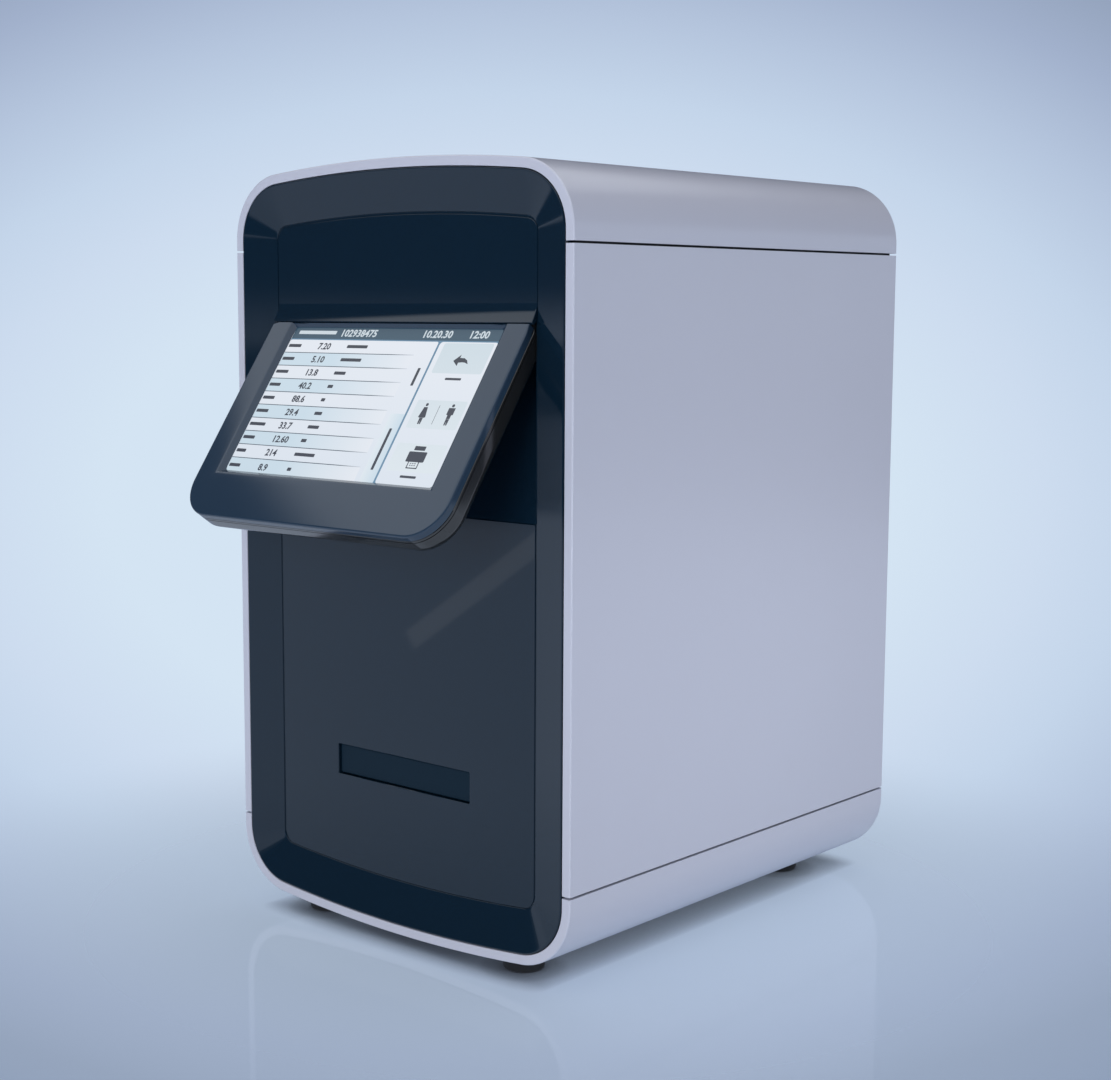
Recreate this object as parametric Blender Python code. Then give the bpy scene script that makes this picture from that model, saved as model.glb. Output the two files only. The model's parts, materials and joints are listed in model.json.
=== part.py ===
"""Benchtop haematology analyser: an arched white case with a dished gloss-black front, a touch
display that tilts out from under a swept brow, a cartridge drawer on a rack and pinion, and the
microscope, press, boards, power supply and fan that the case holds.

The case stands on four rubber feet at Z = 0. X is its width, the front faces -Y, Z is up. Places
are first given in the case's own frame, with Y = 0 on the front rim, and one empty moves them all
so that the origin is the centre of the whole object's footprint.
"""

import math

import bmesh
import bpy
from mathutils import Matrix, Vector

MM = 0.001

# Case: four shells round one outline, arched at the top and at the bottom
CASE_WIDTH = 200.0 * MM
CASE_DEPTH = 244.6 * MM
CASE_HEIGHT = 337.5 * MM
FLOOR_GAP = 4.9 * MM
ARCH_RADIUS = 765.0 * MM
CORNER_RADIUS = 29.0 * MM
CASE_WALL = 3.0 * MM
RIM_WIDTH = 4.3 * MM
RIM_DEPTH = 7.0 * MM
RIM_ROUND = 1.6 * MM
REAR_CHAMFER = 0.6 * MM
SEAM_DROP = 37.3 * MM
SEAM_WIDTH = 1.0 * MM
TONGUE_WALL = 1.5 * MM
TONGUE_REACH = 4.5 * MM
TONGUE_FRONT = 9.0 * MM
TONGUE_REAR = 12.0 * MM
CORNER_STEPS = 7
ARCH_STEPS = 8
ROUND_STEPS = 3

# Clearances shared by all seats, and how finely round pieces are divided
FIT = 0.3 * MM
OVERRUN = 1.0 * MM
SLIGHT_OVERRUN = 0.1 * MM
WELD = 0.001 * MM
SCREW_SEGMENTS = 8
BORE_SEGMENTS = 12
ROUND_SEGMENTS = 20
HEX_SIDES = 6

# Front frame: a dish of sloped bands inside the rim, with a return wall behind
FRAME_FIT = 0.35 * MM
FRAME_SETBACK = 0.6 * MM
BAND_WIDTH = 18.3 * MM
DISH_DEPTH = 4.9 * MM
FRAME_WALL = 2.2 * MM
FRAME_SKIRT = 6.6 * MM
FRAME_RETURN = 21.0 * MM

# Fascias that fill the dish, one above the other
FASCIA_WALL = 2.5 * MM
UPPER_GROOVE = 0.6 * MM
LOWER_GROOVE = 0.9 * MM
SPLIT_DROP = 80.92 * MM
SPLIT_GAP = 0.9 * MM

# Display: its face at rest, seam point under the brow, and the axis it tilts about
TILT_ANGLE = math.radians(34.9)
SEAM_SETBACK = 1.54 * MM
SEAM_BELOW_TOP = 68.83 * MM
SEAM_HALF = 0.2 * MM
AXIS_DEPTH = 10.0 * MM
LIP_WALL = 1.4 * MM
TONGUE_RADIUS = 8.0 * MM
POCKET_CLEARANCE = 0.6 * MM
BROW_RISE = 9.7 * MM
BROW_STEPS = 6
POCKET_STEPS = 10
DISPLAY_SIDE_GAP = 0.6 * MM
DISPLAY_LENGTH = 100.0 * MM
DISPLAY_DEPTH = 14.4 * MM
DISPLAY_CORNER = 17.0 * MM
DISPLAY_CORNER_STEPS = 7
BEZEL_DEPTH = 3.4 * MM
BEZEL_CHAMFER = 0.5 * MM
WINDOW_MARGIN = 12.6 * MM
WINDOW_TOP = -0.5 * MM
WINDOW_BOTTOM = 78.5 * MM
WINDOW_SLOPE = 2.1 * MM
WINDOW_LEDGE = 2.1 * MM
GLASS_LAP = 2.0 * MM
GLASS_TOP = 1.4 * MM
GLASS_WALL = 0.8 * MM
HOUSING_WALL = 1.8 * MM
HOUSING_ROUND = 5.0 * MM
HOUSING_ROUND_STEPS = 3
TONGUE_STEPS = 6
LCD_WALL = 4.6 * MM
LCD_MARGIN = 10.0 * MM
LCD_TOP = 4.0 * MM
DISPLAY_BOARD_WALL = 1.2 * MM
DISPLAY_BOARD_INSET = 20.0 * MM
DISPLAY_BOARD_TOP = 10.0 * MM
DISPLAY_BOARD_BOTTOM = 88.0 * MM
DISPLAY_CHIP_SIZE = 12.0 * MM
DISPLAY_CHIP_WALL = 1.2 * MM
DISPLAY_CHIP_PITCH = 24.0 * MM
PIVOT_TONGUE_GAP = 1.0 * MM
PIN_RADIUS = 1.5 * MM
PIN_FIT = 0.3 * MM
PIN_DEPTH = 9.0 * MM
HINGE_RADIUS = 2.4 * MM
HINGE_WIDTH = 9.0 * MM
HINGE_LEAF_WALL = 1.5 * MM
HINGE_LEAF_HEIGHT = 24.0 * MM
HINGE_LEAF_DEPTH = 9.0 * MM
DISPLAY_SCREW_INSET = 6.3 * MM
DISPLAY_SCREW_TOP = 14.0 * MM
DISPLAY_SCREW_BOTTOM = 80.0 * MM
DISPLAY_SCREW_RADIUS = 1.2 * MM
DISPLAY_SCREW_HEAD = 2.3 * MM
DISPLAY_SCREW_SINK = 1.0 * MM

# Cartridge slot and drawer
SLOT_WIDTH = 80.6 * MM
SLOT_LOW = 70.0 * MM
SLOT_HIGH = 83.85 * MM
SLOT_RECESS = 1.3 * MM
DRAWER_FIT = 0.35 * MM
DRAWER_FACE_WALL = 2.2 * MM
TRAY_WIDTH = 72.0 * MM
TRAY_HEIGHT = 8.0 * MM
TRAY_LENGTH = 98.0 * MM
TRAY_FLANGE = 2.5 * MM
TRAY_FLANGE_WALL = 2.0 * MM
POCKET_WIDTH = 56.0 * MM
POCKET_LENGTH = 58.0 * MM
POCKET_DEPTH = 6.5 * MM
POCKET_FRONT = 8.0 * MM
TRAY_WINDOW = 30.0 * MM
RAIL_WALL = 2.0 * MM
RAIL_FRONT = 9.5 * MM
RAIL_LENGTH = 97.0 * MM

# Rack under the tray and the pinion that drives it
GEAR_MODULE = 1.0 * MM
PINION_TEETH = 30
RACK_OFFSET = 24.0 * MM
RACK_WIDTH = 5.0 * MM
RACK_BASE = 0.6 * MM
RACK_FRONT = 10.0 * MM
RACK_TEETH = 28
GEAR_BACKLASH = 0.35 * MM
PRESSURE_ANGLE = math.radians(20.0)
ADDENDUM_SHARE = 0.85
DEDENDUM_SHARE = 1.2
PINION_FRONT = 31.0 * MM
MOTOR_RADIUS = 10.0 * MM
MOTOR_LENGTH = 18.0 * MM
MOTOR_FLANGE_WALL = 1.0 * MM
MOTOR_FLANGE_SPAN = 28.0 * MM
SHAFT_RADIUS = 1.7 * MM

# Chassis under and round the drawer
CHASSIS_BASE = 24.0 * MM
CHASSIS_WALL = 2.0 * MM
CHASSIS_SIDE_GAP = 16.0 * MM
CHASSIS_FRONT = 22.0 * MM
CHASSIS_REAR_GAP = 16.6 * MM
BOSS_RADIUS = 5.0 * MM
BOSS_BORE = 1.9 * MM
BOSS_SIDE_GAP = 30.0 * MM
BOSS_FRONT = 40.0 * MM
BOSS_REAR_GAP = 22.6 * MM
BED_WIDTH = 98.0 * MM
BED_WALL = 2.0 * MM
BED_REAR = 104.0 * MM
BED_FOOT = 7.0 * MM
BED_WINDOW = 32.0 * MM

# Press that squeezes the cartridge
PRESS_FRONT = 26.0 * MM
PRESS_REAR = 42.0 * MM
PRESS_SPAN = 94.0 * MM
PRESS_WALL = 2.5 * MM
PRESS_TOP = 120.0 * MM
PRESS_TRAVEL = 5.0 * MM
PRESS_HEAD_WIDTH = 44.0 * MM
PRESS_HEAD_HEIGHT = 8.0 * MM
PRESS_HEAD_LOW = 88.0 * MM
PRESS_PAD_RADIUS = 3.0 * MM
PRESS_PAD_HEIGHT = 1.5 * MM
PRESS_PAD_PITCH = 14.0 * MM
PRESS_ROD_RADIUS = 3.0 * MM
PRESS_MOTOR_RADIUS = 9.0 * MM
PRESS_MOTOR_HEIGHT = 26.0 * MM

# Microscope: post, focus rail and carriage, tube, objective, camera and lamp
OPTIC_FRONT = 56.0 * MM
POST_WIDTH = 60.0 * MM
POST_FRONT = 110.0 * MM
POST_WALL = 8.0 * MM
POST_TOP = 246.0 * MM
POST_RIB_WALL = 5.0 * MM
POST_RIB_DEPTH = 20.0 * MM
POST_RIB_HEIGHT = 120.0 * MM
FOCUS_RAIL_WIDTH = 12.0 * MM
FOCUS_RAIL_WALL = 6.0 * MM
FOCUS_RAIL_LOW = 116.0 * MM
FOCUS_RAIL_HIGH = 212.0 * MM
CARRIAGE_WIDTH = 52.0 * MM
CARRIAGE_DEPTH = 13.0 * MM
CARRIAGE_LOW = 146.0 * MM
CARRIAGE_HEIGHT = 28.0 * MM
ARM_WIDTH = 30.0 * MM
ARM_LOW = 152.0 * MM
ARM_HEIGHT = 14.0 * MM
ARM_RING_RADIUS = 17.0 * MM
TUBE_RADIUS = 12.0 * MM
TUBE_LOW = 118.0 * MM
TUBE_HIGH = 186.0 * MM
TUBE_COLLAR = 13.5 * MM
TUBE_COLLAR_HEIGHT = 4.0 * MM
OBJECTIVE_TIP = 85.5 * MM
OBJECTIVE_TIP_RADIUS = 5.0 * MM
OBJECTIVE_RADIUS = 10.0 * MM
OBJECTIVE_CONE = 9.0 * MM
LENS_RADIUS = 3.2 * MM
LENS_WALL = 1.0 * MM
CAMERA_SIDE = 29.0 * MM
CAMERA_HEIGHT = 30.0 * MM
CAMERA_CHAMFER = 1.2 * MM
SCREW_OFFSET = 18.0 * MM
SCREW_RADIUS = 2.5 * MM
SCREW_LOW = 128.0 * MM
FOCUS_MOTOR_SIDE = 20.0 * MM
FOCUS_MOTOR_HEIGHT = 18.0 * MM
FOCUS_BRACKET_LOW = 214.0 * MM
FOCUS_BRACKET_WALL = 3.0 * MM
LAMP_RADIUS = 13.0 * MM
LAMP_HEIGHT = 22.0 * MM
LAMP_LENS_RADIUS = 8.0 * MM
LAMP_FINS = 3
LAMP_FIN_DEPTH = 2.0 * MM
LAMP_STAND_RADIUS = 6.0 * MM

# Main board, its bracket and ports
BOARD_WALL = 1.6 * MM
BOARD_SETBACK = 10.0 * MM
BOARD_FRONT = 60.0 * MM
BOARD_LOW = 66.0 * MM
BOARD_HIGH = 212.0 * MM
BRACKET_WALL = 1.5 * MM
BRACKET_REAR_GAP = 44.6 * MM
BRACKET_FOOT = 9.0 * MM
STANDOFF_RADIUS = 2.6 * MM
STANDOFF_LENGTH = 6.0 * MM
STANDOFF_MARGIN = 12.0 * MM
CHIP_WALL = 2.0 * MM
HEATSINK_SIDE = 34.0 * MM
HEATSINK_WALL = 3.0 * MM
CHIP_SIDE = 18.0 * MM
PORT_OVERHANG = 0.6 * MM
USB_WIDTH = 7.0 * MM
USB_HEIGHT = 14.4 * MM
USB_LENGTH = 15.0 * MM
USB_SHELL = 0.7 * MM
USB_TONGUE = 1.8 * MM
USB_LOW = 82.0 * MM
USB_PITCH = 20.0 * MM
LAN_WIDTH = 14.0 * MM
LAN_HEIGHT = 16.0 * MM
LAN_LENGTH = 18.0 * MM
LAN_SHELL = 1.2 * MM
LAN_DEPTH = 14.0 * MM
LAN_HEIGHT_AT = 131.0 * MM

# Power supply
SUPPLY_WIDTH = 68.0 * MM
SUPPLY_SIDE_GAP = 20.0 * MM
SUPPLY_FRONT_GAP = 2.0 * MM
SUPPLY_REAR_GAP = 28.6 * MM
SUPPLY_HEIGHT = 42.0 * MM
SUPPLY_WALL = 1.2 * MM
SUPPLY_SLOTS = 6
SUPPLY_SLOT_WIDTH = 3.0 * MM
SUPPLY_SLOT_PITCH = 9.0 * MM
SUPPLY_CORE_GAP = 5.0 * MM
SUPPLY_CAPACITOR_RADIUS = 6.0 * MM
SUPPLY_BOARD_WALL = 1.6 * MM
SUPPLY_CORE_SIDE = 26.0 * MM
SUPPLY_CORE_HEIGHT = 24.0 * MM

# Rear panel and what it carries
REAR_WALL = 2.0 * MM
REAR_RECESS = 3.6 * MM
REAR_FIT = 0.4 * MM
VENT_ROWS = 8
VENT_WIDTH = 34.0 * MM
VENT_HEIGHT = 3.0 * MM
VENT_PITCH = 8.0 * MM
VENT_LEFT = 28.0 * MM
VENT_LOW = 132.0 * MM
CASE_SCREW_RADIUS = 1.5 * MM
CASE_SCREW_HEAD = 3.0 * MM
CASE_SCREW_LENGTH = 8.0 * MM
CASE_SCREW_HEAD_EDGE = 1.0 * MM
CASE_SCREW_HEAD_CROWN = 1.5 * MM
CASE_SCREW_INSET = 11.0 * MM
CASE_SCREW_SPREAD = 56.0 * MM
CASE_SCREW_SEAM_GAP = 13.45 * MM
CASE_BOSS_SIDE = 10.0 * MM
CASE_BOSS_LENGTH = 10.0 * MM
FAN_SIDE = 80.0 * MM
FAN_DEPTH = 25.0 * MM
FAN_X = -18.0 * MM
FAN_BELOW_TOP = 92.4 * MM
FAN_BORE = 37.5 * MM
FAN_HUB = 15.0 * MM
FAN_BLADES = 7
FAN_BLADE_TIP = 36.0 * MM
FAN_BLADE_WALL = 1.4 * MM
FAN_BLADE_PITCH = math.radians(38.0)
FAN_BLADE_SWEEP = math.radians(16.0)
FAN_BLADE_STEPS = 4
FAN_ROTOR_DEPTH = 16.0 * MM
FAN_STRUT = 4.0 * MM
FAN_SCREW_OFFSET = 35.75 * MM
FAN_SCREW_RADIUS = 1.9 * MM
FAN_SCREW_HEAD = 3.4 * MM
FAN_SCREW_HEAD_WALL = 2.0 * MM
FAN_SCREW_LENGTH = 12.0 * MM
GUARD_WIRE = 1.0 * MM
GUARD_RINGS = 4
GUARD_PITCH = 8.5 * MM
GUARD_FIRST = 8.0 * MM
GUARD_ARM = 1.6 * MM
GUARD_ARM_WALL = 1.3 * MM
GUARD_SEGMENTS = 22
INLET_X = 52.0 * MM
INLET_Z = 96.0 * MM
INLET_FLANGE_WIDTH = 50.0 * MM
INLET_FLANGE_HEIGHT = 27.0 * MM
INLET_FLANGE_WALL = 2.6 * MM
INLET_BODY_WIDTH = 28.0 * MM
INLET_BODY_HEIGHT = 20.5 * MM
INLET_BODY_DEPTH = 20.0 * MM
INLET_CAVITY_WIDTH = 24.6 * MM
INLET_CAVITY_HEIGHT = 16.8 * MM
INLET_CAVITY_DEPTH = 16.0 * MM
INLET_CAVITY_CORNER = 5.0 * MM
INLET_PIN_PITCH = 7.0 * MM
INLET_PIN_RISE = 2.0 * MM
INLET_PIN_DROP = 2.0 * MM
INLET_PIN_HEIGHT = 4.0 * MM
INLET_PIN_WALL = 2.0 * MM
INLET_PIN_LENGTH = 11.0 * MM
INLET_SCREW_OFFSET = 20.0 * MM
SWITCH_X = 10.0 * MM
SWITCH_WIDTH = 15.0 * MM
SWITCH_HEIGHT = 21.0 * MM
SWITCH_FLANGE = 2.0 * MM
SWITCH_FLANGE_WALL = 1.4 * MM
SWITCH_DEPTH = 17.0 * MM
SWITCH_WALL = 1.4 * MM
ROCKER_GAP = 0.4 * MM
ROCKER_TRAVEL = math.radians(14.0)
ROCKER_RISE = 0.6 * MM
ROCKER_AXIS_DEPTH = 5.0 * MM
ROCKER_PIN_RADIUS = 1.2 * MM

# Feet
FOOT_SIDE_GAP = 39.5 * MM
FOOT_FRONT = 17.5 * MM
FOOT_REAR_GAP = 32.1 * MM
FOOT_RADIUS = 9.0 * MM
FOOT_ROUND = 1.0 * MM
FOOT_SEAT = 0.3 * MM
FOOT_BORE = 1.9 * MM
FOOT_SINK_RADIUS = 3.9 * MM
FOOT_SINK = 2.8 * MM
FOOT_SCREW_HEAD = 3.5 * MM
FOOT_SCREW_HEAD_WALL = 1.9 * MM
FOOT_SCREW_RADIUS = 1.5 * MM
FOOT_BOSS_HEIGHT = 7.0 * MM

# Places worked out from the sizes above
CASE_HALF = CASE_WIDTH / 2
CASE_TOP = FLOOR_GAP + CASE_HEIGHT
CASE_MIDDLE = FLOOR_GAP + CASE_HEIGHT / 2
SEAM_HEIGHT = CASE_TOP - SEAM_BELOW_TOP
SPLIT_HEIGHT = SEAM_HEIGHT - SPLIT_DROP
SEAM_HIGH = CASE_TOP - SEAM_DROP
SEAM_LOW = FLOOR_GAP + SEAM_DROP
BAND_INSET = RIM_WIDTH + BAND_WIDTH
INNER_WALL = CASE_HALF - CASE_WALL
FRAME_INNER = CASE_HALF - BAND_INSET
DISPLAY_HALF = FRAME_INNER - DISPLAY_SIDE_GAP
WINDOW_HALF = DISPLAY_HALF - WINDOW_MARGIN
DISPLAY_REACH = (DISPLAY_LENGTH - BEZEL_CHAMFER) * math.sin(TILT_ANGLE) - SEAM_SETBACK
ORIGIN_SETBACK = (CASE_DEPTH - DISPLAY_REACH) / 2
AXIS_SETBACK = SEAM_SETBACK + AXIS_DEPTH * math.cos(TILT_ANGLE)
AXIS_HEIGHT = SEAM_HEIGHT - AXIS_DEPTH * math.sin(TILT_ANGLE)
REAR_OUTER = CASE_DEPTH - REAR_RECESS
REAR_INNER = REAR_OUTER - REAR_WALL
CHASSIS_TOP = CHASSIS_BASE + CHASSIS_WALL
CHASSIS_HALF = CASE_HALF - CHASSIS_SIDE_GAP
CHASSIS_REAR = CASE_DEPTH - CHASSIS_REAR_GAP
BOSS_SPREAD = CASE_HALF - BOSS_SIDE_GAP
BOSS_REAR = CASE_DEPTH - BOSS_REAR_GAP
SLOT_MIDDLE = (SLOT_LOW + SLOT_HIGH) / 2
FACE_FRONT = DISH_DEPTH + SLOT_RECESS
TRAY_FRONT = FACE_FRONT + DRAWER_FACE_WALL
TRAY_LOW = SLOT_MIDDLE - TRAY_HEIGHT / 2
TRAY_HIGH = TRAY_LOW + TRAY_HEIGHT
RACK_PITCH_HEIGHT = TRAY_LOW - RACK_BASE - GEAR_MODULE
PINION_RADIUS = GEAR_MODULE * PINION_TEETH / 2
PINION_HEIGHT = RACK_PITCH_HEIGHT - PINION_RADIUS
RAIL_LOW = TRAY_LOW - RACK_BASE - DEDENDUM_SHARE * GEAR_MODULE * 2
BED_TOP = RAIL_LOW - FIT
BOARD_OUTER = INNER_WALL - BOARD_SETBACK
BOARD_INNER = BOARD_OUTER - BOARD_WALL
BOARD_REAR = REAR_INNER - FIT
BRACKET_REAR = CASE_DEPTH - BRACKET_REAR_GAP
SUPPLY_RIGHT = CASE_HALF - SUPPLY_SIDE_GAP
SUPPLY_LEFT = SUPPLY_RIGHT - SUPPLY_WIDTH
SUPPLY_FRONT = POST_FRONT + POST_WALL + POST_RIB_DEPTH + SUPPLY_FRONT_GAP
SUPPLY_REAR = CASE_DEPTH - SUPPLY_REAR_GAP
CASE_SCREW_HIGH = SEAM_HIGH - CASE_SCREW_SEAM_GAP
CASE_SCREW_LOW = SEAM_LOW + CASE_SCREW_SEAM_GAP
FAN_Z = CASE_TOP - FAN_BELOW_TOP
FOOT_SPREAD = CASE_HALF - FOOT_SIDE_GAP
FOOT_REAR = CASE_DEPTH - FOOT_REAR_GAP
FAN_FRONT = REAR_INNER - FIT - FAN_DEPTH


def finish(name, colour, roughness, metallic=0.0, coat=0.0):
    """A plain material of one colour."""
    material = bpy.data.materials.new(name)
    material.use_nodes = True
    shader = material.node_tree.nodes["Principled BSDF"]
    shader.inputs["Base Color"].default_value = (*colour, 1.0)
    shader.inputs["Roughness"].default_value = roughness
    shader.inputs["Metallic"].default_value = metallic
    shader.inputs["Coat Weight"].default_value = coat
    material.diffuse_color = (*colour, 1.0)
    return material


def make_finishes():
    """The finishes, by the words used below."""
    return {
        "case": finish("white_painted_case", (0.74, 0.76, 0.80), 0.35, coat=0.3),
        "gloss": finish("gloss_black_front", (0.012, 0.018, 0.026), 0.12, coat=0.6),
        "satin": finish("satin_black_moulding", (0.02, 0.022, 0.026), 0.4),
        "glass": finish("touch_glass", (0.55, 0.66, 0.72), 0.08, coat=0.5),
        "rubber": finish("black_rubber", (0.015, 0.015, 0.016), 0.8),
        "steel": finish("zinc_plated_steel", (0.55, 0.56, 0.58), 0.35, metallic=1.0),
        "aluminium": finish("anodised_aluminium", (0.62, 0.63, 0.65), 0.4, metallic=1.0),
        "brass": finish("brass", (0.72, 0.56, 0.28), 0.35, metallic=1.0),
        "board": finish("circuit_board", (0.02, 0.16, 0.07), 0.5),
        "acetal": finish("white_acetal", (0.80, 0.80, 0.77), 0.45),
    }


def box(bm, low, high):
    """Adds a box between two corners."""
    low, high = Vector(low), Vector(high)
    size = Matrix.Diagonal(high - low).to_4x4()
    bmesh.ops.create_cube(bm, size=1.0, matrix=Matrix.Translation((low + high) / 2) @ size)


def prism(bm, outline, axis, start, end):
    """Adds an outline of (a, b) points extruded along an axis; a and b run along the other two."""
    places = {
        "X": lambda a, b, c: (c, a, b),
        "Y": lambda a, b, c: (a, c, b),
        "Z": lambda a, b, c: (a, b, c),
    }
    place = places[axis]
    near = bm.faces.new([bm.verts.new(place(a, b, start)) for a, b in outline])
    far = bmesh.ops.extrude_face_region(bm, geom=[near])["geom"]
    moved = [item for item in far if isinstance(item, bmesh.types.BMVert)]
    bmesh.ops.translate(bm, verts=moved, vec=Vector(place(0, 0, end)) - Vector(place(0, 0, start)))


def turned(bm, profile, centre, axis, segments):
    """Adds a closed profile of (radius, height) points spun about an axis through the centre."""
    frames = {
        "X": (Vector((0, 1, 0)), Vector((1, 0, 0))),
        "Y": (Vector((1, 0, 0)), Vector((0, 1, 0))),
        "Z": (Vector((1, 0, 0)), Vector((0, 0, 1))),
    }
    out, along = frames[axis]
    centre = Vector(centre)
    points = [bm.verts.new(centre + out * radius + along * height) for radius, height in profile]
    solid = profile[0][0] == 0 and profile[-1][0] == 0
    ends = points[1:] if solid else points[1:] + points[:1]
    edges = [bm.edges.new(pair) for pair in zip(points, ends)]
    spun = bmesh.ops.spin(
        bm, geom=points + edges, cent=centre, axis=along, angle=math.tau, steps=segments, use_merge=False
    )
    seam = {vert for edge in edges for vert in edge.verts}
    seam.update(vert for vert in spun["geom_last"] if isinstance(vert, bmesh.types.BMVert))
    on_axis = [vert for vert in bm.verts if (vert.co - centre).cross(along).length < WELD]
    seam.update(on_axis)
    bmesh.ops.remove_doubles(bm, verts=list(seam), dist=WELD)


def cylinder(bm, radius, centre, axis, start, end, segments):
    """Adds a solid cylinder from start to end along an axis through the centre."""
    turned(bm, [(0, start), (radius, start), (radius, end), (0, end)], centre, axis, segments)


def ring(bm, inner, outer, centre, axis, start, end, segments):
    """Adds a tube of two radii from start to end along an axis through the centre."""
    turned(bm, [(inner, start), (outer, start), (outer, end), (inner, end)], centre, axis, segments)


def skin(bm, sections, closed):
    """Bridges closed sections of equally many points, and caps the ends where the run is open."""
    loops = [[bm.verts.new(point) for point in section] for section in sections]
    pairs = list(zip(loops, loops[1:]))
    if closed:
        pairs.append((loops[-1], loops[0]))
    for first, second in pairs:
        for place in range(len(first)):
            after = (place + 1) % len(first)
            bm.faces.new((first[place], first[after], second[after], second[place]))
    if not closed:
        bm.faces.new(loops[0])
        bm.faces.new(list(reversed(loops[-1])))


def add(name, bm, material, parent, smooth_below=None):
    """Makes the named object from the mesh, with its faces outward."""
    bmesh.ops.recalc_face_normals(bm, faces=bm.faces)
    mesh = bpy.data.meshes.new(name)
    bm.to_mesh(mesh)
    bm.free()
    obj = bpy.data.objects.new(name, mesh)
    bpy.context.scene.collection.objects.link(obj)
    obj.parent = parent
    if material:
        mesh.materials.append(material)
    if smooth_below:
        mesh.shade_smooth()
        mesh.set_sharp_from_angle(angle=math.radians(smooth_below))
    return obj


def combine(target, bm, operation, word="main"):
    """Cuts from the target, or joins to it, the solids of the mesh, as a live Boolean."""
    tool = add(f"{target.name}_{operation.lower()}_{word}", bm, None, target.parent)
    tool.hide_render = True
    tool.display_type = "WIRE"
    modifier = target.modifiers.new(f"{operation.title()} {word}", "BOOLEAN")
    modifier.operation = operation
    modifier.solver = "EXACT"
    modifier.object = tool


def bevelled(obj, width, segments=1, angle=50.0):
    """Softens the edges sharper than an angle."""
    bevel = obj.modifiers.new("Bevel", "BEVEL")
    bevel.width = width
    bevel.segments = segments
    bevel.limit_method = "ANGLE"
    bevel.angle_limit = math.radians(angle)


def arc(centre, radius, start, end, steps):
    """Points of an arc from the angle start to the angle end, both included."""
    angles = [start + (end - start) * step / steps for step in range(steps + 1)]
    across, up = centre
    return [(across + radius * math.cos(angle), up + radius * math.sin(angle)) for angle in angles]


def arched_top(inset):
    """The outline's top from right to left: corner, arch, corner, drawn in by the inset."""
    reach = ARCH_RADIUS - CORNER_RADIUS
    corner_x = CASE_HALF - CORNER_RADIUS
    arch_z = CASE_TOP - ARCH_RADIUS
    lean = math.asin(corner_x / reach)
    corner_z = arch_z + reach * math.cos(lean)
    right = arc((corner_x, corner_z), CORNER_RADIUS - inset, 0, math.pi / 2 - lean, CORNER_STEPS)
    arch = arc((0, arch_z), ARCH_RADIUS - inset, math.pi / 2 - lean, math.pi / 2 + lean, ARCH_STEPS)
    left = [(-x, z) for x, z in reversed(right)]
    return right + arch[1:-1] + left


def mirrored(points):
    """The same outline upside down about the case's middle."""
    return [(x, 2 * CASE_MIDDLE - z) for x, z in points]


def full_outline(inset):
    """The whole closed outline, anticlockwise seen from the front."""
    top = arched_top(inset)
    return top + list(reversed(mirrored(top)))


def swept_shell(bm, profile, path, closed):
    """Carries a profile of (inset, y) points along a path that is given for each inset."""
    runs = [path(inset) for inset, _ in profile]
    count = len(runs[0])
    sections = [
        [(runs[k][i][0], profile[k][1], runs[k][i][1]) for k in range(len(profile))] for i in range(count)
    ]
    skin(bm, sections, closed)


def shell_profile():
    """The shells' cross-section: rounded front edge, thick rim, thinner wall behind."""
    rounded = arc((RIM_ROUND, RIM_ROUND), RIM_ROUND, -math.pi / 2, -math.pi, ROUND_STEPS)
    return rounded + [
        (0, CASE_DEPTH - REAR_CHAMFER),
        (REAR_CHAMFER, CASE_DEPTH),
        (CASE_WALL, CASE_DEPTH),
        (CASE_WALL, RIM_DEPTH),
        (RIM_WIDTH, RIM_DEPTH),
        (RIM_WIDTH, 0),
    ]


def cover_path(inset):
    """Outline of the top cover, from seam to seam."""
    end = SEAM_HIGH + SEAM_WIDTH / 2
    side = CASE_HALF - inset
    return [(side, end)] + arched_top(inset) + [(-side, end)]


def tray_path(inset):
    """Outline of the bottom tray, from seam to seam."""
    return mirrored(cover_path(inset))


def right_panel_path(inset):
    """Outline of the right side panel, a straight run between the seams."""
    side = CASE_HALF - inset
    return [(side, SEAM_LOW + SEAM_WIDTH / 2), (side, SEAM_HIGH - SEAM_WIDTH / 2)]


def left_panel_path(inset):
    """The same run on the left."""
    return [(-x, z) for x, z in right_panel_path(inset)]


def rear_screw_places():
    """The rear panel's screws: two under the arch, two above the bottom, two up each side."""
    corner_high = CASE_TOP - CASE_SCREW_INSET - CASE_WALL
    corner_low = FLOOR_GAP + CASE_SCREW_INSET + CASE_WALL
    side = INNER_WALL - CASE_SCREW_INSET + CASE_WALL
    places = []
    for hand in (-1, 1):
        places.append((hand * CASE_SCREW_SPREAD, corner_high))
        places.append((hand * CASE_SCREW_SPREAD, corner_low))
        places.append((hand * side, CASE_SCREW_HIGH))
        places.append((hand * side, CASE_SCREW_LOW))
    return places


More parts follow.
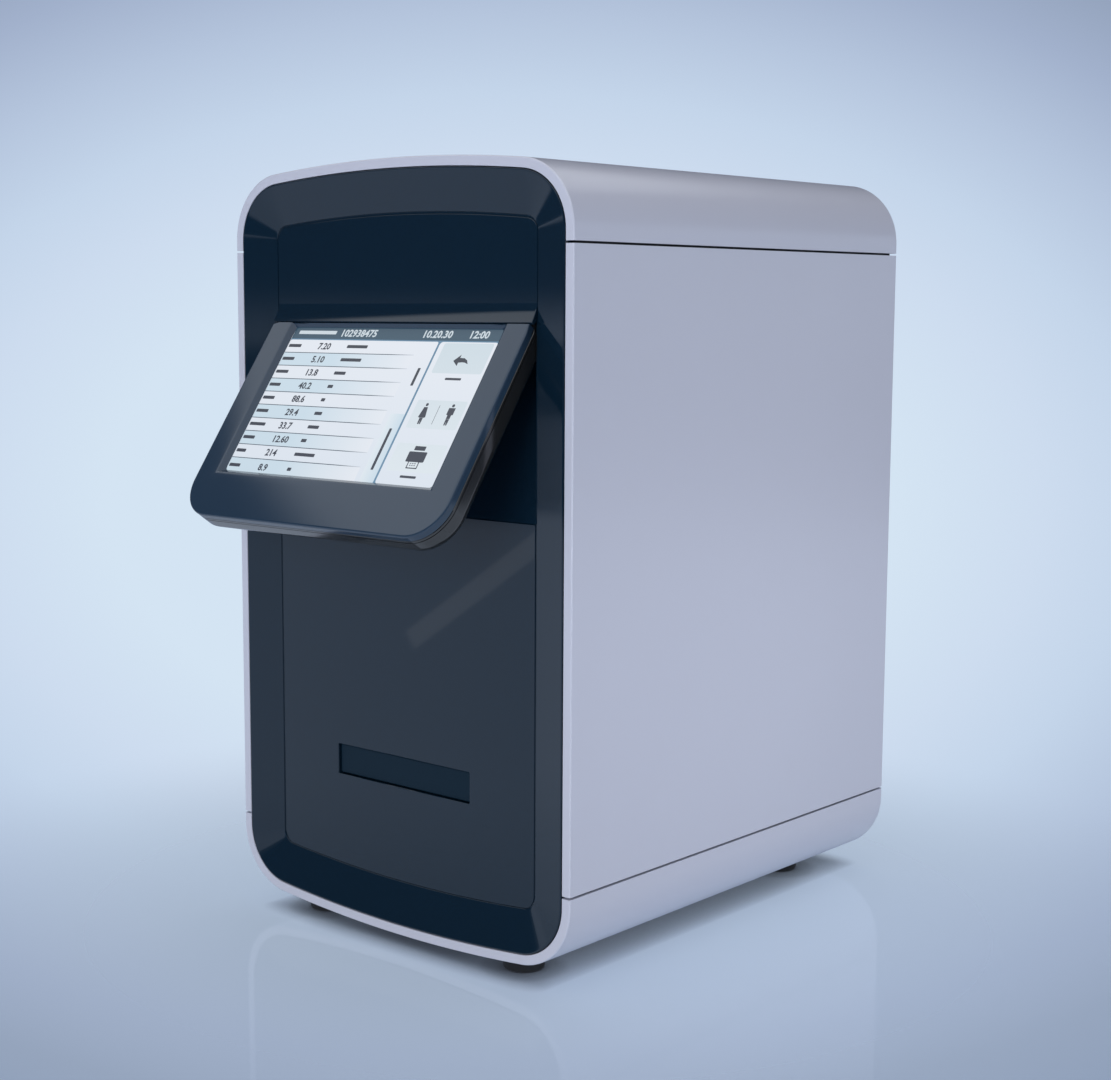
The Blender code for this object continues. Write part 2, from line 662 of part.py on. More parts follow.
def rear_bosses(chosen):
    """Blocks in front of the rear panel that reach out to the wall and take its screws."""
    blocks, bores = bmesh.new(), bmesh.new()
    rear = REAR_INNER - FIT
    half = CASE_BOSS_SIDE / 2
    for x, z in chosen:
        low, high = [x - half, z - half], [x + half, z + half]
        if abs(x) > CASE_SCREW_SPREAD:
            edge = math.copysign(INNER_WALL + CASE_WALL / 2, x)
            low[0], high[0] = min(low[0], edge), max(high[0], edge)
        elif z > CASE_MIDDLE:
            high[1] = arch_height(x) - CASE_WALL / 2
        else:
            low[1] = 2 * CASE_MIDDLE - arch_height(x) + CASE_WALL / 2
        box(blocks, (low[0], rear - CASE_BOSS_LENGTH, low[1]), (high[0], rear, high[1]))
        centre = (x, rear, z)
        start = -CASE_BOSS_LENGTH - OVERRUN
        cylinder(bores, CASE_SCREW_RADIUS + FIT, centre, "Y", start, OVERRUN, BORE_SEGMENTS)
    return blocks, bores


def arch_height(x):
    """Height of the case's top surface above the floor at a distance from the middle."""
    return CASE_TOP - ARCH_RADIUS + math.sqrt(ARCH_RADIUS**2 - x**2)


def make_cover(parent, finishes):
    """Top cover with two screw bosses at the rear."""
    bm = bmesh.new()
    swept_shell(bm, shell_profile(), cover_path, closed=False)
    cover = add("top_cover", bm, finishes["case"], parent, smooth_below=25)
    spots = [(x, z) for x, z in rear_screw_places() if z > SEAM_HIGH]
    blocks, bores = rear_bosses(spots)
    combine(cover, blocks, "UNION")
    combine(cover, bores, "DIFFERENCE")


def foot_places():
    """The centres of the four feet, seen from above."""
    return [(hand * FOOT_SPREAD, y) for y in (FOOT_FRONT, FOOT_REAR) for hand in (-1, 1)]


def floor_height(x):
    """Height of the case's underside above the floor at a distance from the middle."""
    return 2 * CASE_MIDDLE - arch_height(x)


def make_tray(parent, finishes):
    """Bottom tray with bosses for the feet, the chassis and the rear panel."""
    bm = bmesh.new()
    swept_shell(bm, shell_profile(), tray_path, closed=False)
    tray = add("bottom_tray", bm, finishes["case"], parent, smooth_below=25)
    spots = [(x, z) for x, z in rear_screw_places() if z < SEAM_LOW]
    blocks, bores = rear_bosses(spots)
    for x, y in foot_places():
        low = floor_height(x) + CASE_WALL / 2
        cylinder(blocks, BOSS_RADIUS, (x, y, low), "Z", 0, FOOT_BOSS_HEIGHT, BORE_SEGMENTS)
        cylinder(bores, BOSS_BORE, (x, y, 0), "Z", 0, low + FOOT_BOSS_HEIGHT + OVERRUN, BORE_SEGMENTS)
    for x, y in chassis_boss_places():
        low = floor_height(x) + CASE_WALL / 2
        cylinder(blocks, BOSS_RADIUS, (x, y, 0), "Z", low, CHASSIS_BASE - FIT, BORE_SEGMENTS)
        cylinder(bores, BOSS_BORE, (x, y, 0), "Z", low + CASE_WALL, CHASSIS_BASE + OVERRUN, BORE_SEGMENTS)
    combine(tray, blocks, "UNION")
    combine(tray, bores, "DIFFERENCE")


def make_side(name, path, hand, parent, finishes):
    """A side panel with a tongue behind both seams and two screw bosses at the rear."""
    bm = bmesh.new()
    swept_shell(bm, shell_profile(), path, closed=False)
    panel = add(name, bm, finishes["case"], parent)
    spots = [(x, z) for x, z in rear_screw_places() if x * hand > CASE_SCREW_SPREAD]
    blocks, bores = rear_bosses(spots)
    combine(panel, blocks, "UNION")
    tongue = bmesh.new()
    inner, outer = INNER_WALL - FIT - TONGUE_WALL, INNER_WALL - FIT
    low, high = SEAM_LOW - TONGUE_REACH, SEAM_HIGH + TONGUE_REACH
    flush = SEAM_WIDTH / 2
    outline = [
        (hand * inner, low),
        (hand * outer, low),
        (hand * outer, SEAM_LOW + flush),
        (hand * (INNER_WALL + CASE_WALL / 2), SEAM_LOW + flush + CASE_WALL),
        (hand * (INNER_WALL + CASE_WALL / 2), SEAM_HIGH - flush - CASE_WALL),
        (hand * outer, SEAM_HIGH - flush),
        (hand * outer, high),
        (hand * inner, high),
    ]
    prism(tongue, outline, "Y", TONGUE_FRONT, REAR_INNER - TONGUE_REAR)
    combine(panel, tongue, "UNION", "tongue")
    combine(panel, bores, "DIFFERENCE")


def make_feet(parent, finishes):
    """Four rubber feet whose tops follow the arched underside, each with its screw."""
    for place, (x, y) in zip(("front_left", "front_right", "rear_left", "rear_right"), foot_places()):
        bm = bmesh.new()
        top = floor_height(x) - FOOT_SEAT
        profile = [
            (FOOT_SINK_RADIUS, 0),
            (FOOT_RADIUS - FOOT_ROUND, 0),
            (FOOT_RADIUS, FOOT_ROUND),
            (FOOT_RADIUS, top),
            (FOOT_BORE, top),
            (FOOT_BORE, FOOT_SINK),
            (FOOT_SINK_RADIUS, FOOT_SINK),
        ]
        turned(bm, profile, (x, y, 0), "Z", ROUND_SEGMENTS)
        for vert in bm.verts:
            if vert.co.z > (FOOT_SINK + top) / 2:
                vert.co.z = floor_height(vert.co.x) - FOOT_SEAT
        add(f"foot_{place}", bm, finishes["rubber"], parent, smooth_below=35)
        screw = bmesh.new()
        head = FOOT_SINK - FIT
        reach = floor_height(x) + FOOT_BOSS_HEIGHT - OVERRUN
        bolt = [
            (0, head - FOOT_SCREW_HEAD_WALL),
            (FOOT_SCREW_HEAD, head - FOOT_SCREW_HEAD_WALL),
            (FOOT_SCREW_HEAD, head),
            (FOOT_SCREW_RADIUS, head),
            (FOOT_SCREW_RADIUS, reach),
            (0, reach),
        ]
        turned(screw, bolt, (x, y, 0), "Z", SCREW_SEGMENTS)
        add(f"foot_screw_{place}", screw, finishes["steel"], parent, smooth_below=35)


def make_frame(parent, finishes):
    """The dished frame: sloped bands, a skirt inside the rim and a deep return round the fascias."""
    outer, inner = RIM_WIDTH + FRAME_FIT, BAND_INSET
    slope = (DISH_DEPTH - FRAME_SETBACK) / (inner - outer)
    back = FRAME_WALL * math.hypot(1, slope)
    profile = [
        (outer, FRAME_SETBACK),
        (inner, DISH_DEPTH),
        (inner, FRAME_RETURN),
        (inner - FRAME_WALL, FRAME_RETURN),
        (inner - FRAME_WALL, DISH_DEPTH - FRAME_WALL * slope + back),
        (outer + FRAME_WALL, FRAME_SETBACK + FRAME_WALL * slope + back),
        (outer + FRAME_WALL, FRAME_SKIRT),
        (outer, FRAME_SKIRT),
    ]
    bm = bmesh.new()
    swept_shell(bm, profile, full_outline, closed=True)
    frame = add("front_frame", bm, finishes["gloss"], parent, smooth_below=25)
    holes = bmesh.new()
    for hand in (-1, 1):
        centre = (hand * FRAME_INNER, AXIS_SETBACK, AXIS_HEIGHT)
        start, end = sorted((-hand * OVERRUN, hand * (FRAME_WALL + OVERRUN)))
        cylinder(holes, PIN_RADIUS + PIN_FIT, centre, "X", start, end, BORE_SEGMENTS)
    combine(frame, holes, "DIFFERENCE")


def face_point(depth, down):
    """(y, z) of a point of the display at rest, from its depth below the face and its way down."""
    sine, cosine = math.sin(TILT_ANGLE), math.cos(TILT_ANGLE)
    return (SEAM_SETBACK + depth * cosine - down * sine, SEAM_HEIGHT - depth * sine - down * cosine)


def brow_profile(edge):
    """Side view of the upper fascia: plate, brow swept forward to its lip, and display pocket."""
    lip = face_point(0, -SEAM_HALF)
    start = lip[1] + BROW_RISE
    bend = (DISH_DEPTH - lip[0]) / BROW_RISE**2
    heights = [BROW_RISE * step / BROW_STEPS for step in range(BROW_STEPS)]
    brow = [(DISH_DEPTH - bend * height**2, start - height) for height in heights]
    radius = TONGUE_RADIUS + POCKET_CLEARANCE
    under_lip = face_point(LIP_WALL, -SEAM_HALF)
    first = math.atan2(under_lip[1] - AXIS_HEIGHT, under_lip[0] - AXIS_SETBACK)
    pocket = arc((AXIS_SETBACK, AXIS_HEIGHT), radius, first, 0, POCKET_STEPS)
    low = SPLIT_HEIGHT + SPLIT_GAP / 2
    back = AXIS_SETBACK + radius + FASCIA_WALL
    return (
        [(DISH_DEPTH, edge)]
        + brow
        + [lip, under_lip]
        + pocket[1:]
        + [
            (DISH_DEPTH, low),
            (DISH_DEPTH + FASCIA_WALL, low),
            (back, AXIS_HEIGHT),
            (back, AXIS_HEIGHT + radius + FASCIA_WALL),
            (DISH_DEPTH + FASCIA_WALL, start + FASCIA_WALL),
            (DISH_DEPTH + FASCIA_WALL, edge),
        ]
    )


def make_upper_fascia(parent, finishes):
    """Upper fascia: its side view across the dish, trimmed to the arched outline."""
    inset = BAND_INSET + UPPER_GROOVE
    half = CASE_HALF - inset
    bm = bmesh.new()
    prism(bm, brow_profile(CASE_TOP), "X", -half, half)
    fascia = add("upper_fascia", bm, finishes["gloss"], parent, smooth_below=25)
    top = bmesh.new()
    low = SPLIT_HEIGHT - OVERRUN
    wide = half + OVERRUN
    trim = [(wide, low), (wide, SEAM_HIGH - CORNER_RADIUS)]
    trim += arched_top(inset)
    trim += [(-wide, SEAM_HIGH - CORNER_RADIUS), (-wide, low)]
    prism(top, trim, "Y", -DISPLAY_REACH, CASE_DEPTH)
    combine(fascia, top, "INTERSECT")


def make_lower_fascia(parent, finishes):
    """Lower fascia: a plate with the arched bottom of the outline and the cartridge slot."""
    inset = BAND_INSET + LOWER_GROOVE
    half = CASE_HALF - inset
    top = SPLIT_HEIGHT - SPLIT_GAP / 2
    bm = bmesh.new()
    bottom = mirrored(arched_top(inset))
    prism(bm, [(half, top)] + bottom + [(-half, top)], "Y", DISH_DEPTH, DISH_DEPTH + FASCIA_WALL)
    fascia = add("lower_fascia", bm, finishes["gloss"], parent, smooth_below=25)
    slot = bmesh.new()
    low = (-SLOT_WIDTH / 2, DISH_DEPTH - OVERRUN, SLOT_LOW)
    high = (SLOT_WIDTH / 2, DISH_DEPTH + FASCIA_WALL + OVERRUN, SLOT_HIGH)
    box(slot, low, high)
    combine(fascia, slot, "DIFFERENCE")


def display_outline(inset):
    """(x, z) outline of the display in its own frame, square at the top and rounded below."""
    half = DISPLAY_HALF - inset
    radius = DISPLAY_CORNER - inset
    centre_x = DISPLAY_HALF - DISPLAY_CORNER
    centre_z = -(DISPLAY_LENGTH - DISPLAY_CORNER)
    right = arc((centre_x, centre_z), radius, 0, -math.pi / 2, DISPLAY_CORNER_STEPS)
    left = [(-x, z) for x, z in reversed(right)]
    top = -SEAM_HALF - inset
    return [(half, top)] + right + left + [(-half, top)]


def display_section(inset, depth):
    """The outline at a depth below the face, in the frame of the tilt axis."""
    return [(x, depth - AXIS_DEPTH, z) for x, z in display_outline(inset)]


def display_box(bm, half, top, bottom, near, far):
    """Adds a box given by its half width, its way down the face and its depths."""
    box(bm, (-half, near - AXIS_DEPTH, -bottom), (half, far - AXIS_DEPTH, -top))


def make_bezel(tilt, finishes):
    """Front ring of the display, with the sloped window and a seat for the glass behind."""
    bm = bmesh.new()
    stations = [(BEZEL_CHAMFER, 0), (0, BEZEL_CHAMFER), (0, BEZEL_DEPTH)]
    skin(bm, [display_section(inset, depth) for inset, depth in stations], closed=False)
    bezel = add("display_bezel", bm, finishes["gloss"], tilt, smooth_below=25)
    window = bmesh.new()
    steepness = WINDOW_SLOPE / WINDOW_LEDGE
    sections = []
    for depth in (-OVERRUN, WINDOW_LEDGE + SLIGHT_OVERRUN):
        shrink = depth * steepness
        half = WINDOW_HALF - shrink
        low, high = -(WINDOW_BOTTOM - shrink), -(WINDOW_TOP + shrink)
        y = depth - AXIS_DEPTH
        sections.append([(half, y, high), (half, y, low), (-half, y, low), (-half, y, high)])
    skin(window, sections, closed=False)
    combine(bezel, window, "DIFFERENCE")
    seat = bmesh.new()
    half = WINDOW_HALF + GLASS_LAP + FIT
    bottom = WINDOW_BOTTOM + GLASS_LAP + FIT
    display_box(seat, half, GLASS_TOP - FIT, bottom, WINDOW_LEDGE, BEZEL_DEPTH + OVERRUN)
    combine(bezel, seat, "DIFFERENCE", "seat")


def make_touch_glass(tilt, finishes):
    """Touch glass behind the window's ledge."""
    bm = bmesh.new()
    half = WINDOW_HALF + GLASS_LAP
    near = WINDOW_LEDGE + FIT
    display_box(bm, half, GLASS_TOP, WINDOW_BOTTOM + GLASS_LAP, near, near + GLASS_WALL)
    add("touch_glass", bm, finishes["glass"], tilt)


def make_housing(tilt, finishes):
    """Rear shell of the display: rounded back, hollow front, tongue with bores for the pins."""
    bm = bmesh.new()
    near = BEZEL_DEPTH + FIT
    curve = DISPLAY_DEPTH - HOUSING_ROUND
    stations = [(0, near)]
    stations += arc((HOUSING_ROUND, curve), HOUSING_ROUND, math.pi, math.pi / 2, HOUSING_ROUND_STEPS)
    skin(bm, [display_section(inset, depth) for inset, depth in stations], closed=False)
    housing = add("display_housing", bm, finishes["satin"], tilt, smooth_below=30)
    tongue = bmesh.new()
    half = DISPLAY_HALF - PIVOT_TONGUE_GAP
    root = -SEAM_HALF - HOUSING_WALL
    front_root = near - AXIS_DEPTH + HOUSING_WALL
    outline = arc((0, 0), TONGUE_RADIUS, math.pi, math.pi / 2, TONGUE_STEPS)
    centre = (curve - AXIS_DEPTH - HOUSING_WALL, TONGUE_RADIUS - HOUSING_ROUND)
    outline += arc(centre, HOUSING_ROUND, math.pi / 2, 0, HOUSING_ROUND_STEPS)[1:]
    outline += [(centre[0] + HOUSING_ROUND, root), (front_root, root), (front_root, 0)]
    prism(tongue, outline, "X", -half, half)
    combine(housing, tongue, "UNION")
    hollow = bmesh.new()
    inner = DISPLAY_HALF - HOUSING_WALL
    top = SEAM_HALF + HOUSING_WALL + HOUSING_WALL
    bottom = DISPLAY_LENGTH - HOUSING_WALL
    far = DISPLAY_DEPTH - HOUSING_WALL
    skin(hollow, hollow_sections(inner, top, bottom, near - OVERRUN, far), closed=False)
    combine(housing, hollow, "DIFFERENCE")
    bores = bmesh.new()
    for hand in (-1, 1):
        start, end = sorted((hand * (half - PIN_DEPTH), hand * (half + OVERRUN)))
        cylinder(bores, PIN_RADIUS + PIN_FIT, (0, 0, 0), "X", start, end, BORE_SEGMENTS)
    for x, down in display_screw_places():
        centre = (x, DISPLAY_DEPTH - AXIS_DEPTH, -down)
        profile = [
            (0, -DISPLAY_DEPTH / 2),
            (DISPLAY_SCREW_RADIUS + FIT, -DISPLAY_DEPTH / 2),
            (DISPLAY_SCREW_RADIUS + FIT, -DISPLAY_SCREW_SINK),
            (DISPLAY_SCREW_HEAD + FIT, -DISPLAY_SCREW_SINK),
            (DISPLAY_SCREW_HEAD + FIT, OVERRUN),
            (0, OVERRUN),
        ]
        turned(bores, profile, centre, "Y", SCREW_SEGMENTS)
    combine(housing, bores, "DIFFERENCE", "bores")


def hollow_sections(half, top, bottom, near, far):
    """Sections of the display's cavity, narrower behind, where the back is rounded."""
    radius = DISPLAY_CORNER - HOUSING_WALL
    middle = DISPLAY_DEPTH - HOUSING_ROUND
    centre = (half - radius, -(bottom - radius))
    sections = []
    for depth, inset in ((near, 0), (middle, 0), (far, HOUSING_ROUND)):
        corner = arc(centre, radius - inset, 0, -math.pi / 2, DISPLAY_CORNER_STEPS)
        side = half - inset
        points = [(side, -top)] + corner + [(-x, z) for x, z in reversed(corner)] + [(-side, -top)]
        sections.append([(x, depth - AXIS_DEPTH, z) for x, z in points])
    return sections


def display_screw_places():
    """(x, way down) of the four screws at the display's back."""
    side = DISPLAY_HALF - HOUSING_WALL - DISPLAY_SCREW_INSET
    heights = (DISPLAY_SCREW_TOP, DISPLAY_SCREW_BOTTOM)
    return [(hand * side, down) for down in heights for hand in (-1, 1)]


def make_display_inside(tilt, finishes):
    """Panel and driver board inside the display."""
    panel = bmesh.new()
    near = BEZEL_DEPTH + 2 * FIT
    half = DISPLAY_HALF - LCD_MARGIN - HOUSING_WALL
    display_box(panel, half, LCD_TOP, WINDOW_BOTTOM, near, near + LCD_WALL)
    add("lcd_panel", panel, finishes["steel"], tilt)
    board = bmesh.new()
    start = near + LCD_WALL + FIT
    rear = start + DISPLAY_BOARD_WALL
    wide = DISPLAY_HALF - DISPLAY_BOARD_INSET
    display_box(board, wide, DISPLAY_BOARD_TOP, DISPLAY_BOARD_BOTTOM, start, rear)
    circuit = add("display_board", board, finishes["board"], tilt)
    chips = bmesh.new()
    middle = (DISPLAY_BOARD_TOP + DISPLAY_BOARD_BOTTOM) / 2
    side = DISPLAY_CHIP_SIZE / 2
    seat, top = rear - DISPLAY_BOARD_WALL / 2 - AXIS_DEPTH, rear + DISPLAY_CHIP_WALL - AXIS_DEPTH
    for place in (-1, 0, 1):
        x = place * DISPLAY_CHIP_PITCH
        box(chips, (x - side, seat, -middle - side), (x + side, top, -middle + side))
    combine(circuit, chips, "UNION")


def make_hinges(tilt, parent, finishes):
    """Two pivot pins in the tongue, and the friction hinges behind the frame that hold them."""
    inner = DISPLAY_HALF - PIVOT_TONGUE_GAP - PIN_DEPTH + FIT
    outer = FRAME_INNER + FRAME_WALL + FIT + HINGE_WIDTH - OVERRUN
    for side, hand in (("left", -1), ("right", 1)):
        pin = bmesh.new()
        start, end = sorted((hand * inner, hand * outer))
        cylinder(pin, PIN_RADIUS, (0, 0, 0), "X", start, end, BORE_SEGMENTS)
        add(f"tilt_pin_{side}", pin, finishes["steel"], tilt, smooth_below=35)
        wall = hand * (FRAME_INNER + FRAME_WALL + FIT)
        centre = (wall, AXIS_SETBACK, AXIS_HEIGHT)
        bm = bmesh.new()
        leaf = sorted((wall, wall + hand * HINGE_LEAF_WALL))
        front = AXIS_SETBACK - HINGE_RADIUS / 2
        low = (leaf[0], front, AXIS_HEIGHT - HINGE_LEAF_HEIGHT / 2)
        high = (leaf[1], front + HINGE_LEAF_DEPTH, AXIS_HEIGHT + HINGE_LEAF_HEIGHT / 2)
        box(bm, low, high)
        hinge = add(f"tilt_hinge_{side}", bm, finishes["steel"], parent, smooth_below=35)
        barrel, bore = bmesh.new(), bmesh.new()
        ends = sorted((0, hand * HINGE_WIDTH))
        cylinder(barrel, HINGE_RADIUS, centre, "X", *ends, BORE_SEGMENTS)
        combine(hinge, barrel, "UNION")
        start, end = ends[0] - OVERRUN, ends[1] + OVERRUN
        cylinder(bore, PIN_RADIUS + PIN_FIT, centre, "X", start, end, BORE_SEGMENTS)
        combine(hinge, bore, "DIFFERENCE")


def rack_outline():
    """(y, z) outline of the rack under the tray: a bar whose lower edge is a row of teeth."""
    pitch = math.pi * GEAR_MODULE
    top = TRAY_LOW + RACK_BASE / 2
    root = RACK_PITCH_HEIGHT + ADDENDUM_SHARE * GEAR_MODULE
    tip = RACK_PITCH_HEIGHT - ADDENDUM_SHARE * GEAR_MODULE
    flank = ADDENDUM_SHARE * GEAR_MODULE * math.tan(PRESSURE_ANGLE)
    thick = pitch / 4 - GEAR_BACKLASH / 2
    phase = PINION_FRONT + pitch / 2
    first = phase - pitch * math.floor((phase - TRAY_FRONT - RACK_FRONT) / pitch)
    start = first - pitch / 2
    points = [(start + RACK_TEETH * pitch, top), (start, top), (start, root)]
    for tooth in range(RACK_TEETH):
        middle = first + tooth * pitch
        points += [
            (middle - thick - flank, root),
            (middle - thick + flank, tip),
            (middle + thick - flank, tip),
            (middle + thick + flank, root),
        ]
    return points + [(start + RACK_TEETH * pitch, root)]


def pinion_outline():
    """(y, z) outline of the pinion with a tooth pointing up at the rack's gap."""
    points = []
    step = math.tau / PINION_TEETH
    root = PINION_RADIUS - ADDENDUM_SHARE * GEAR_MODULE * DEDENDUM_SHARE
    tip = PINION_RADIUS + ADDENDUM_SHARE * GEAR_MODULE
    wide = step / 4 - GEAR_BACKLASH / 2 / PINION_RADIUS
    flank = ADDENDUM_SHARE * GEAR_MODULE * math.tan(PRESSURE_ANGLE) / PINION_RADIUS
    for tooth in range(PINION_TEETH):
        middle = math.pi / 2 + tooth * step
        for radius, turn in (
            (root, -wide - flank),
            (tip, -wide + flank),
            (tip, wide - flank),
            (root, wide + flank),
        ):
            angle = middle + turn
            points.append((radius * math.cos(angle), radius * math.sin(angle)))
    return points


def make_drawer(parent, finishes):
    """Drawer front, tray with its cartridge pocket and rack, and the two rails."""
    face = bmesh.new()
    half = SLOT_WIDTH / 2 - DRAWER_FIT
    low, high = SLOT_LOW + DRAWER_FIT, SLOT_HIGH - DRAWER_FIT
    box(face, (-half, FACE_FRONT, low), (half, TRAY_FRONT - FIT, high))
    add("drawer_front", face, finishes["satin"], parent)
    bm = bmesh.new()
    side = TRAY_WIDTH / 2
    flange = TRAY_FLANGE_WALL / 2
    outline = [
        (-side, TRAY_LOW),
        (side, TRAY_LOW),
        (side, SLOT_MIDDLE - flange),
        (side + TRAY_FLANGE, SLOT_MIDDLE - flange),
        (side + TRAY_FLANGE, SLOT_MIDDLE + flange),
        (side, SLOT_MIDDLE + flange),
        (side, TRAY_HIGH),
        (-side, TRAY_HIGH),
        (-side, SLOT_MIDDLE + flange),
        (-side - TRAY_FLANGE, SLOT_MIDDLE + flange),
        (-side - TRAY_FLANGE, SLOT_MIDDLE - flange),
        (-side, SLOT_MIDDLE - flange),
    ]
    prism(bm, outline, "Y", TRAY_FRONT, TRAY_FRONT + TRAY_LENGTH)
    tray = add("drawer_tray", bm, finishes["acetal"], parent)
    rack = bmesh.new()
    prism(rack, rack_outline(), "X", -RACK_OFFSET - RACK_WIDTH / 2, -RACK_OFFSET + RACK_WIDTH / 2)
    combine(tray, rack, "UNION")
    pocket = bmesh.new()
    front = TRAY_FRONT + POCKET_FRONT
    half = POCKET_WIDTH / 2
    low, high = TRAY_HIGH - POCKET_DEPTH, TRAY_HIGH + OVERRUN
    box(pocket, (-half, front, low), (half, front + POCKET_LENGTH, high))
    combine(tray, pocket, "DIFFERENCE")
    light = bmesh.new()
    half, low = TRAY_WINDOW / 2, TRAY_LOW - OVERRUN
    box(light, (-half, OPTIC_FRONT - half, low), (half, OPTIC_FRONT + half, SLOT_MIDDLE))
    combine(tray, light, "DIFFERENCE", "window")


def make_rails(parent, finishes):
    """Two channels that hold the tray's flanges."""
    side = TRAY_WIDTH / 2
    for name, hand in (("drawer_rail_left", -1), ("drawer_rail_right", 1)):
        inner = side + FIT
        outer = side + TRAY_FLANGE + FIT
        flange = TRAY_FLANGE_WALL / 2 + FIT
        outline = [
            (hand * inner, RAIL_LOW),
            (hand * (outer + RAIL_WALL), RAIL_LOW),
            (hand * (outer + RAIL_WALL), TRAY_HIGH),
            (hand * inner, TRAY_HIGH),
            (hand * inner, SLOT_MIDDLE + flange),
            (hand * outer, SLOT_MIDDLE + flange),
            (hand * outer, SLOT_MIDDLE - flange),
            (hand * inner, SLOT_MIDDLE - flange),
        ]
        bm = bmesh.new()
        prism(bm, outline, "Y", RAIL_FRONT, RAIL_FRONT + RAIL_LENGTH)
        add(name, bm, finishes["aluminium"], parent)


def pan_screw(bm, seat, axis, wall):
    """Adds a screw that points down the axis through a wall, its domed head above the seat."""
    head = CASE_SCREW_HEAD
    bolt = [
        (0, -wall - CASE_SCREW_LENGTH),
        (CASE_SCREW_RADIUS, -wall - CASE_SCREW_LENGTH),
        (CASE_SCREW_RADIUS, -wall / 2),
        (head, -wall / 2),
        (head, CASE_SCREW_HEAD_EDGE),
        (0, CASE_SCREW_HEAD_CROWN),
    ]
    turned(bm, bolt, seat, axis, SCREW_SEGMENTS)


def chassis_boss_places():
    """Where the chassis is screwed to the bottom tray."""
    return [(hand * BOSS_SPREAD, y) for y in (BOSS_FRONT, BOSS_REAR) for hand in (-1, 1)]


def make_chassis(parent, finishes):
    """Chassis plate on the tray's bosses, with its four screws."""
    bm = bmesh.new()
    half = CHASSIS_HALF
    box(bm, (-half, CHASSIS_FRONT, CHASSIS_BASE), (half, CHASSIS_REAR, CHASSIS_TOP))
    plate = add("chassis_plate", bm, finishes["aluminium"], parent)
    screws = bmesh.new()
    for x, y in chassis_boss_places():
        pan_screw(screws, (x, y, CHASSIS_TOP), "Z", CHASSIS_WALL)
    combine(plate, screws, "UNION", "screws")


def motor_face():
    """Distance from the middle of the face that carries the drawer motor."""
    return -RACK_OFFSET + RACK_WIDTH / 2 + OVERRUN


def make_bed(parent, finishes):
    """Bed under the rails: a folded sheet with a light window, a pinion slot and a motor tab."""
    half, wall = BED_WIDTH / 2, BED_WALL
    low, under = CHASSIS_TOP + FIT, BED_TOP - wall
    outline = [
        (-half - BED_FOOT, low),
        (-half, low),
        (-half, under),
        (half, under),
        (half, low),
        (half + BED_FOOT, low),
        (half + BED_FOOT, low + wall),
        (half + wall, low + wall),
        (half + wall, BED_TOP),
        (-half - wall, BED_TOP),
        (-half - wall, low + wall),
        (-half - BED_FOOT, low + wall),
    ]
    bm = bmesh.new()
    prism(bm, outline, "Y", CHASSIS_FRONT, BED_REAR)
    bed = add("drawer_bed", bm, finishes["aluminium"], parent)
    tab = bmesh.new()
    face = motor_face()
    reach = MOTOR_FLANGE_SPAN / 2
    box(
        tab,
        (face, CHASSIS_FRONT, PINION_HEIGHT - reach),
        (face + wall, PINION_FRONT + reach, BED_TOP - wall / 2),
    )
    combine(bed, tab, "UNION")
    holes = bmesh.new()
    light = BED_WINDOW / 2
    start, end = under - OVERRUN, BED_TOP + OVERRUN
    box(holes, (-light, OPTIC_FRONT - light, start), (light, OPTIC_FRONT + light, end))
    slot = (PINION_RADIUS + GEAR_MODULE + OVERRUN, RACK_WIDTH / 2 + FIT)
    box(
        holes,
        (-RACK_OFFSET - slot[1], PINION_FRONT - slot[0], start),
        (-RACK_OFFSET + slot[1], PINION_FRONT + slot[0], end),
    )
    centre = (face, PINION_FRONT, PINION_HEIGHT)
    start, end = -SLIGHT_OVERRUN, wall + SLIGHT_OVERRUN
    cylinder(holes, SHAFT_RADIUS + OVERRUN, centre, "X", start, end, BORE_SEGMENTS)
    combine(bed, holes, "DIFFERENCE")


def make_drawer_drive(parent, finishes):
    """Pinion with the motor's shaft, turning on an axis across the drawer, and the motor."""
    axle = bpy.data.objects.new("pinion_axis", None)
    bpy.context.scene.collection.objects.link(axle)
    axle.parent = parent
    axle.location = (0, PINION_FRONT, PINION_HEIGHT)
    left = -RACK_OFFSET - RACK_WIDTH / 2
    bm = bmesh.new()
    prism(bm, pinion_outline(), "X", left, left + RACK_WIDTH)
    pinion = add("drawer_pinion", bm, finishes["brass"], axle)
    start = motor_face() + BED_WALL + FIT
    shaft = bmesh.new()
    cylinder(shaft, SHAFT_RADIUS, (0, 0, 0), "X", left - OVERRUN, start + FIT, BORE_SEGMENTS)
    combine(pinion, shaft, "UNION")
    centre = (start, PINION_FRONT, PINION_HEIGHT)
    flange = bmesh.new()
    half = MOTOR_RADIUS
    box(
        flange,
        (start, PINION_FRONT - half, PINION_HEIGHT - half),
        (start + MOTOR_FLANGE_WALL, PINION_FRONT + half, PINION_HEIGHT + half),
    )
    motor = add("drawer_motor", flange, finishes["steel"], parent, smooth_below=35)
    can, bore = bmesh.new(), bmesh.new()
    seat = MOTOR_FLANGE_WALL / 2
    cylinder(can, MOTOR_RADIUS - FIT, centre, "X", seat, MOTOR_LENGTH, ROUND_SEGMENTS)
    combine(motor, can, "UNION")
    cylinder(bore, SHAFT_RADIUS + FIT, centre, "X", -OVERRUN, 2 * FIT, BORE_SEGMENTS)
    combine(motor, bore, "DIFFERENCE")


